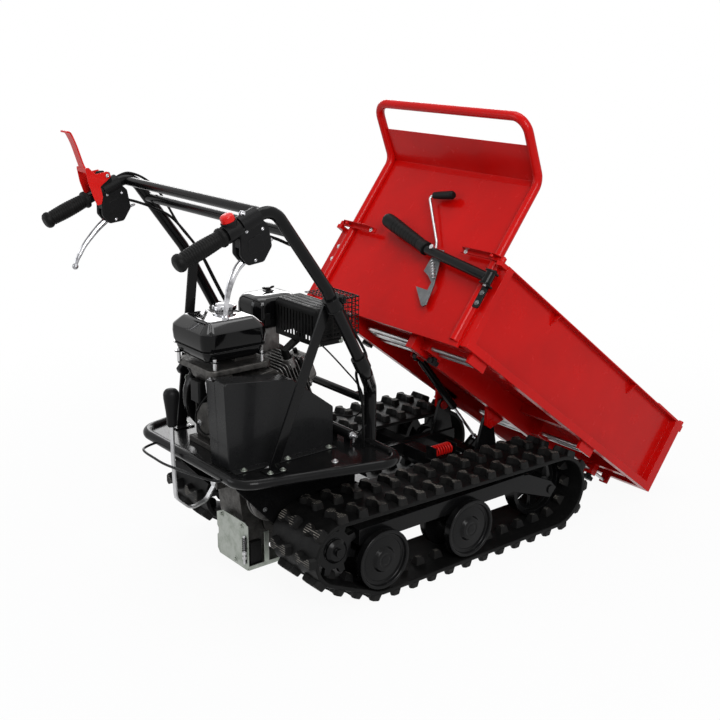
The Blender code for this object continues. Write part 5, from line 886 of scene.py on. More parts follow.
def idler_place():
    """Where the idler tensions a belt of the given number of links."""
    near = ROLLER_SPACING + ROLLER_SEAT
    far = near + LINKS * PITCH
    for _ in range(60):
        middle = (near + far) / 2
        if belt_length(middle) < LINKS * PITCH:
            near = middle
        else:
            far = middle
    return middle


IDLER_X = idler_place()
STRETCHES = belt_stretches(IDLER_X)


def belt_point(distance):
    """Point and outward direction on the neutral line, in the plane of the track."""
    distance %= sum(stretch[5] for stretch in STRETCHES)
    for kind, a, b, c, turn, length in STRETCHES:
        if distance <= length:
            break
        distance -= length
    if kind == "arc":
        angle = c + turn * distance / length
        normal = (math.cos(angle), math.sin(angle))
        return (a[0] + b * normal[0], a[1] + b * normal[1]), normal
    share = distance / length
    return (a[0] + (b[0] - a[0]) * share, a[1] + (b[1] - a[1]) * share), c


def first_link_angle():
    """Direction from the sprocket to the middle of the first link."""
    normal = belt_point(0.0)[1]
    return math.atan2(normal[1], normal[0])


def belt_band(side):
    """Carcass of the track: a rounded band round the wheels."""
    half, deep, corner = BELT_WIDTH / 2, NEUTRAL, 0.003
    section = [(-half, -deep + corner), (-half + corner * 0.3, -deep + corner * 0.3), (-half + corner, -deep),
               (half - corner, -deep), (half - corner * 0.3, -deep + corner * 0.3), (half, -deep + corner),
               (half, deep - corner), (half - corner * 0.3, deep - corner * 0.3), (half - corner, deep),
               (-half + corner, deep), (-half + corner * 0.3, deep - corner * 0.3), (-half, deep - corner)]
    steps_a_link = 8
    rings = LINKS * steps_a_link
    corners = []
    faces = []
    for i in range(rings):
        (x, z), normal = belt_point(i * PITCH / steps_a_link)
        for y, height in section:
            corners.append((x + normal[0] * height, (TRACK_CENTRE + y) * side, z + normal[1] * height))
    count = len(section)
    for i in range(rings):
        j = (i + 1) % rings
        for k in range(count):
            m = (k + 1) % count
            faces.append([i * count + k, i * count + m, j * count + m, j * count + k])
    return solid(corners, faces)


def lug_outline(low, high, reach):
    """Bow-tie outline of a lug, as (distance along the belt, y)."""
    middle = (low + high) / 2
    chamfer = 0.005
    waist = 0.011
    flare = 0.024
    right = [(reach - chamfer, low), (reach, low + chamfer), (reach, middle - flare),
             (LUG_WAIST, middle - waist), (LUG_WAIST, middle + waist), (reach, middle + flare),
             (reach, high - chamfer), (reach - chamfer, high)]
    left = [(-s, y) for s, y in reversed(right)]
    return right + left


def raised(edit, uv, middle, outline, levels, side):
    """Closed lug on the belt: its outline at each (height, inset) level, with a cap."""
    centre_y = sum(y for _, y in outline) / len(outline)
    rings = []
    for height, inset in levels:
        ring = []
        for s, y in outline:
            s_in = s - math.copysign(min(inset, abs(s)), s)
            y_in = y - math.copysign(min(inset, abs(y - centre_y)), y - centre_y)
            (x, z), normal = belt_point(middle + s_in)
            point = (x + normal[0] * height, y_in * side, z + normal[1] * height)
            ring.append((edit.verts.new(point), s_in))
        rings.append(ring)
    faces = []
    count = len(outline)
    for one, two in zip(rings, rings[1:]):
        for i in range(count):
            j = (i + 1) % count
            faces.append((edit.faces.new((one[i][0], one[j][0], two[j][0], two[i][0])), 0.0))
    faces.append((edit.faces.new([corner[0] for corner in rings[-1]]), 1.0))
    along_belt = {corner[0]: corner[1] for ring in rings for corner in ring}
    for face, top in faces:
        for loop in face.loops:
            loop[uv].uv = (0.5 + along_belt[loop.vert], top)


def lugs_mesh(side):
    """All lugs of one track: two columns outside and the guide lugs inside."""
    inner_edge = TRACK_CENTRE - BELT_WIDTH / 2
    outer_edge = TRACK_CENTRE + BELT_WIDTH / 2
    columns = ((inner_edge + 0.015, inner_edge + 0.085), (inner_edge + 0.115, outer_edge))
    guide = (TRACK_CENTRE + GUIDE_OFFSET - GUIDE_WIDTH / 2, TRACK_CENTRE + GUIDE_OFFSET + GUIDE_WIDTH / 2)
    top = NEUTRAL + LUG_HEIGHT
    levels = [(NEUTRAL - 0.001, 0.0), (NEUTRAL + 0.004, 0.0008), (top - 0.0025, 0.0024),
              (top - 0.0008, 0.0031), (top, 0.0042)]
    inward = -NEUTRAL - GUIDE_HEIGHT
    guide_levels = [(-NEUTRAL + 0.001, 0.0), (inward + 0.003, 0.0045), (inward, 0.0070)]
    edit = bmesh.new()
    uv = edit.loops.layers.uv.new("UVMap")
    for i in range(LINKS):
        for low, high in columns:
            raised(edit, uv, i * PITCH, lug_outline(low, high, LUG_LENGTH / 2), levels, side)
        reach = LUG_LENGTH / 2
        block_outline = [(reach, guide[0]), (reach, guide[1]), (-reach, guide[1]), (-reach, guide[0])]
        raised(edit, uv, i * PITCH, block_outline, guide_levels, side)
    bmesh.ops.recalc_face_normals(edit, faces=edit.faces)
    mesh = bpy.data.meshes.new("lugs")
    edit.to_mesh(mesh)
    edit.free()
    mesh.materials.append(TREAD)
    return mesh


def wheel_radius(seat):
    """Largest wheel inside a belt that stays straight along each lug."""
    return seat * math.cos(LUG_LENGTH / 2 / (seat + NEUTRAL)) - GAP


def spool(rows, side, x, z):
    """Turned piece on an axle along Y, from rows of (radius, distance from the centre plane)."""
    return turned([(radius, distance * side) for radius, distance in rows], "y", (x, z))


def roller_mesh(side, x):
    """Double-disc track roller on its own spindle, with a lipped rim, a stepped web and a nut."""
    rim = wheel_radius(ROLLER_SEAT)
    inner, inner_end = TRACK_CENTRE - 0.030, TRACK_CENTRE - 0.008
    outer, outer_end = TRACK_CENTRE + 0.064, TRACK_CENTRE + 0.0845
    rows = [(0, inner), (rim - 0.002, inner), (rim, inner + 0.002), (rim, inner_end - 0.002),
            (rim - 0.002, inner_end), (rim - 0.008, inner_end), (0.026, inner_end),
            (AXLE_RADIUS, inner_end + 0.004), (AXLE_RADIUS, outer - 0.004), (0.026, outer),
            (rim - 0.002, outer), (rim, outer + 0.002), (rim, outer_end - 0.0015), (rim - 0.0015, outer_end),
            (rim - 0.0065, outer_end), (rim - 0.0085, outer_end - 0.0015), (rim - 0.0110, outer_end - 0.0080),
            (rim - 0.0130, outer_end - 0.0095), (rim - 0.0190, outer_end - 0.0095),
            (rim - 0.0205, outer_end - 0.0085), (0.0360, outer_end - 0.0075), (0.0330, outer_end - 0.0070),
            (0.0285, outer_end - 0.0010), (0.0270, outer_end + 0.0005), (0.0180, outer_end + 0.0010),
            (0.0170, outer_end + 0.0002), (0.0120, outer_end + 0.0002), (0.0110, outer_end + 0.0010),
            (0, outer_end + 0.0010)]
    return spool(rows, side, x, ROLLER_Z)


def idler_mesh(side):
    """Front idler: rim, hub with a blind bore, and five spokes between windows."""
    rim = wheel_radius(IDLER_SEAT)
    middle = (IDLER_INNER + IDLER_OUTER) / 2
    web = 0.005
    bore = bore_radius(IDLER_STUB_RADIUS, 16)
    rows = [(0, IDLER_INNER), (0.030, IDLER_INNER), (0.032, middle - web), (rim - 0.014, middle - web),
            (rim - 0.012, IDLER_INNER), (rim, IDLER_INNER), (rim, IDLER_OUTER), (rim - 0.012, IDLER_OUTER),
            (rim - 0.014, middle + web), (0.032, middle + web), (0.027, IDLER_HUB_END), (bore, IDLER_HUB_END),
            (bore, IDLER_INNER + 0.008), (0, IDLER_INNER + 0.008)]
    wheel = spool(rows, side, IDLER_X, IDLER_Z)
    windows = []
    count = 5
    inner, outer = 0.040, rim - 0.020
    spread = math.radians(25)
    for i in range(count):
        angle = math.radians(18) + 2 * math.pi * i / count
        outline = []
        for radius, share in ((inner, -0.8), (outer, -1), (outer, 1), (inner, 0.8)):
            turn = angle + spread * share
            outline.append((IDLER_X + radius * math.cos(turn), IDLER_Z + radius * math.sin(turn)))
        windows.append(prism(outline, "y", IDLER_INNER * side, IDLER_OUTER * side))
    return cut(wheel, windows)


def sprocket_mesh(side):
    """Drive sprocket with a row of teeth on each side of the guide lugs, and its shaft."""
    tip = SPROCKET_SEAT - 0.006
    root = SPROCKET_SEAT - GUIDE_HEIGHT - 0.005
    step = 2 * math.pi / SPROCKET_TEETH
    start = first_link_angle() + step / 2
    outline = []
    for i in range(SPROCKET_TEETH):
        middle = start + i * step
        for radius, share in ((root, -0.27), (tip, -0.15), (tip, 0.15), (root, 0.27)):
            angle = middle + step * share
            outline.append((SPROCKET_X + radius * math.cos(angle), SPROCKET_Z + radius * math.sin(angle)))
    solids = []
    for inner, outer in ((SPROCKET_INNER, GUIDE_INNER), (GUIDE_OUTER, SPROCKET_OUTER)):
        solids.append(prism(outline, "y", inner * side, outer * side))
    rows = [(0, SHAFT_INNER), (DRIVE_SHAFT_RADIUS, SHAFT_INNER), (DRIVE_SHAFT_RADIUS, SPROCKET_INNER - 0.020),
            (0.028, SPROCKET_INNER - 0.018), (0.030, SPROCKET_OUTER + 0.006), (0.022, SPROCKET_OUTER + 0.012),
            (0.010, SPROCKET_OUTER + 0.012), (0.010, SPROCKET_OUTER + 0.020), (0, SPROCKET_OUTER + 0.020)]
    nut = cylinder("y", (SPROCKET_X, SPROCKET_Z), 0.0095, (SPROCKET_OUTER + 0.010) * side,
                   (SPROCKET_OUTER + 0.0195) * side, 6)
    return unite(solids + [spool(rows, side, SPROCKET_X, SPROCKET_Z), clad(nut, "zinc")])


def beams(side):
    """Track beam and inner rail of one side."""
    outer = BEAM_INNER + BEAM_WIDTH
    beam = block((BEAM_REAR, BEAM_INNER * side, BEAM_BOTTOM), (BEAM_FRONT, outer * side, BEAM_TOP))
    rail = block((RAIL_REAR, RAIL_INNER * side, BEAM_BOTTOM), (RAIL_FRONT, RAIL_OUTER * side, BEAM_TOP))
    return [beam, rail]


def roller_hanger(side, x):
    """Hanger of one roller, below the beam."""
    boss = 0.022
    inner, outer = TRACK_CENTRE + 0.020, TRACK_CENTRE + 0.036
    outline = [(x - 0.034, BEAM_BOTTOM + 0.003), (x - boss, ROLLER_Z + 0.004), (x - boss, ROLLER_Z - 0.010),
               (x - 0.010, ROLLER_Z - boss), (x + 0.010, ROLLER_Z - boss), (x + boss, ROLLER_Z - 0.010),
               (x + boss, ROLLER_Z + 0.004), (x + 0.034, BEAM_BOTTOM + 0.003)]
    return prism(outline, "y", inner * side, outer * side)


def idler_arm(side):
    """Arm in front of the beam, with the stub axle of the idler."""
    nose = 0.024
    outline = [(BEAM_FRONT - 0.040, BEAM_BOTTOM + 0.001), (BEAM_FRONT - 0.040, BEAM_TOP - 0.001),
               (BEAM_FRONT + 0.020, BEAM_TOP - 0.006), (IDLER_X, IDLER_Z + nose),
               (IDLER_X + nose, IDLER_Z), (IDLER_X, IDLER_Z - nose)]
    arm = prism(outline, "y", ARM_INNER * side, (ARM_OUTER - 0.004) * side)
    start = (IDLER_INNER + 0.010) * side
    return [arm, cylinder("y", (IDLER_X, IDLER_Z), IDLER_STUB_RADIUS, start, ARM_OUTER * side)]


def platform_mounts(side):
    """Uprights on the inner rail, with the pads below the platform."""
    inner, outer = RAIL_INNER + 0.002, RAIL_OUTER - 0.002
    top = PLATE_TOP - PLATE_THICKNESS - GAP
    solids = []
    for x in (RAIL_REAR + 0.004, -0.010):
        solids.append(block((x, inner * side, BEAM_TOP - 0.010), (x + 0.034, outer * side, top - 0.002)))
        low = (x - 0.012, (inner - 0.010) * side, top - 0.006)
        solids.append(block(low, (x + 0.046, (outer + 0.010) * side, top)))
    return solids


def chassis_ears(side):
    """Ear of the box's hinge and ear of the gas strut's foot."""
    hinge = [(HINGE_X - 0.045, BEAM_TOP - 0.006), (HINGE_X - 0.018, HINGE_Z + 0.006),
             (HINGE_X - 0.010, HINGE_Z + 0.018), (HINGE_X + 0.010, HINGE_Z + 0.018),
             (HINGE_X + 0.018, HINGE_Z + 0.006), (HINGE_X + 0.038, BEAM_TOP - 0.006)]
    inner = STRUT_EYE_HALF + 0.001
    foot = [(0.550, BEAM_BOTTOM + 0.003), (STRUT_FOOT_X - 0.006, BEAM_BOTTOM + 0.003),
            (STRUT_FOOT_X + 0.012, STRUT_FOOT_Z - 0.006), (STRUT_FOOT_X + 0.010, STRUT_FOOT_Z + 0.009),
            (STRUT_FOOT_X - 0.008, STRUT_FOOT_Z + 0.009), (0.570, BEAM_BOTTOM + 0.014)]
    return [prism(hinge, "y", HINGE_EAR_INNER * side, HINGE_EAR_OUTER * side),
            prism(foot, "y", inner * side, (inner + 0.006) * side)]


def chassis_mesh():
    """Welded ladder frame with roller hangers, idler arms, hinge ears and the foot of the gas strut."""
    solids = []
    for x in CROSS_MEMBERS:
        low = (x, -BEAM_INNER - 0.004, BEAM_BOTTOM + 0.002)
        solids.append(block(low, (x + CROSS_LENGTH, BEAM_INNER + 0.004, BEAM_TOP - 0.002)))
    for _, side in SIDES:
        solids += beams(side) + [roller_hanger(side, x) for x in (0.0, ROLLER_SPACING)]
        solids += idler_arm(side) + platform_mounts(side) + chassis_ears(side)
    low = (0.545, -RAIL_INNER - 0.004, BEAM_BOTTOM + 0.001)
    solids.append(block(low, (0.585, RAIL_INNER + 0.004, BEAM_BOTTOM + 0.016)))
    reach = STRUT_EYE_HALF + 0.004
    solids.append(cylinder("y", (STRUT_FOOT_X, STRUT_FOOT_Z), STRUT_PIN_RADIUS, -reach, reach))
    return unite(solids + spring_seat())


def spring_seat():
    """Bracket of the red spring on the front cross-member, with the pin inside the spring."""
    wide = 0.021
    centre = SPRING_SEAT + GAP + SPRING_WIRE + SPRING_COIL
    plate = 0.004
    start, end = SPRING_START - plate - GAP, SPRING_END + plate + GAP
    solids = [block((start, SPRING_Y - wide, BEAM_TOP - 0.003), (end, SPRING_Y + wide, SPRING_SEAT))]
    for x in (start, end - plate):
        low = (x, SPRING_Y - wide + 0.001, SPRING_SEAT - 0.002)
        solids.append(block(low, (x + plate, SPRING_Y + wide - 0.001, centre + SPRING_COIL + 0.002)))
    solids.append(cylinder("x", (SPRING_Y, centre), 0.007, start + 0.001, end - 0.001))
    return solids


def coil(start, end, turns, radius, wire, points_a_turn=40):
    """Coil spring as one tube round the line from start to end."""
    start, end = Vector(start), Vector(end)
    line = (end - start).normalized()
    first = line.orthogonal().normalized()
    second = line.cross(first)
    begin, finish = start + line * wire, end - line * wire
    count = turns * points_a_turn
    route = []
    for i in range(count + 1):
        angle = 2 * math.pi * i / points_a_turn
        middle = begin + (finish - begin) * i / count
        route.append(middle + (first * math.cos(angle) + second * math.sin(angle)) * radius)
    return sweep(route, circle(wire, 14))


def hoop_route():
    """Centre line of the platform's tube, as four corners seen from above."""
    z = PLATE_TOP - PLATE_THICKNESS / 2
    rear, front = HOOP_REAR, HOOP_FRONT
    return [
        (rear, -HOOP_REAR_HALF, z),
        (front, -HOOP_FRONT_HALF, z),
        (front, HOOP_FRONT_HALF, z),
        (rear, HOOP_REAR_HALF, z),
    ]


def arm_direction():
    """Unit direction of the lower stretch of the handlebar's arms, in the plane of X and Z."""
    run = Vector((ARM_KNEE[0] - ARM_FOOT[0], 0, ARM_KNEE[1] - ARM_FOOT[1]))
    return run.normalized()


def platform_mesh():
    """Plate in its tube hoop, with the posts, the sockets of the arms and the rod loop at the rear."""
    hoop = tube(hoop_route(), HOOP_RADIUS, HOOP_BEND, 3, closed=True)
    outline = smooth_outline([(x, y) for x, y, _ in hoop_route()], HOOP_BEND, 3)
    plate = prism(outline, "z", PLATE_TOP - PLATE_THICKNESS, PLATE_TOP)
    solids = [hoop, plate]
    direction = arm_direction()
    for _, side in SIDES:
        foot = Vector((ARM_FOOT[0], ARM_Y * side, ARM_FOOT[1]))
        top = foot + direction * SOCKET_LENGTH
        route = [(POST_X, POST_Y * side, PLATE_TOP - 0.004), (POST_X, POST_Y * side, POST_BEND_Z), foot, top]
        solids.append(tube(route, POST_RADIUS, 0.045, 3))
        solids.append(tube([foot + direction * 0.012, top + direction * 0.001], SOCKET_RADIUS))
        gusset = [(POST_X - 0.060, PLATE_TOP - 0.002), (POST_X, PLATE_TOP - 0.002),
                  (POST_X, PLATE_TOP + 0.060)]
        y = POST_Y * side
        solids.append(prism(gusset, "y", y - 0.003, y + 0.003))
    solids.append(tube([(POST_X, -POST_Y, POST_BAR_Z), (POST_X, POST_Y, POST_BAR_Z)], 0.010))
    solids.append(cylinder("x", (KEEPER_Y, POST_BAR_Z), 0.006, POST_X, KEEPER_END))
    solids.append(tensioner_mesh())
    rear_rod = smooth_route([(x, y, REAR_ROD_Z) for x, y in REAR_ROD], 8)
    solids.append(sweep(rear_rod, circle(REAR_ROD_RADIUS, 10)))
    for x, y in ((-0.2355, -0.178), (-0.087, -0.2359), (-0.2355, 0.178), (-0.087, 0.2359), (0.0, 0.150)):
        solids.append(bolt((x, y, PLATE_TOP - 0.0005), (0, 0, 1), 0.0050, "zinc"))
    return unite(solids)


def arm_points(side):
    """Corners of one arm of the handlebar, from its socket to its grip."""
    direction = arm_direction()
    foot = Vector((ARM_FOOT[0], ARM_Y * side, ARM_FOOT[1])) + direction * 0.018
    rest = [Vector((x, ARM_Y * side, z)) for x, z in (ARM_KNEE, ARM_TOP, ARM_END)]
    return [foot] + rest


def handlebar_mesh():
    """Two bent arms with two crossbars."""
    solids = [tube(arm_points(side), ARM_RADIUS, ARM_BEND, 3) for _, side in SIDES]
    top = Vector((ARM_TOP[0], 0, ARM_TOP[1]))
    knee = Vector((ARM_KNEE[0], 0, ARM_KNEE[1]))
    for point in (top + Vector((-0.014, 0, -0.012)), top + (knee - top) * 0.30):
        ends = [point + Vector((0, y, 0)) for y in (-ARM_Y, ARM_Y)]
        solids.append(tube(ends, CROSSBAR_RADIUS))
    return unite(solids)


def bar_point(distance, side):
    """Point of the grip's stretch of the bar, at a distance from its end."""
    end = Vector((ARM_END[0], ARM_Y * side, ARM_END[1]))
    top = Vector((ARM_TOP[0], ARM_Y * side, ARM_TOP[1]))
    return end + (top - end).normalized() * distance


def grip_mesh(side):
    """Rubber sleeve with a bulged end, fine ribs and a flange, closed over the end of the bar."""
    end = bar_point(0, side)
    line = (bar_point(0.1, side) - end).normalized()
    bore = bore_radius(ARM_RADIUS, 12, GAP)
    profile = [(0, -0.0108), (0.007, -0.0108), (0.0130, -0.0098), (0.0172, -0.0068), (0.0192, -0.0020),
               (0.0192, 0.0030), (0.0176, 0.0062), (0.0160, 0.0074), (0.0160, 0.0092)]
    ribs = 14
    for i in range(ribs):
        at = 0.0105 + i * 0.0060
        radius = GRIP_RADIUS - 0.0006 + 0.0016 * math.sin(math.pi * (i + 0.5) / ribs)
        profile += [(radius - 0.0009, at), (radius, at + 0.0010), (radius, at + 0.0040),
                    (radius - 0.0009, at + 0.0050)]
    profile += [(GRIP_RADIUS - 0.0015, 0.096), (GRIP_RADIUS + 0.0015, 0.0985), (GRIP_RADIUS + 0.003, 0.101),
                (GRIP_RADIUS + 0.003, 0.1065), (GRIP_RADIUS + 0.0015, 0.108), (bore, 0.108), (bore, -GAP),
                (0, -GAP)]
    return stood(turned(profile, "z", (0, 0)), end, line)


def strut_mesh(side, foot):
    """Flat bar from a bolted foot on the platform to a two-bolt clamp round the arm."""
    direction = arm_direction()
    ring = Vector((ARM_KNEE[0], ARM_Y * side, ARM_KNEE[1])) - direction * 0.040
    foot = Vector((foot[0], foot[1] * side, PLATE_TOP + 0.0035))
    inward = Vector((0, -side, 0))
    head = ring + inward * 0.017
    knee = foot + Vector((0, 0, 0.012))
    bar = flat_bar([foot, knee, head], 0.026, 0.006, (1, 0, 0.12))
    pad = block(foot - Vector((0.026, 0.020, 0.0035 - GAP)), foot + Vector((0.026, 0.020, 0.0005)))
    collar = tube([ring - direction * 0.015, ring + direction * 0.015], ARM_RADIUS + 0.0055)
    solids = [bar, pad, collar]
    for sign in (-1, 1):
        lip = ring + direction * 0.0145 * sign
        solids.append(tube([lip - direction * 0.0018, lip + direction * 0.0018], ARM_RADIUS + 0.0070))
        solids.append(bolt(foot + Vector((0.017 * sign, side * 0.010, 0.0004)), (0, 0, 1), 0.0045))
    out = Vector((direction.z, 0, -direction.x))
    for sign in (-1, 1):
        cheek = ring + Vector((0, sign * 0.010, 0)) + out * (ARM_RADIUS + 0.006)
        solids.append(tube([cheek - direction * 0.009, cheek + direction * 0.009], 0.0065))
    place = ring + out * (ARM_RADIUS + 0.006) + Vector((0, -0.0165, 0))
    solids.append(bolt(place, (0, -1, 0), 0.0042, "black_paint"))
    return unite(solids)


def gearbox_mesh():
    """Gearbox casting with its two axle tubes, input boss and selector boss."""
    outline = [(-0.222, 0.120), (-0.205, 0.096), (-0.130, 0.088), (-0.085, 0.110), (-0.074, 0.157),
               (-0.084, 0.205), (-0.120, 0.232), (-0.150, 0.300), (-0.228, 0.300), (-0.236, 0.240)]
    solids = [prism(outline, "y", -0.050, 0.050)]
    solids.append(cylinder("y", (SPROCKET_X, SPROCKET_Z), 0.044, -0.060, 0.060))
    solids.append(cylinder("y", (SPROCKET_X, SPROCKET_Z), 0.024, -0.205, 0.205))
    solids.append(cylinder("y", (GEARBOX_SHAFT_X, GEARBOX_SHAFT_Z), 0.026, -0.070, 0.060))
    top = PLATE_TOP - PLATE_THICKNESS - GAP
    solids.append(block((-0.224, -0.040, 0.290), (-0.154, 0.040, top)))
    ear = RAIL_INNER - GAP
    solids.append(block((RAIL_REAR + 0.002, -ear, 0.160), (RAIL_REAR + 0.024, ear, 0.182)))
    x, y, z = GEAR_PIVOT
    solids.append(block((x - 0.010, y - 0.018, z - 0.010), (x + 0.026, y - 0.0108, z + 0.010)))
    solids.append(cylinder("y", (x, z), GEAR_PIN_RADIUS, y - 0.014, y + 0.013))
    return unite(solids)


def guard_bolt(x, near, low):
    """Tension bolt of the gearbox tray with its spring, two nuts and the dark core behind it."""
    core = block((-0.232, near + 0.006, low + 0.006), (-0.200, near + 0.020, 0.128))
    axis = (x - 0.006, near + 0.0115)
    solids = [clad(core, "black_matt"), clad(cylinder("z", axis, 0.0030, low + 0.016, low + 0.092), "zinc")]
    for z in (low + 0.030, low + 0.042):
        solids.append(clad(cylinder("z", axis, 0.0066, z, z + 0.007, 6), "zinc"))
    spring = coil((*axis, low + 0.050), (*axis, low + 0.088), 7, 0.0052, 0.0010, 24)
    return solids + [clad(spring, "black_paint")]


def gearbox_guard_mesh():
    """Galvanised tray round the gearbox: back plate, floor, a strip up the near side, tension bolt."""
    sheet = 0.003
    low, high = 0.0585, 0.182
    near, far = -0.096, 0.044
    x = PLATE_GUARD_X
    outline = [(near + 0.004, low), (near, low + 0.010), (near, high - 0.006), (near + 0.012, high),
               (far - 0.030, high), (far, high - 0.014), (far, high - 0.050), (far - 0.006, high - 0.056),
               (far - 0.006, high - 0.070), (far, high - 0.076), (far, low + 0.012), (far - 0.010, low)]
    slot = block((x - 0.010, near + 0.0065, low + 0.020), (x + 0.010, near + 0.0165, low + 0.086))
    wall = cut(prism(outline, "x", x - sheet, x), [slot])
    floor = block((x - 0.001, near + 0.002, low), (-0.128, far - 0.004, low + sheet))
    strip = block((-0.196, near, low + 0.001), (-0.182, near + sheet, 0.150))
    tab = block((x - sheet + 0.001, -0.012, high - 0.010), (-0.2289, 0.012, high - 0.006))
    lip = block((x - 0.001, near + 0.0005, low + 0.0005), (-0.128, near + 0.0025, low + 0.012))
    solids = [wall, floor, strip, lip, tab] + guard_bolt(x, near, low)
    for y, z in ((-0.070, high - 0.012), (0.020, high - 0.012), (-0.040, low + 0.012)):
        solids.append(bolt((x - sheet, y, z), (-1, 0, 0), 0.0045))
    return unite(solids)


def pulley_mesh(x, z, radius, shaft_end):
    """V-belt pulley on a shaft that reaches into its housing."""
    half = BELT_HALF_WIDTH
    y = BELT_PLANE
    rows = [(0, y - half - 0.006), (radius * 0.4, y - half - 0.006), (radius + 0.006, y - half - 0.003),
            (radius + 0.006, y - half - 0.0015), (radius - 0.006, y - half + 0.001),
            (radius - 0.006, y + half - 0.001), (radius + 0.006, y + half + 0.0015),
            (radius + 0.006, y + half + 0.003), (0.018, y + half + 0.004),
            (PULLEY_SHAFT_RADIUS, y + half + 0.010), (PULLEY_SHAFT_RADIUS, shaft_end), (0, shaft_end)]
    return turned(rows, "y", (x, z))


def belt_loop(offset):
    """Outline of the drive belt at an offset from the pulleys' pitch."""
    steps = 8
    big = GEARBOX_PULLEY_RADIUS + offset
    small = ENGINE_PULLEY_RADIUS + offset
    share = (big - small) / (CRANK_Z - GEARBOX_SHAFT_Z)
    lean = math.asin(share)
    points = []
    for i in range(steps + 1):
        angle = lean + (math.pi - 2 * lean) * i / steps
        points.append((CRANK_X + small * math.cos(angle), CRANK_Z + small * math.sin(angle)))
    for i in range(steps + 1):
        angle = math.pi - lean + (math.pi + 2 * lean) * i / steps
        points.append((GEARBOX_SHAFT_X + big * math.cos(angle), GEARBOX_SHAFT_Z + big * math.sin(angle)))
    return points


def drive_belt_mesh():
    """V-belt round the two pulleys, as a closed loop with a wedge section."""
    loops = ((-0.0025, 0.0039), (0.005, 0.0055))
    corners = []
    for offset, half in loops:
        for y in (BELT_PLANE - half, BELT_PLANE + half):
            corners += [Vector((x, y, z)) for x, z in belt_loop(offset)]
    count = len(corners) // 4
    order = (0, 1, 3, 2)
    faces = []
    for k in range(4):
        a, b = order[k] * count, order[(k + 1) % 4] * count
        for i in range(count):
            j = (i + 1) % count
            faces.append([a + i, a + j, b + j, b + i])
    return solid(corners, faces)


def belt_guard_mesh():
    """Sheet cover over the drive belt, with folded rims, a bolted foot and rounded corners."""
    foot = BLOCK_BOTTOM
    outline = [(-0.321, foot), (-0.329, 0.566), (-0.142, 0.541), (-0.023, 0.450), (-0.024, foot)]
    depth = 0.044
    sheet = 0.0025
    shape = smooth_outline(outline, 0.008)
    shell = cushion(shape, "y", GUARD_FACE, GUARD_FACE + depth, 0.0035)
    inner = [(-0.318, foot - 0.010), (-0.326, 0.563), (-0.143, 0.538), (-0.026, 0.4485),
             (-0.027, foot - 0.010)]
    room = prism(inner, "y", GUARD_FACE + sheet, GUARD_FACE + depth + 0.010)
    solids = [cut(shell, [room])]
    back = GUARD_FACE + depth - 0.002
    wall = [(-0.321, foot), (-0.329, 0.558), (-0.3265, 0.558), (-0.3185, foot)]
    solids.append(prism(wall, "y", back, -0.068))
    roof = [(-0.327, 0.5655), (-0.144, 0.5410), (-0.144, 0.5385), (-0.327, 0.5630)]
    solids.append(prism(roof, "y", back, -0.0848))
    solids.append(block((-0.316, GUARD_FACE - 0.022, foot), (-0.030, GUARD_FACE + 0.003, foot + 0.0022)))
    for x in (-0.290, -0.168, -0.046):
        solids.append(bolt((x, GUARD_FACE - 0.0125, foot + 0.0022), (0, 0, 1), 0.0048))
    return unite(solids)


def cylinder_frame():
    """Matrix that puts +X along the leaning cylinder."""
    place = Matrix.Translation((HEAD_START[0], 0.010, HEAD_START[1]))
    return place @ Matrix.Rotation(-CYLINDER_LEAN, 4, "Y")


def finned_cylinder():
    """Leaning cylinder with its fins, head bolts, plug and exhaust port."""
    place = cylinder_frame()
    solids = [clad(moved(block((0.0, -0.040, -0.042), (HEAD_END, 0.040, 0.044)), place), "cast_dark")]
    fins = 11
    for i in range(fins):
        x = 0.012 + i * 0.0092
        reach = 0.058 if i % 2 else 0.0565
        fin = smooth_outline([(-reach, -0.056), (reach, -0.056), (reach, 0.058), (-reach, 0.058)], 0.010)
        solids.append(moved(prism(fin, "x", x, x + 0.0026), place))
    for y in (-0.036, 0.036):
        for z in (-0.034, 0.036):
            head = place @ Vector((HEAD_END - 0.001, y, z))
            solids.append(bolt(head, place.to_3x3() @ Vector((1, 0, 0)), 0.0050, "zinc"))
    plug = moved(cylinder("z", (HEAD_END - 0.012, -0.052), 0.0075, 0.030, 0.052), place)
    solids.append(clad(plug, "black_plastic"))
    x, y, z = EXHAUST_PORT
    solids.append(moved(cylinder("z", (x, y), 0.016, 0.040, z), place))
    return solids


def engine_block_mesh():
    """Crankcase on its feet with the leaning finned cylinder, the tank's ledge and the parts bolted on."""
    bottom = BLOCK_BOTTOM
    case = [(-0.268, bottom + 0.012), (-0.268, 0.500), (-0.240, 0.540), (-0.150, 0.552), (-0.108, 0.520),
            (-0.100, bottom + 0.012)]
    ledge = rounded_box((-0.316, -0.072, 0.556), (-0.146, 0.094, 0.572), 0.018, 0.004)
    brow = [(-0.300, 0.560), (-0.288, 0.528), (-0.262, 0.500), (-0.255, 0.560)]
    cast = [prism(smooth_outline(case, 0.010), "y", -0.084, 0.088),
            block((-0.285, -0.094, bottom), (-0.095, 0.094, bottom + 0.014)),
            cylinder("y", (CRANK_X, CRANK_Z), 0.060, -0.096, 0.0945), ledge,
            prism(smooth_outline(brow, 0.006), "y", -0.066, 0.060)]
    solids = [clad(mesh, "cast_dark") for mesh in cast] + finned_cylinder()
    solids.append(block((-0.078, 0.045, 0.500), (-0.042, CARBURETTOR_FACE - GAP, 0.545)))
    return unite(solids + engine_side_parts())


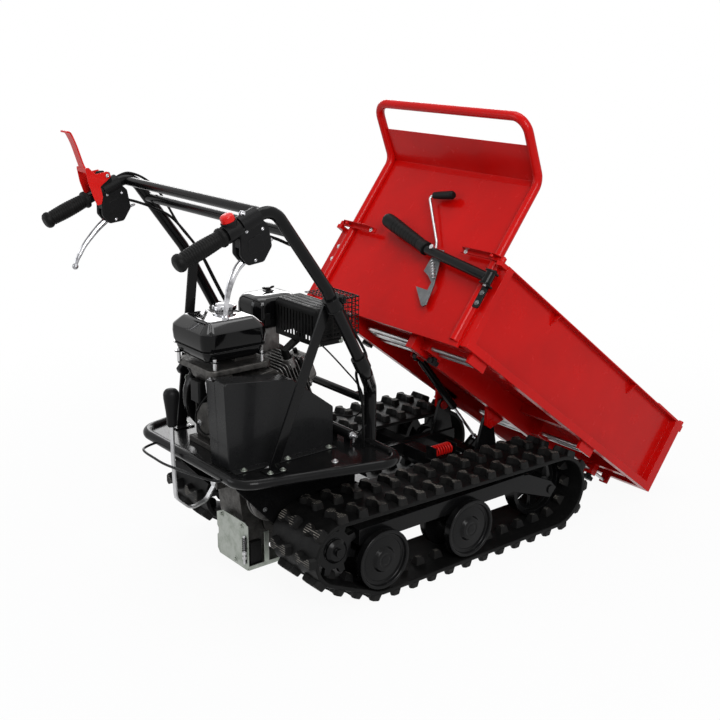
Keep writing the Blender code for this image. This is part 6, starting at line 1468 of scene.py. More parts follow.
def engine_side_parts():
    """Bolts, filler, switch and wires on the side of the crankcase that faces the driver."""
    solids = []
    for y, z in ((-0.072, 0.392), (-0.072, 0.470), (0.010, 0.388), (0.070, 0.400), (0.070, 0.486),
                 (-0.020, 0.478)):
        solids.append(bolt((-0.268, y, z), (-1, 0, 0), 0.0045, "zinc"))
    rows = [(0, 0.030), (0.010, 0.030), (0.0125, 0.026), (0.0125, 0.012), (0.0085, 0.010), (0.0085, -0.002),
            (0, -0.002)]
    filler = clad(turned(rows, "z", (0, 0)), "black_plastic")
    solids.append(stood(filler, (-0.268, -0.046, 0.398), (-1, 0, 0.55)))
    rows = [(0, 0.040), (0.006, 0.040), (0.006, 0.034), (0.0135, 0.033), (0.0145, 0.030), (0.0145, 0.004),
            (0.012, 0), (0, 0)]
    solids.append(stood(clad(turned(rows, "z", (0, 0)), "zinc"), (-0.292, -0.036, 0.508), (-0.20, -0.15, 1)))
    solids.append(bolt((-0.300, -0.042, 0.547), (-0.20, -0.15, 1), 0.0048, "zinc"))
    box = rounded_box((-0.302, 0.010, 0.470), (-0.270, 0.052, 0.524), 0.006, 0.003)
    solids.append(clad(box, "black_plastic"))
    wires = (
        ((-0.290, 0.030, 0.470), (-0.306, 0.022, 0.430), (-0.300, -0.006, 0.400), (-0.280, -0.030, 0.412)),
        ((-0.292, -0.030, 0.512), (-0.310, -0.012, 0.480), (-0.306, 0.014, 0.455), (-0.288, 0.040, 0.470)),
        ((-0.280, 0.046, 0.520), (-0.300, 0.062, 0.500), (-0.302, 0.066, 0.440), (-0.276, 0.060, 0.396)),
        ((-0.296, -0.044, 0.540), (-0.308, -0.058, 0.500), (-0.300, -0.062, 0.440), (-0.270, -0.058, 0.410)),
    )
    for points, radius in zip(wires, (0.0024, 0.0022, 0.0026, 0.0020)):
        solids.append(clad(cable_mesh(points, radius), "rubber"))
    return solids


def valve_cover_mesh():
    """Rounded cover on the end of the cylinder, with its four bolts and breather."""
    place = cylinder_frame()
    outline = [(-0.042, -0.040), (0.042, -0.040), (0.042, 0.042), (-0.042, 0.042)]
    rim = prism(smooth_outline(outline, 0.010), "x", HEAD_END + GAP, HEAD_END + 0.005)
    outline = [(-0.036, -0.034), (0.036, -0.034), (0.036, 0.036), (-0.036, 0.036)]
    dome = cushion(smooth_outline(outline, 0.012), "x", HEAD_END + 0.003, HEAD_END + 0.030, 0.007)
    solids = [rim, dome]
    for y in (-0.034, 0.034):
        for z in (-0.033, 0.035):
            solids.append(bolt((HEAD_END + 0.0045, y, z), (1, 0, 0), 0.0038, "zinc"))
    solids.append(clad(cylinder("z", (HEAD_END + 0.018, 0.010), 0.006, 0.030, 0.046), "black_plastic"))
    return moved(unite(solids), place)


def rounded_box(low, high, corner, edge=0.0):
    """Box with upright rounded corners and, if asked, softened upper and lower edges."""
    rings = [(low[2], 0.0), (high[2], 0.0)]
    if edge:
        rings = [(low[2], edge), (low[2] + edge * 0.6, 0.0), (high[2] - edge, 0.0)]
        rings += [(high[2] - edge * 0.3, edge * 0.3), (high[2], edge)]
    return stacked(low, high, corner, rings)


def stacked(low, high, corner, rings, steps=2):
    """Upright form on a rounded rectangle, from rings of (height, inset)."""
    corners = []
    count = 0
    for z, inset in rings:
        x0, y0, x1, y1 = low[0] + inset, low[1] + inset, high[0] - inset, high[1] - inset
        radius = max(corner - inset * 0.6, 0.004)
        outline = smooth_outline([(x0, y0), (x1, y0), (x1, y1), (x0, y1)], radius, steps)
        count = len(outline)
        corners += [(x, y, z) for x, y in outline]
    faces = [list(range(count)), list(range(len(corners) - 1, len(corners) - count - 1, -1))]
    for ring in range(len(rings) - 1):
        for i in range(count):
            j = (i + 1) % count
            a = ring * count
            faces.append([a + i, a + j, a + count + j, a + count + i])
    return solid(corners, faces)


def tank_mesh():
    """Fuel tank: pan and cover joined at a seam flange, chamfered shoulders, and a dish round the filler."""
    seam = 0.612
    pan = [(TANK_LOW[2], 0.026), (TANK_LOW[2] + 0.002, 0.020), (TANK_LOW[2] + 0.008, 0.013),
           (seam - 0.008, 0.008), (seam + 0.002, 0.008)]
    flange = [(seam, 0.0012), (seam + 0.0022, 0.0012)]
    cover = [(seam + 0.0018, 0.005), (seam + 0.012, 0.0015), (seam + 0.030, 0.0), (0.6560, 0.0012),
             (0.6600, 0.0040), (0.6740, 0.0190), (0.6785, 0.0250), (0.6800, 0.0320)]
    dish = [(0, 0.6700), (0.030, 0.6700), (0.0335, 0.6712), (0.0440, 0.6795), (0.0455, 0.6900), (0, 0.6900)]
    upper = cut(stacked(TANK_LOW, TANK_HIGH, 0.026, cover, 3), [turned(dish, "z", CAP_PLACE)])
    neck = clad(cylinder("z", CAP_PLACE, 0.0215, 0.6690, TANK_HIGH[2] + 0.0008), "zinc")
    foot = prism([(-0.225, 0.594), (-0.165, 0.594), (-0.165, 0.5504), (-0.225, 0.5424)], "y", -0.030, 0.060)
    solids = [upper]
    solids += [stacked(TANK_LOW, TANK_HIGH, 0.026, rings, 3) for rings in (pan, flange)]
    solids += [neck, clad(foot, "cast_dark")]
    for px, py in ((-0.300, -0.062), (-0.172, -0.062), (-0.318, 0.070)):
        lug = cylinder("z", (px, py), 0.010, seam - 0.022, seam - 0.019)
        solids += [lug, clad(cylinder("z", (px, py), 0.0045, 0.566, seam - 0.014), "zinc")]
    return unite(solids)


def cap_mesh():
    """Domed filler cap with a rolled rim and grip scallops."""
    top = TANK_HIGH[2]
    profile = [(0, top + 0.0180), (0.010, top + 0.0176), (0.019, top + 0.0160), (0.0235, top + 0.0140),
               (0.0250, top + 0.0128), (0.0282, top + 0.0120), (0.0292, top + 0.0100), (0.0292, top + 0.0040),
               (0.0280, top + 0.0022), (0.0225, top + 0.0022), (0.0225, top + 0.0065), (0, top + 0.0065)]
    cap = turned(profile, "z", CAP_PLACE)
    scallops = []
    for i in range(8):
        angle = 2 * math.pi * i / 8
        place = (CAP_PLACE[0] + 0.0325 * math.cos(angle), CAP_PLACE[1] + 0.0325 * math.sin(angle))
        scallops.append(cylinder("z", place, 0.0058, top + 0.001, top + 0.020))
    knob = [(0, top + 0.0180), (0.0055, top + 0.0178), (0.0070, top + 0.0168), (0.0070, top + 0.0150),
            (0, top + 0.0150)]
    return unite([cut(cap, scallops), turned(knob, "z", CAP_PLACE)])


def carburettor_mesh():
    """Carburettor and intake between the cylinder and the air cleaner."""
    bowl = cylinder("z", (-0.055, 0.091), 0.018, 0.480, 0.512)
    body = block((-0.080, CARBURETTOR_FACE, 0.505), (-0.030, 0.112, AIR_CLEANER_FOOT - GAP))
    return unite([bowl, body])


def air_cleaner_mesh():
    """Air cleaner with a domed lid, its clips and its wing nut."""
    low, high = (-0.110, 0.047, AIR_CLEANER_FOOT), (0.022, 0.154, 0.690)
    base = [(AIR_CLEANER_FOOT, 0.010), (AIR_CLEANER_FOOT + 0.003, 0.006), (0.634, 0.005)]
    step = [(0.633, 0.002), (0.637, 0.002)]
    lid = [(0.6372, 0.0), (0.6640, 0.0), (0.6760, 0.003), (0.6830, 0.008), (0.6870, 0.014), (0.6890, 0.022),
           (0.6900, 0.034)]
    solids = [clad(stacked(low, high, 0.030, base, 3), "black_matt"), stacked(low, high, 0.030, step, 3)]
    solids.append(stacked(low, high, 0.030, lid, 3))
    x, y = -0.036, 0.108
    nut = [(0, 0.6885), (0.016, 0.6885), (0.014, 0.6915), (0.006, 0.6920), (0.006, 0.6985), (0, 0.6985)]
    solids.append(clad(turned(nut, "z", (x, y)), "black_plastic"))
    for sign in (-1, 1):
        wing = [(x + sign * 0.003, 0.6925), (x + sign * 0.017, 0.6965), (x + sign * 0.018, 0.7005),
                (x + sign * 0.012, 0.7010), (x + sign * 0.003, 0.6980)]
        solids.append(clad(prism(wing, "y", y - 0.0018, y + 0.0018), "black_plastic"))
    for px in (-0.080, -0.010):
        solids.append(clad(block((px - 0.007, 0.0450, 0.620), (px + 0.007, 0.0485, 0.650)), "black_plastic"))
    return unite(solids)


def muffler_mesh():
    """Muffler box with its inlet pipe from the cylinder head."""
    can = rounded_box((-0.052, -0.116, 0.614), (0.008, -0.012, 0.678), 0.018, 0.008)
    seam = rounded_box((-0.0535, -0.1175, 0.644), (0.0095, -0.0105, 0.647), 0.018)
    place = cylinder_frame()
    x, y, z = EXHAUST_PORT
    first = place @ Vector((x, y, z + GAP))
    second = place @ Vector((x, y, z + 0.020))
    pipe = tube([first, second, (-0.036, second.y, 0.604), (-0.034, second.y, 0.620)], 0.011)
    return unite([can, seam, pipe])


def guard_slots(low, high):
    """Cutters for the slots in the top and on both long sides of the muffler's shield."""
    slots = []
    for i in range(12):
        y = low.y + 0.013 + i * 0.0127
        slots.append(block((low.x + 0.012, y, high.z - 0.006), (high.x - 0.012, y + 0.0058, high.z + 0.004)))
        slots.append(block((low.x - 0.004, y, low.z + 0.012), (low.x + 0.004, y + 0.0062, high.z - 0.018)))
    for i in range(4):
        y = low.y + 0.020 + i * 0.026
        slots.append(block((high.x - 0.004, y, low.z + 0.012), (high.x + 0.004, y + 0.013, high.z - 0.020)))
    return slots


def muffler_guard_mesh():
    """Heat shield over the muffler, with a slotted top, slotted sides and louvres on its near end."""
    low = Vector((-0.062, -0.1300, 0.600))
    high = Vector((0.018, 0.0440, 0.692))
    sheet = Vector((0.0016, 0.0016, 0))
    rings = [(low.z, 0.0), (high.z - 0.012, 0.0), (high.z - 0.0045, 0.0025), (high.z - 0.0012, 0.0060),
             (high.z, 0.011)]
    shell = stacked(low, high, 0.009, rings)
    inner = [(low.z - 0.010, 0.0), (high.z - 0.013, 0.0), (high.z - 0.0060, 0.003), (high.z - 0.0028, 0.0065),
             (high.z - 0.0016, 0.011)]
    room = stacked(low + sheet, high - sheet, 0.0075, inner)
    solids = [cut(shell, [room] + guard_slots(low, high))]
    for i in range(8):
        z = low.z + 0.009 + i * 0.0092
        louvre = [(low.y - 0.0030, z), (low.y + 0.0010, z + 0.0048), (low.y + 0.0010, z + 0.0066),
                  (low.y - 0.0030, z + 0.0018)]
        solids.append(prism(louvre, "x", low.x + 0.008, high.x - 0.008))
    solids.append(block((-0.040, -0.1295, 0.604), (-0.020, -0.1163, 0.640)))
    for x in (low.x + 0.006, high.x - 0.006):
        solids.append(bolt((x, low.y, low.z + 0.006), (0, -1, 0), 0.0038))
    return unite(solids)


def cage_mesh():
    """Welded wire cage round the outlet of the muffler, hung on the shield."""
    (x0, y0, z0), (x1, y1, z1) = CAGE_LOW, CAGE_HIGH
    wires = []
    columns, rows, depth_rows = 7, 8, 9
    for i in range(rows + 1):
        z = z0 + (z1 - z0) * i / rows
        wires.append([(x0, y0, z), (x1, y0, z), (x1, y1, z)])
    for i in range(columns + 1):
        x = x0 + (x1 - x0) * i / columns
        wires.append([(x, y0, z0), (x, y0, z1), (x, y1, z1)])
        wires.append([(x, y0, z0), (x, y1, z0)])
    for i in range(1, depth_rows + 1):
        y = y0 + (y1 - y0) * i / depth_rows
        wires.append([(x0 if y < -0.131 else 0.0175, y, z0), (x1, y, z0), (x1, y, z1), (x0, y, z1)])
    solids = [sweep(route, circle(CAGE_WIRE, 8)) for route in wires]
    for z in (z0, z1):
        solids.append(sweep([(x0, y0, z), (x1, y0, z), (x1, y1, z)], circle(CAGE_WIRE * 1.8, 10)))
    solids.append(sweep([(x0, y0, z0), (x0, y0, z1)], circle(CAGE_WIRE * 1.8, 10)))
    return unite(solids)


def starter_direction():
    """Unit direction in which the starter rope leaves its housing."""
    return Vector((-1, 0, 1)).normalized()


def recoil_mesh():
    """Recoil starter housing on the far side of the crankcase, with vents and bolts."""
    rows = [(0, 0.0948), (0.096, 0.0948), (0.0975, 0.100), (0.098, 0.112), (0.090, 0.126), (0.080, 0.133),
            (0.060, 0.1355), (0.040, 0.1360), (0.037, 0.1400), (0.030, 0.142), (0, 0.142)]
    drum = turned(rows, "y", (CRANK_X, CRANK_Z))
    slots = []
    for i in range(16):
        matrix = Matrix.Translation((CRANK_X, 0, CRANK_Z)) @ Matrix.Rotation(2 * math.pi * i / 16, 4, "Y")
        slots.append(moved(block((0.048, 0.126, -0.0045), (0.076, 0.150, 0.0045)), matrix))
    away = starter_direction()
    centre = Vector((CRANK_X, STARTER_Y, CRANK_Z))
    guide = tube([centre + away * 0.070, centre + away * (STARTER_REACH - GAP)], 0.010)
    solids = [cut(drum, slots), guide]
    for i in range(3):
        angle = math.radians(30) + 2 * math.pi * i / 3
        place = (CRANK_X + 0.090 * math.cos(angle), 0.120, CRANK_Z + 0.090 * math.sin(angle))
        solids.append(bolt(place, (0, 1, 0), 0.0045))
    return unite(solids)


def starter_grip_mesh():
    """Handle of the starter rope, curved and hollowed for the fingers."""
    place = Vector((CRANK_X, STARTER_Y, CRANK_Z)) + starter_direction() * STARTER_REACH
    rows = [(0, 0.0), (0.006, 0.0), (0.0085, 0.004), (0.0080, 0.010), (0.010, 0.016), (0, 0.018)]
    stem = turned(rows, "z", (0, 0))
    outline = [(-0.027, 0.011), (-0.010, 0.0135), (0.010, 0.0135), (0.027, 0.011), (0.030, 0.018),
               (0.026, 0.0285), (0.0, 0.0305), (-0.026, 0.0285), (-0.030, 0.018)]
    bar = cushion(smooth_outline(outline, 0.0024), "y", -0.0095, 0.0095, 0.004)
    mesh = unite([stem, bar])
    return moved(mesh, Matrix.Translation(place) @ Matrix.Rotation(math.radians(-45), 4, "Y"))


def gear_lever_mesh():
    """Bent flat gear lever from its pivot on the gearbox, behind the platform's rear bar."""
    x, y, z = GEAR_PIVOT
    points = [(x - 0.006, y, z - 0.003), (x - 0.030, y, z - 0.036), (x - 0.075, y, z - 0.048),
              (HOOP_REAR - 0.022, y, z - 0.010), (HOOP_REAR - 0.025, y, GEAR_BEND_Z + 0.090), GEAR_TOP]
    bar = flat_bar(rounded(points, 0.030, 4), 0.0135, 0.0050, (0, 1, 0))
    boss = clad(cylinder("y", (x, z), 0.011, y - 0.010, y + 0.010), "zinc")
    return unite([bar, boss, clad(gear_knob_mesh(), "black_plastic")])


def gear_knob_mesh():
    """Long plastic knob on the gear lever, fluted near its foot."""
    top = Vector(GEAR_TOP)
    bottom = Vector((HOOP_REAR - 0.026, GEAR_TOP[1], GEAR_BEND_Z))
    line = (top - bottom).normalized()
    profile = [(0, 0.0820), (0.007, 0.0818), (0.0130, 0.0795), (0.0172, 0.0745), (0.0188, 0.0680),
               (0.0184, 0.0580), (0.0165, 0.0440), (0.0138, 0.0240), (0.0124, 0.0080), (0.0120, -0.0060),
               (0.0105, -0.0110), (0, -0.012)]
    return stood(turned(profile, "z", (0, 0)), top, line)


def square_up(line):
    """Unit direction square to a line in the plane of X and Z, turned upwards."""
    up = Vector((0, 1, 0)).cross(line.normalized())
    return up if up.z > 0 else -up


def pin_across(centre, half, radius):
    """Round pin along Y."""
    reach = Vector((0, half, 0))
    return tube([centre - reach, centre + reach], radius)


def clamp_ring(start, end):
    """Chromed split ring round the bar, with its two ears and bolt."""
    middle = (start + end) / 2 + square_up(end - start) * 0.021
    solids = [tube([start, end], ARM_RADIUS + 0.0032), pin_across(middle, 0.009, 0.0024)]
    for sign in (-1, 1):
        solids.append(pin_across(middle + Vector((0, sign * 0.0030, 0)), 0.0011, 0.0062))
    return [clad(mesh, "chrome") for mesh in solids]


def adjuster(place, line):
    """Cable adjuster: barrel, lock nut and ferrule."""
    rows = [(0, -0.004), (0.0042, -0.004), (0.0042, 0.009), (0.0036, 0.010), (0.0036, 0.022), (0.0028, 0.026),
            (0, 0.026)]
    barrel = turned(rows, "z", (0, 0))
    nut = cylinder("z", (0, 0), 0.0064, 0.003, 0.0075, 6)
    return stood(clad(unite([barrel, nut]), "chrome"), place, line)


def perch_shells(x, y, z):
    """Slotted core and two cushioned halves of a lever housing, each with a raised field and screws."""
    outline = [(x - 0.030, z + 0.004), (x - 0.029, z + 0.050), (x - 0.014, z + 0.074), (x + 0.014, z + 0.082),
               (x + 0.038, z + 0.060), (x + 0.046, z + 0.016), (x + 0.026, z - 0.014), (x - 0.012, z - 0.018)]
    shape = smooth_outline(outline, 0.009)
    core = smooth_outline([(x + (a - x - 0.008) * 0.96 + 0.008, z + (b - z - 0.030) * 0.96 + 0.030)
                           for a, b in outline], 0.008)
    slot = block((x - 0.060, y - 0.0068, z - 0.030), (x + 0.018, y + 0.0068, z + 0.018))
    solids = [cut(prism(core, "y", y - 0.0170, y + 0.0170), [slot])]
    field = [(x - 0.012, z + 0.004), (x - 0.014, z + 0.034), (x + 0.018, z + 0.046), (x + 0.028, z + 0.012)]
    for sign in (-1, 1):
        solids.append(cushion(shape, "y", y + sign * 0.0074, y + sign * 0.0184, 0.0045))
        face = y + sign * 0.0182
        start, end = face - sign * 0.002, face + sign * 0.0016
        solids.append(cushion(smooth_outline(field, 0.007), "y", start, end, 0.0010))
        for px, pz in ((x + 0.022, z + 0.054), (x - 0.016, z + 0.052), (x + 0.004, z - 0.008)):
            solids.append(screw((px, face - sign * 0.0006, pz), (0, sign, 0), 0.0038))
    return solids


def button_seat():
    """Ring, seat and collar of the stop button, with the clamp ring beside it."""
    place, up = button_place()
    ring = tube([bar_point(0.113, -1), bar_point(0.147, -1)], ARM_RADIUS + 0.006)
    seat = tube([place - up * 0.034, place - up * 0.022], 0.0168)
    rows = [(0.0154, -0.024), (0.0170, -0.024), (0.0170, -0.0145), (0.0154, -0.0145), (0.0154, -0.024)]
    collar = stood(turned(rows, "z", (0, 0)), place, up)
    return [ring, seat, collar] + clamp_ring(bar_point(0.158, -1), bar_point(0.174, -1))


def perch_mesh(side):
    """Two-part lever housing below its clamp round the bar, with what is clamped beside it."""
    y = ARM_Y * side
    x, z = LEVER_PLACE
    solids = [tube([bar_point(0.150, side), bar_point(0.196, side)], ARM_RADIUS + 0.0075)]
    solids += perch_shells(x, y, z)
    solids.append(clad(cylinder("y", (x, z), 0.004, y - 0.010, y + 0.010), "chrome"))
    if side > 0:
        solids.append(adjuster((UPPER_EXIT[0], y, UPPER_EXIT[1]), (0.040, 0, 0.022)))
        solids.append(adjuster((LOWER_EXIT[0], y - 0.003, LOWER_EXIT[1]), (0.036, 0, 0.010)))
        solids.append(clutch_mount_mesh())
    else:
        place = (LOWER_EXIT[0] - 0.004, y + 0.002, LOWER_EXIT[1] + 0.004)
        solids.append(adjuster(place, (0.030, 0, 0.010)))
        solids += button_seat()
    return unite(solids)


def button_place():
    """Top of the stop button and the direction in which it stands off the bar."""
    up = square_up(bar_point(0.1, -1) - bar_point(0, -1))
    return bar_point(0.131, -1) + up * 0.037, up


def stop_button_mesh():
    """Long push button with a rounded top and its stem."""
    place, up = button_place()
    rows = [(0, 0.0), (0.0105, -0.0004), (0.0136, -0.0022), (0.0148, -0.0055), (0.0148, -0.0145),
            (0.0128, -0.0150), (0.006, -0.0152), (0, -0.0152)]
    return stood(turned(rows, "z", (0, 0)), place, up)


def steering_lever_mesh(side):
    """Curved polished lever, wide at its pivot, with a ball end."""
    y = ARM_Y * side
    points = [(x, y, z) for x, z in STEERING_ROUTES[side]]
    route = smooth_route(points, 6)
    count = len(route) - 1
    section = [(0.0082 * a, 0.0052 * b) for a, b in circle(1.0, 20)]
    widths = [1.10 - 0.52 * (i / count) ** 0.8 for i in range(count + 1)]
    blade = sweep(route, section, side=(0, 0.35, 0.94), ends=widths)
    x, z = LEVER_PLACE
    boss = cylinder("y", (x, z), 0.0115, y - 0.0062, y + 0.0062)
    tip = STEERING_ROUTES[side][-1]
    rows = []
    for k in range(9):
        turn = math.pi * k / 8
        rows.append((0.0078 * math.sin(turn), y - 0.0078 * math.cos(turn)))
    ball = turned(rows, "y", tip)
    return unite([blade, boss, ball])


def clutch_lever_mesh():
    """Red sheet lever above the left grip: a flared paddle on two legs that straddle the bar."""
    x, z = CLUTCH_PIVOT
    y = ARM_Y
    points = [(-0.4220, y, 0.9950), (-0.4250, y, 1.0040), (-0.4300, y, 1.0180), (-0.4420, y, 1.0560),
              (-0.4520, y, 1.0800), (-0.4580, y, 1.0885), (-0.4660, y, 1.0900)]
    route = smooth_route(points, 5)
    count = len(route) - 1
    shares = [i / count for i in range(count + 1)]
    widths = [1.20 - 0.25 * min(1.0, 3.2 * share) + 0.42 * max(0.0, share - 0.55) for share in shares]
    section = [(-0.0150, -0.0012), (-0.0142, -0.0020), (0.0142, -0.0020), (0.0150, -0.0012), (0.0150, 0.0012),
               (0.0142, 0.0020), (-0.0142, 0.0020), (-0.0150, 0.0012)]
    paddle = sweep(route, section, side=(0, 1, 0), ends=widths)
    rib = sweep(smooth_route([(a + 0.0032, b, c + 0.001) for a, b, c in points[1:5]], 5), circle(0.0036, 12))
    outline = [(-0.4295, 1.0060), (-0.4200, 1.0060), (-0.4050, 0.9900), (x, z + 0.0105), (x + 0.0105, z),
               (x, z - 0.0105), (-0.3930, 0.9600), (-0.3880, 0.9360), (-0.3920, 0.9180), (-0.4040, 0.9160),
               (-0.4130, 0.9380), (-0.4235, 0.9700)]
    solids = [paddle, rib]
    for sign in (-1, 1):
        leg = smooth_outline(outline, 0.004)
        solids.append(prism(leg, "y", y + sign * 0.0222, y + sign * 0.0244))
        solids.append(cylinder("y", (x, z), 0.0085, y + sign * 0.0180, y + sign * 0.0240))
        solids.append(screw((x, y + sign * 0.0244, z), (0, sign, 0), 0.0050))
    yoke = [(-0.4295, 1.0060), (-0.4215, 1.0060), (-0.4185, 0.9950), (-0.4265, 0.9930)]
    return unite(solids + [prism(smooth_outline(yoke, 0.002), "y", y - 0.0235, y + 0.0235)])


def clutch_mount_mesh():
    """Clevis of the clutch lever, clamped round the left bar."""
    x, z = CLUTCH_PIVOT
    y = ARM_Y
    solids = []
    for sign in (-1, 1):
        outline = [(x - 0.012, z - 0.022), (x - 0.010, z + 0.008), (x + 0.010, z + 0.008),
                   (x + 0.016, z - 0.016)]
        solids.append(prism(smooth_outline(outline, 0.004), "y", y + sign * 0.0125, y + sign * 0.0170))
    solids.append(tube([bar_point(0.130, 1), bar_point(0.148, 1)], ARM_RADIUS + 0.0065))
    solids.append(clad(cylinder("y", (x, z), 0.004, y - 0.0176, y + 0.0176), "chrome"))
    solids.append(block((x - 0.020, y - 0.0165, z - 0.040), (x + 0.008, y + 0.0165, z - 0.0125)))
    return unite(solids)


def bx(distance):
    """Distance along the box from its rear edge, as X from the hinge."""
    return distance - BOX_OVERHANG


def bz(height):
    """Height above the box's lower edge, as Z from the hinge."""
    return height + BOX_LIFT


def knob_places():
    """Clamp knobs as (distance along the box, y, height of the face that they screw into)."""
    places = []
    for x, owner in rod_rows()[:2]:
        side = 1 if owner == "left" else -1
        places.append((x + ROD_SPREAD, (LONGERON_OUTER + 0.0185) * side, -ROD_DROP - 0.012))
    places.append((0.863, -FRONT_ROD_Y, -FRONT_ROD_DROP - 0.012))
    return places


def clamp_knob_mesh(x, y, foot):
    """Lobed clamp knob below a guide, with its screw."""
    outline = []
    lobes = 5
    for i in range(lobes):
        for radius, share in ((0.017, 0.25), (0.017, 0.60), (0.0115, 0.925)):
            angle = 2 * math.pi * (i + share) / lobes
            outline.append((bx(x) + radius * math.cos(angle), y + radius * math.sin(angle)))
    head = prism(outline, "z", bz(foot - 0.018), bz(foot - 0.006))
    neck = cylinder("z", (bx(x), y), 0.009, bz(foot - 0.008), bz(foot - GAP))
    stud = cylinder("z", (bx(x), y), KNOB_SCREW_RADIUS, bz(foot - 0.008), bz(foot + KNOB_SCREW_REACH))
    return unite([head, neck, stud])


def front_rod_mesh(side):
    """Galvanised rod that carries one side of the front panel."""
    front = BOX_LENGTH - 0.026 + SHEET + 0.006
    centre = (FRONT_ROD_Y * side, bz(-FRONT_ROD_DROP))
    return clad(cylinder("x", centre, ROD_RADIUS, bx(front - FRONT_ROD_REACH), bx(front)), "zinc")


def longeron(side):
    """Longeron of one side, with its hinge ear, the ear's foot and the hinge pin."""
    low = (bx(0.020), LONGERON_INNER * side, bz(-LONGERON_DROP))
    solids = [block(low, (bx(0.900), LONGERON_OUTER * side, bz(FLOOR_BOTTOM + 0.001)))]
    outline = [(-0.045, bz(-LONGERON_DROP + 0.004)), (-0.017, -0.006), (-0.010, -0.016), (0.010, -0.016),
               (0.017, -0.006), (0.045, bz(-LONGERON_DROP + 0.004)), (0.045, bz(-0.020)),
               (-0.045, bz(-0.020))]
    solids.append(prism(outline, "y", BOX_EAR_INNER * side, BOX_EAR_OUTER * side))
    low = (-0.045, BOX_EAR_INNER * side, bz(-0.034))
    solids.append(block(low, (0.045, (LONGERON_INNER + 0.004) * side, bz(-0.020))))
    return solids + [hinge_pin_mesh(side)]


def strut_head():
    """Two ears and the pin that hold the upper end of the gas strut."""
    x, z = STRUT_HEAD_X, STRUT_HEAD_Z
    inner = STRUT_EYE_HALF + 0.0015
    top = bz(0.0275)
    outline = [(x - 0.014, z - 0.008), (x + 0.014, z - 0.008), (x + 0.022, top), (x - 0.022, top)]
    solids = [prism(outline, "y", inner * side, (inner + 0.005) * side) for _, side in SIDES]
    reach = inner + 0.002
    return solids + [cylinder("y", (x, z), STRUT_PIN_RADIUS, -reach, reach)]


def rod_guides():
    """Guides of the slide rods: those of the side panels, then those of the front panel."""
    solids = []
    for x, owner in rod_rows():
        side = 1 if owner == "left" else -1
        low = (bx(x - 0.012), (LONGERON_OUTER - 0.002) * side, bz(-ROD_DROP - 0.012))
        high = (bx(x + ROD_SPREAD + 0.012), (LONGERON_OUTER + 0.030) * side, bz(FLOOR_BOTTOM + 0.001))
        solids.append(block(low, high))
    for _, side in SIDES:
        low = (bx(0.851), (FRONT_ROD_Y - 0.014) * side, bz(-FRONT_ROD_DROP - 0.012))
        solids.append(block(low, (bx(0.875), (FRONT_ROD_Y + 0.014) * side, bz(0.004))))
    return solids


def box_floor_mesh():
    """Floor sheet on two longerons and three cross channels, with hinge ears and guides for the rods."""
    half = BOX_HALF_WIDTH - PANEL_DEPTH - 0.0025
    solids = [block((bx(0.0092), -half, bz(FLOOR_BOTTOM)), (bx(BOX_LENGTH - 0.028), half, bz(FLOOR_TOP)))]
    for _, side in SIDES:
        solids += longeron(side)
    for x in (0.034, 0.500, 0.850):
        solids.append(block((bx(x), -0.292, bz(0.002)), (bx(x + 0.026), 0.292, bz(FLOOR_BOTTOM + 0.001))))
    return unite(solids + strut_head() + rod_guides())


def rod_rows():
    """Places of the slide rods along the box, each with the side that they carry."""
    rows = []
    for x in ROD_ROWS:
        rows.append((x, "right"))
        rows.append((x + ROD_ROW_STEP, "left"))
    return rows


def slide_rod_mesh(side, x):
    """Galvanised hairpin that carries a side panel; its bend is past the centre plane."""
    z = bz(-ROD_DROP)
    outer = (BOX_HALF_WIDTH - PANEL_DEPTH + 0.005) * side
    inner = -ROD_CROSSING * side
    points = [(bx(x), outer, z), (bx(x), inner, z), (bx(x + ROD_SPREAD), inner, z),
              (bx(x + ROD_SPREAD), outer, z)]
    return clad(tube(points, ROD_RADIUS, 0.0165, 4), "zinc")


def side_panel_mesh(side):
    """Side panel: pressed sheet with deep outward flanges, gussets and a lower rail that takes the rods."""
    inner = BOX_HALF_WIDTH - PANEL_DEPTH
    length = BOX_LENGTH
    shell = block((bx(0.0), inner * side, bz(0.0)), (bx(length), BOX_HALF_WIDTH * side, bz(BOX_HEIGHT)))
    low = (bx(0.024), (inner + SHEET) * side, bz(0.022))
    high = (bx(length - 0.034), (BOX_HALF_WIDTH + 0.010) * side, bz(BOX_HEIGHT - 0.0035))
    pocket = block(low, high)
    gussets = []
    for x in (0.254, 0.675):
        outline = [((inner + 0.001) * side, bz(BOX_HEIGHT - 0.002)),
                   ((inner + 0.001) * side, bz(BOX_HEIGHT - 0.036)),
                   ((inner + 0.005) * side, bz(BOX_HEIGHT - 0.036)),
                   ((BOX_HALF_WIDTH - 0.002) * side, bz(BOX_HEIGHT - 0.002))]
        gussets.append(prism(outline, "x", bx(x), bx(x + 0.003)))
    panel = unite([cut(shell, [pocket])] + gussets)
    name = "left" if side > 0 else "right"
    lugs = []
    for x, owner in rod_rows():
        if owner == name:
            reach = 0.016
            low = (bx(x - reach), (inner + 0.002) * side, bz(-ROD_DROP - 0.008))
            high = (bx(x + ROD_SPREAD + reach), (inner + 0.012) * side, bz(0.004))
            lugs.append(block(low, high))
            lugs.append(slide_rod_mesh(side, x))
    y = (BOX_HALF_WIDTH - 0.011) * side
    low = (bx(STRAP_X - 0.008), y - 0.009 * side, bz(STRAP_Z - 0.012))
    lugs.append(block(low, (bx(0.002), y + 0.009 * side, bz(STRAP_Z - 0.0003))))
    lugs.append(cylinder("z", (bx(STRAP_X), y), 0.0035, bz(STRAP_Z - 0.006), bz(STRAP_Z + 0.014)))
    return unite([panel] + lugs)


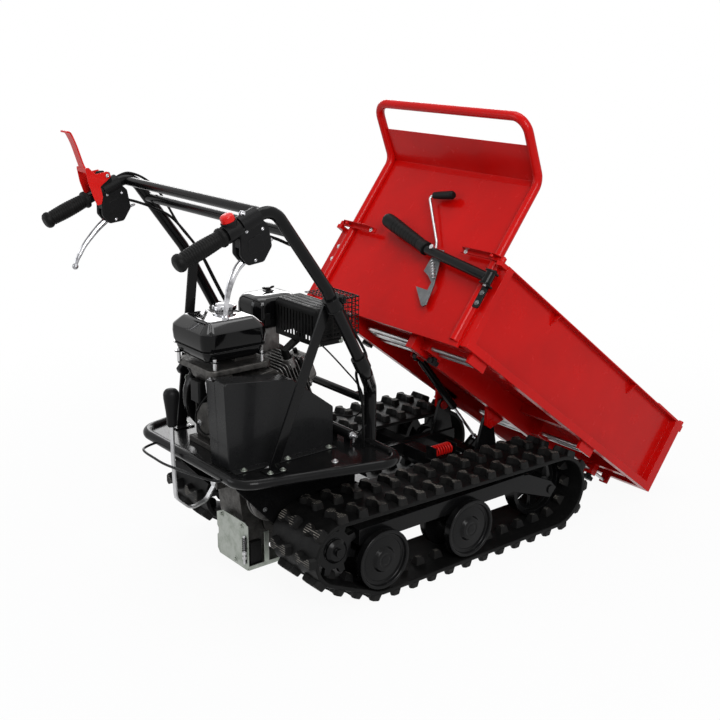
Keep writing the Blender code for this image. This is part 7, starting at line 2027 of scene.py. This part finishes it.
def front_panel_mesh():
    """Front panel between the side panels, with flanges turned outwards."""
    half = BOX_HALF_WIDTH - PANEL_DEPTH - 0.0006
    start, end = BOX_LENGTH - 0.026, BOX_LENGTH
    shell = block((bx(start), -half, bz(0.0)), (bx(end), half, bz(BOX_HEIGHT - 0.001)))
    low = (bx(start + SHEET), -half + 0.022, bz(0.022))
    pocket = block(low, (bx(end + 0.010), half - 0.022, bz(BOX_HEIGHT - 0.0045)))
    foot = start + SHEET + 0.002
    lugs = []
    for _, side in SIDES:
        lugs.append(front_rod_mesh(side))
        low = (bx(foot), (FRONT_ROD_Y - 0.014) * side, bz(-FRONT_ROD_DROP - 0.008))
        lugs.append(block(low, (bx(foot + 0.008), (FRONT_ROD_Y + 0.014) * side, bz(0.004))))
        y = BOX_HALF_WIDTH - 0.013
        low = (bx(end - 0.004), (half - 0.014) * side, bz(FRONT_STRAP_Z - 0.022))
        lugs.append(block(low, (bx(end + 0.016), (half - 0.001) * side, bz(FRONT_STRAP_Z - GAP))))
        low = (bx(end + 0.0006), (half - 0.004) * side, bz(FRONT_STRAP_Z - 0.020))
        lugs.append(block(low, (bx(end + 0.0155), (y + 0.008) * side, bz(FRONT_STRAP_Z - 0.0004))))
        pin = (bx(FRONT_STRAP_X), y * side)
        lugs.append(cylinder("z", pin, 0.0035, bz(FRONT_STRAP_Z - 0.006), bz(FRONT_STRAP_Z + 0.0125)))
    return unite([cut(shell, [pocket])] + lugs)


def headboard_mesh():
    """Headboard sheet folded back at its top, in its bent tube loop, with corner posts and a rear rail."""
    half = BOX_HALF_WIDTH - PANEL_DEPTH - 0.0006
    rear = -0.0035
    lean = Vector((-math.sin(LOOP_LEAN), 0, math.cos(LOOP_LEAN)))
    bend = Vector((bx(rear), 0, bz(LOOP_BEND)))
    top = bend + lean * LOOP_LEG
    side_y = LOOP_HALF_WIDTH
    loop_points = [Vector((bx(rear), -side_y, bz(0.006))), bend + Vector((0, -side_y, 0)),
                   top + Vector((0, -side_y, 0)), top + Vector((0, side_y, 0)), bend + Vector((0, side_y, 0)),
                   Vector((bx(rear), side_y, bz(0.006)))]
    loop = tube(loop_points, LOOP_RADIUS, 0.042, 3)
    outline = [(-half, bz(0.0)), (half, bz(0.0)), (half, bz(BOX_HEIGHT + 0.002)),
               (side_y, bz(BOX_HEIGHT + 0.002)), (side_y, bz(LOOP_BEND - 0.010)),
               (-side_y, bz(LOOP_BEND - 0.010)), (-side_y, bz(BOX_HEIGHT + 0.002)),
               (-half, bz(BOX_HEIGHT + 0.002))]
    sheet = prism(outline, "x", bx(0.0005), bx(0.0005 + SHEET))
    fold_start = Vector((bx(0.0012), 0, bz(LOOP_BEND - 0.018)))
    fold = [fold_start, bend + Vector((0.006, 0, 0.001)), bend + lean * 0.094]
    folded = flat_bar(fold, 2 * side_y, SHEET, (0, 1, 0))
    rail = block((bx(-0.006), -half + 0.001, bz(-0.008)), (bx(0.0025), half - 0.001, bz(0.028)))
    posts = []
    for _, side in SIDES:
        low = (bx(-0.009), (half - 0.016) * side, bz(0.004))
        posts.append(block(low, (bx(0.0025), (half - 0.0005) * side, bz(BOX_HEIGHT - 0.004))))
    for height in (0.125, 0.165):
        posts.append(bolt((bx(-0.009), half - 0.008, bz(height)), (-1, 0, 0), 0.0038, "zinc"))
    return unite([loop, sheet, folded, rail] + posts + [lever_bracket_mesh()])


def strap_mesh(side, place):
    """Corner strap with its knuckle and stiffening flange, across the headboard or along the top rail."""
    flanges = []
    if place == "rear":
        x, y, z = STRAP_X, (BOX_HALF_WIDTH - 0.011) * side, STRAP_Z
        low, high = (bx(x - 0.0025), 0.170 * side, bz(z)), (bx(x + 0.0020), y, bz(z + 0.0115))
        outline = [(bx(x + 0.0010), 0.172 * side), (bx(x - 0.0150), 0.180 * side),
                   (bx(x - 0.0190), 0.200 * side), (bx(x - 0.0190), y - 0.020 * side),
                   (bx(x - 0.0080), y - 0.006 * side), (bx(x + 0.0010), y)]
        flanges.append(prism(outline, "z", bz(z + 0.0096), bz(z + 0.0115)))
        middle = y - 0.030 * side
        flanges.append(cylinder("z", (bx(x - 0.0120), middle), 0.0050, bz(z + 0.0020), bz(z + 0.0100)))
        flanges.append(bolt((bx(x - 0.0025), 0.188 * side, bz(z + 0.005)), (-1, 0, 0), 0.0034, "zinc"))
    else:
        x, y, z = FRONT_STRAP_X, (BOX_HALF_WIDTH - 0.013) * side, FRONT_STRAP_Z
        low, high = (bx(0.817), y - 0.009, bz(z)), (bx(x), y + 0.004, bz(z + 0.0040))
    knuckle = cylinder("z", (bx(x), y), 0.0075, bz(z), bz(z + 0.0115))
    return unite([block(low, high), knuckle] + flanges)


def lever_bracket_mesh():
    """Black bracket with two lugs, an upright pin and two bolts, on the right corner of the headboard."""
    y, z = LEVER_PIVOT_Y, LEVER_PIVOT_Z
    face = -0.0085
    outline = [(y + 0.002, bz(z - 0.075)), (y + 0.024, bz(z - 0.075)), (y + 0.024, bz(z + 0.030)),
               (y + 0.002, bz(z + 0.030))]
    solids = [prism(smooth_outline(outline, 0.006), "x", bx(face - 0.004), bx(face))]
    for start, end in ((z - LEVER_HEAD_HALF - 0.005, z - LEVER_HEAD_HALF - 0.0007),
                       (z + LEVER_HEAD_HALF + 0.0007, z + LEVER_HEAD_HALF + 0.005)):
        outline = [(bx(-LEVER_STAND_OFF - 0.012), y - 0.011), (bx(face - 0.001), y - 0.011),
                   (bx(face - 0.001), y + 0.0135), (bx(-LEVER_STAND_OFF - 0.012), y + 0.0135)]
        solids.append(prism(smooth_outline(outline, 0.005), "z", bz(start), bz(end)))
    reach = LEVER_HEAD_HALF + 0.0075
    place = (bx(-LEVER_STAND_OFF), y)
    pin = cylinder("z", place, LEVER_PIN_RADIUS, bz(z - reach), bz(z + reach))
    made = [clad(unite(solids), "black_paint"), clad(pin, "zinc")]
    for height in (z - 0.062, z - 0.034):
        made.append(bolt((bx(face - 0.004), y + 0.013, bz(height)), (-1, 0, 0), 0.0038, "steel"))
    return unite(made)


def lever_line(share):
    """Point on the axis of the lifting bar, as a share of the way to the start of its grip."""
    start = Vector((bx(-LEVER_STAND_OFF), LEVER_PIVOT_Y, bz(LEVER_PIVOT_Z)))
    end = Vector((bx(-LEVER_STAND_OFF), LEVER_GRIP_START[0], bz(LEVER_GRIP_START[1])))
    return start + (end - start) * share


def lifting_bar_mesh():
    """Tubular bar with its pivot boss and the bolt that carries the hook."""
    z = LEVER_PIVOT_Z
    place = (bx(-LEVER_STAND_OFF), LEVER_PIVOT_Y)
    boss = cylinder("z", place, 0.0125, bz(z - LEVER_HEAD_HALF), bz(z + LEVER_HEAD_HALF))
    grip_end = Vector((bx(-LEVER_STAND_OFF), LEVER_GRIP_END[0], bz(LEVER_GRIP_END[1])))
    bar = tube([lever_line(0.02), lever_line(1.0), grip_end], LEVER_RADIUS)
    hook_place = (HOOK_PIVOT_Y, bz(HOOK_PIVOT_Z))
    bolt_end = HOOK_FACE + HOOK_THICKNESS + 0.003
    shank = clad(cylinder("x", hook_place, 0.004, bx(-LEVER_STAND_OFF - 0.017), bx(bolt_end)), "zinc")
    head = cylinder("x", hook_place, 0.007, bx(-LEVER_STAND_OFF - 0.019), bx(-LEVER_STAND_OFF - 0.010), 6)
    return unite([boss, bar, shank, clad(head, "zinc"), clad(lifting_grip_mesh(), "rubber")])


def lifting_grip_mesh():
    """Rubber grip on the free end of the lifting bar, swelling towards its end, with finger grooves."""
    start = lever_line(1.0)
    end = Vector((bx(-LEVER_STAND_OFF), LEVER_GRIP_END[0], bz(LEVER_GRIP_END[1])))
    length = (end - start).length
    profile = [(0, length + 0.012), (0.008, length + 0.0115), (0.0145, length + 0.009),
               (0.0185, length + 0.003), (0.0197, length - 0.006), (0.0197, length * 0.80)]
    for i in range(9):
        at = length * (0.76 - i * 0.070)
        radius = 0.0194 - 0.00035 * i
        profile += [(radius, at + 0.0025), (radius - 0.0012, at), (radius, at - 0.0025)]
    profile += [(0.0176, 0.020), (0.0185, 0.016), (0.0185, 0.010), (0.0165, 0.008), (0, 0.008)]
    return stood(turned(profile, "z", (0, 0)), start, end - start)


def hook_plate_mesh():
    """Flat hook with its beak below the notch, under the lifting bar."""
    outline = [(-0.078, 0.222), (-0.077, 0.155), (-0.100, 0.146), (-0.123, 0.130), (-0.1235, 0.108),
               (-0.078, 0.110), (-0.128, 0.066), (-0.136, 0.063), (-0.145, 0.070), (-0.136, 0.125),
               (-0.112, 0.196), (-0.108, 0.222)]
    start, end = bx(HOOK_FACE), bx(HOOK_FACE + HOOK_THICKNESS)
    plate = prism([(y, bz(z)) for y, z in outline], "x", start, end)
    crank = [(bx(HOOK_FACE + 0.0035), -0.083, bz(0.205)), (bx(HOOK_FACE + 0.0025), -0.066, bz(0.240)),
             (bx(-0.020), 0.040, bz(0.361)), (bx(-0.020), 0.020, bz(0.3655))]
    rod = clad(tube(crank, 0.0035, 0.008, 5), "zinc")
    return unite([plate, rod, clad(hook_handle_mesh(), "black_plastic")])


def hook_handle_mesh():
    """Black handle on the crank of the hook."""
    start, end = Vector((bx(-0.020), 0.020, bz(0.3655))), Vector((bx(-0.020), -0.045, bz(0.376)))
    length = (end - start).length
    profile = [(0, length), (0.008, length), (0.0115, length - 0.006), (0.0105, 0.020), (0.0090, -0.004),
               (0, -0.004)]
    return stood(turned(profile, "z", (0, 0)), start, end - start)


def hook_spring_mesh():
    """Small coil spring between the lifting bar and the hook plate."""
    top = Vector((bx(HOOK_FACE - 0.0069), -0.096, bz(0.184)))
    bottom = Vector((bx(HOOK_FACE - 0.0069), -0.128, bz(0.141)))
    return coil(top, bottom, 6, 0.0055, 0.0010)


def hinge_pin_mesh(side):
    """Hinge pin of the box with its head."""
    rows = [(0, 0.0815), (0.014, 0.0815), (0.014, HINGE_EAR_INNER - GAP),
            (HINGE_PIN_RADIUS, HINGE_EAR_INNER - GAP), (HINGE_PIN_RADIUS, BOX_EAR_OUTER + 0.003),
            (0, BOX_EAR_OUTER + 0.003)]
    return turned([(radius, y * side) for radius, y in rows], "y", (0, 0))


def strut_frame():
    """Matrix that puts +Z along the gas strut, from its foot; +Y stays."""
    foot = Vector((STRUT_FOOT_X, 0, STRUT_FOOT_Z))
    turn = Matrix.Rotation(BOX_TILT, 4, "Y")
    head = Vector((HINGE_X, 0, HINGE_Z)) + turn @ Vector((STRUT_HEAD_X, 0, STRUT_HEAD_Z))
    line = head - foot
    angle = math.atan2(line.x, line.z)
    return Matrix.Translation(foot) @ Matrix.Rotation(angle, 4, "Y"), line.length


def gas_rod_mesh():
    """Piston rod with its lower eye."""
    place, _ = strut_frame()
    eye = cylinder("y", (0, 0), 0.0095, -STRUT_EYE_HALF, STRUT_EYE_HALF)
    rod = cylinder("z", (0, 0), STRUT_ROD_RADIUS, 0.007, STRUT_ROD_SHOWN + 0.055)
    return moved(unite([eye, rod]), place)


def gas_cylinder_mesh():
    """Pressure tube with its upper eye, which has play on its pin."""
    place, length = strut_frame()
    bore = bore_radius(STRUT_ROD_RADIUS, 10)
    end = length - 0.0115
    profile = [(0, end), (0.006, end), (STRUT_TUBE_RADIUS, end - 0.010),
               (STRUT_TUBE_RADIUS, STRUT_ROD_SHOWN + 0.003), (STRUT_TUBE_RADIUS - 0.003, STRUT_ROD_SHOWN),
               (bore, STRUT_ROD_SHOWN), (bore, STRUT_ROD_SHOWN + 0.100), (0, STRUT_ROD_SHOWN + 0.100)]
    barrel = turned(profile, "z", (0, 0))
    hole_radius = bore_radius(STRUT_PIN_RADIUS + STRUT_HEAD_PLAY, 14)
    eye = cylinder("y", (0, 0), hole_radius + 0.0045, -0.0075, 0.0075)
    eye = moved(eye, Matrix.Translation((0, 0, length)))
    return moved(unite([barrel, eye]), place)


def skirt_mesh():
    """Black sheets below the platform, one beside each track, that keep mud off the gearbox."""
    top = PLATE_TOP - PLATE_THICKNESS - 0.0002
    outline = [(-0.318, top), (-0.300, 0.300), (-0.235, 0.228), (-0.180, 0.168), (-0.150, 0.160),
               (-0.120, 0.190), (-0.060, 0.206), (0.048, 0.216), (0.052, top)]
    solids = []
    for _, side in SIDES:
        y = SKIRT_Y * side
        solids.append(prism(smooth_outline(outline, 0.008), "y", y - 0.00125, y + 0.00125))
        low, high = sorted((y, y - 0.014 * side))
        solids.append(block((-0.300, low, top - 0.0025), (0.048, high, top)))
        for x, z in ((-0.222, 0.232), (-0.168, 0.184)):
            solids.append(bolt((x, y + 0.00125 * side, z), (0, side, 0), 0.0034, "steel"))
    return unite(solids)


def tensioner_mesh():
    """Cylinder of the clutch tensioner on the platform, with its adjusting screw and nuts."""
    x, z = 0.016, PLATE_TOP + 0.022
    barrel = cylinder("y", (x, z), 0.0125, -0.168, -0.086)
    solids = [barrel]
    solids.append(clad(cylinder("y", (x, z), 0.0090, -0.1715, -0.1670), "zinc"))
    solids.append(clad(cylinder("y", (x, z), 0.0078, -0.1780, -0.1715, 6), "zinc"))
    solids.append(clad(cylinder("y", (x, z), 0.0042, -0.1860, -0.1770), "zinc"))
    solids.append(clad(tube([(x, -0.176, z - 0.004), (x, -0.176, PLATE_TOP - 0.001)], 0.0030), "zinc"))
    for y in (-0.150, -0.098):
        solids.append(block((x - 0.008, y - 0.003, PLATE_TOP - 0.001), (x + 0.008, y + 0.003, z - 0.004)))
    return unite(solids)


def cable_mesh(route, radius, steps=8, sides=12):
    """Cable along a smooth route."""
    return sweep(smooth_route(route, steps), circle(radius, sides))


def build_running_gear():
    """Tracks with their wheels on both sides."""
    piece("chassis_frame", chassis_mesh(), "black_paint", MACHINE)
    for name, side in SIDES:
        piece("track_" + name, belt_band(side), "rubber", MACHINE)
        add("track_lugs_" + name, lugs_mesh(side), "rubber", MACHINE, "machine", "track_" + name)
        piece("sprocket_" + name, sprocket_mesh(side), "wheel_paint", MACHINE)
        piece("roller_rear_" + name, roller_mesh(side, 0.0), "wheel_paint", MACHINE)
        piece("roller_front_" + name, roller_mesh(side, ROLLER_SPACING), "wheel_paint", MACHINE)
        piece("idler_" + name, idler_mesh(side), "wheel_paint", MACHINE)


def build_platform():
    """Platform with the handlebar, its struts, grips and controls."""
    piece("engine_platform", platform_mesh(), "black_paint", MACHINE)
    add("skirt", skirt_mesh(), "black_paint", MACHINE, "machine")
    piece("handlebar", handlebar_mesh(), "black_paint", MACHINE)
    for name, side in SIDES:
        piece("strut_" + name, strut_mesh(side, STRUT_FEET[name]), "black_paint", MACHINE)
        piece("grip_" + name, grip_mesh(side), "rubber", MACHINE)
        piece("lever_housing_" + name, perch_mesh(side), "black_plastic", MACHINE)
        piece("steering_lever_" + name, steering_lever_mesh(side), "chrome", MACHINE)
        route = [(x, y * side, z) for x, y, z in STEERING_CABLE]
        piece("cable_" + name, cable_mesh(route, CABLE_RADIUS, 10, 16), "rubber", MACHINE)
    add("clutch_cable", cable_mesh(CLUTCH_CABLE, 0.0030), "rubber", MACHINE, "machine")
    add("throttle_cable", cable_mesh(THROTTLE_CABLE, 0.0020), "rubber", MACHINE, "machine")
    piece("clutch_lever", clutch_lever_mesh(), "red_plastic", MACHINE)
    piece("stop_button", stop_button_mesh(), "red_plastic", MACHINE)


def build_engine():
    """Engine, gearbox and belt drive."""
    piece("gearbox_housing", gearbox_mesh(), "cast_dark", MACHINE)
    piece("gearbox_guard", gearbox_guard_mesh(), "galvanised", MACHINE)
    piece("gear_lever", gear_lever_mesh(), "zinc", MACHINE)
    piece("engine_block", engine_block_mesh(), "cast_aluminium", MACHINE)
    piece("valve_cover", valve_cover_mesh(), "cast_aluminium", MACHINE)
    piece("fuel_tank", tank_mesh(), "black_gloss", MACHINE)
    piece("fuel_cap", cap_mesh(), "chrome", MACHINE)
    piece("carburettor", carburettor_mesh(), "cast_aluminium", MACHINE)
    piece("air_cleaner", air_cleaner_mesh(), "black_gloss", MACHINE)
    piece("muffler", muffler_mesh(), "black_matt", MACHINE)
    piece("muffler_guard", muffler_guard_mesh(), "black_matt", MACHINE)
    add("outlet_cage", cage_mesh(), "black_matt", MACHINE, "machine")
    piece("recoil_housing", recoil_mesh(), "black_paint", MACHINE)
    piece("starter_grip", starter_grip_mesh(), "black_plastic", MACHINE)
    upper = pulley_mesh(CRANK_X, CRANK_Z, ENGINE_PULLEY_RADIUS, -0.061)
    piece("engine_pulley", upper, "cast_aluminium", MACHINE)
    lower = pulley_mesh(GEARBOX_SHAFT_X, GEARBOX_SHAFT_Z, GEARBOX_PULLEY_RADIUS, -0.053)
    piece("gearbox_pulley", lower, "cast_aluminium", MACHINE)
    piece("drive_belt", drive_belt_mesh(), "rubber", MACHINE)
    piece("belt_guard", belt_guard_mesh(), "grey_paint", MACHINE)


def build_box():
    """Tipping box with its panels, rods, straps, knobs and hinge pins."""
    piece("box_floor", box_floor_mesh(), "red_paint", BOX)
    piece("headboard", headboard_mesh(), "red_paint", BOX)
    piece("front_panel", front_panel_mesh(), "red_paint", BOX)
    for name, side in SIDES:
        piece("side_" + name, side_panel_mesh(side), "red_paint", BOX)
        piece("strap_rear_" + name, strap_mesh(side, "rear"), "red_paint", BOX)
        piece("strap_front_" + name, strap_mesh(side, "front"), "red_paint", BOX)
    for name, place in zip(("right", "left", "front"), knob_places()):
        piece("clamp_knob_" + name, clamp_knob_mesh(*place), "black_plastic", BOX)


def build_lock():
    """Lifting bar on its bracket, with the hook, its crank and its spring."""
    piece("lifting_bar", lifting_bar_mesh(), "black_paint", BOX)
    piece("hook_spring", hook_spring_mesh(), "zinc", BOX)
    piece("hook_plate", hook_plate_mesh(), "steel", BOX)


def build_strut():
    """Gas strut and the red spring on the chassis."""
    piece("gas_rod", gas_rod_mesh(), "chrome", MACHINE)
    piece("gas_cylinder", gas_cylinder_mesh(), "black_paint", MACHINE)
    centre = SPRING_SEAT + GAP + SPRING_WIRE + SPRING_COIL
    start, end = (SPRING_START, SPRING_Y, centre), (SPRING_END, SPRING_Y, centre)
    piece("return_spring", coil(start, end, 7, SPRING_COIL, SPRING_WIRE), "red_plastic", MACHINE)


def build_camera():
    """Camera of the photograph, solved from the straight edges."""
    data = bpy.data.cameras.new("camera")
    data.lens = CAMERA_LENS
    data.sensor_width = 36.0
    data.clip_start = 0.05
    data.clip_end = 200.0
    camera = bpy.data.objects.new("camera", data)
    camera.location = CAMERA_AT
    turn = (-CAMERA_BACK).to_track_quat("-Z", "Y").to_matrix() @ Matrix.Rotation(CAMERA_ROLL, 3, "Z")
    camera.rotation_euler = turn.to_euler()
    bpy.context.scene.collection.objects.link(camera)
    bpy.context.scene.camera = camera


def lamp(name, place, target, size, power, colour=(1.0, 1.0, 1.0)):
    """Soft rectangular lamp aimed at a point."""
    data = bpy.data.lights.new(name, "AREA")
    data.shape = "RECTANGLE"
    data.size, data.size_y = size
    data.energy = power
    data.color = colour
    obj = bpy.data.objects.new(name, data)
    obj.location = place
    obj.rotation_euler = (Vector(target) - Vector(place)).to_track_quat("-Z", "Y").to_euler()
    bpy.context.scene.collection.objects.link(obj)


def shown_white(nodes, links, shader, share):
    """Shader that the camera, reflections and glass see as partly plain white."""
    path = nodes.new("ShaderNodeLightPath")
    seen = path.outputs["Is Camera Ray"]
    for ray in ("Is Glossy Ray", "Is Transmission Ray"):
        either = nodes.new("ShaderNodeMath")
        either.operation = "MAXIMUM"
        links.new(seen, either.inputs[0])
        links.new(path.outputs[ray], either.inputs[1])
        seen = either.outputs[0]
    if share is not None:
        scaled = nodes.new("ShaderNodeMath")
        scaled.operation = "MULTIPLY"
        links.new(seen, scaled.inputs[0])
        links.new(share, scaled.inputs[1])
        seen = scaled.outputs[0]
    white = nodes.new("ShaderNodeEmission")
    white.inputs["Strength"].default_value = 1.0
    mixed = nodes.new("ShaderNodeMixShader")
    links.new(seen, mixed.inputs[0])
    links.new(shader, mixed.inputs[1])
    links.new(white.outputs[0], mixed.inputs[2])
    return mixed.outputs[0]


def white_share(nodes, links):
    """Share of plain white in the floor: all of it far from the object, where no shadow falls."""
    place = nodes.new("ShaderNodeNewGeometry")
    away = nodes.new("ShaderNodeVectorMath")
    away.operation = "LENGTH"
    links.new(place.outputs["Position"], away.inputs[0])
    share = nodes.new("ShaderNodeMapRange")
    share.interpolation_type = "SMOOTHSTEP"
    links.new(away.outputs["Value"], share.inputs["Value"])
    share.inputs["From Min"].default_value = SHADOW_REACH[0]
    share.inputs["From Max"].default_value = SHADOW_REACH[1]
    share.inputs["To Min"].default_value = FLOOR_WHITE
    share.inputs["To Max"].default_value = 1.0
    return share.outputs["Result"]


def build_stage():
    """Pale floor, white surroundings and soft lamps."""
    reach = 40.0
    corners = [(-reach, -reach, 0), (reach, -reach, 0), (reach, reach, 0), (-reach, reach, 0)]
    floor = bpy.data.meshes.new("floor")
    floor.from_pydata(corners, [], [(0, 1, 2, 3)])
    material = bpy.data.materials.new("floor")
    material.use_nodes = True
    nodes, links = material.node_tree.nodes, material.node_tree.links
    shader = nodes["Principled BSDF"]
    shader.inputs["Base Color"].default_value = (0.60, 0.60, 0.60, 1)
    shader.inputs["Roughness"].default_value = 0.85
    shader.inputs["Specular IOR Level"].default_value = 0.2
    out = shown_white(nodes, links, shader.outputs[0], white_share(nodes, links))
    links.new(out, nodes["Material Output"].inputs["Surface"])
    floor.materials.append(material)
    obj = bpy.data.objects.new("floor", floor)
    obj.location.z = -0.0008
    bpy.context.scene.collection.objects.link(obj)
    world = bpy.data.worlds.new("surroundings")
    bpy.context.scene.world = world
    world.use_nodes = True
    nodes, links = world.node_tree.nodes, world.node_tree.links
    plain = nodes["Background"]
    plain.inputs["Color"].default_value = (0.92, 0.95, 1.0, 1)
    plain.inputs["Strength"].default_value = 0.42
    out = shown_white(nodes, links, plain.outputs[0], None)
    links.new(out, nodes["World Output"].inputs["Surface"])
    lamp("key", (-1.5, -3.6, 2.9), (0, 0, 0.5), (2.2, 2.2), 150.0)
    lamp("top", (0.2, 0.2, 4.2), (0.1, 0, 0.5), (3.2, 2.2), 70.0)
    lamp("rim", (2.9, 3.8, 2.3), (0, 0, 0.6), (4.4, 1.2), 75.0)
    lamp("fill", (-3.6, 2.0, 1.8), (0, 0, 0.5), (2.0, 2.0), 40.0, (0.95, 0.97, 1.0))
    bpy.context.scene.view_settings.view_transform = "Standard"


build_camera()
build_stage()
build_running_gear()
build_platform()
build_engine()
build_box()
build_lock()
build_strut()
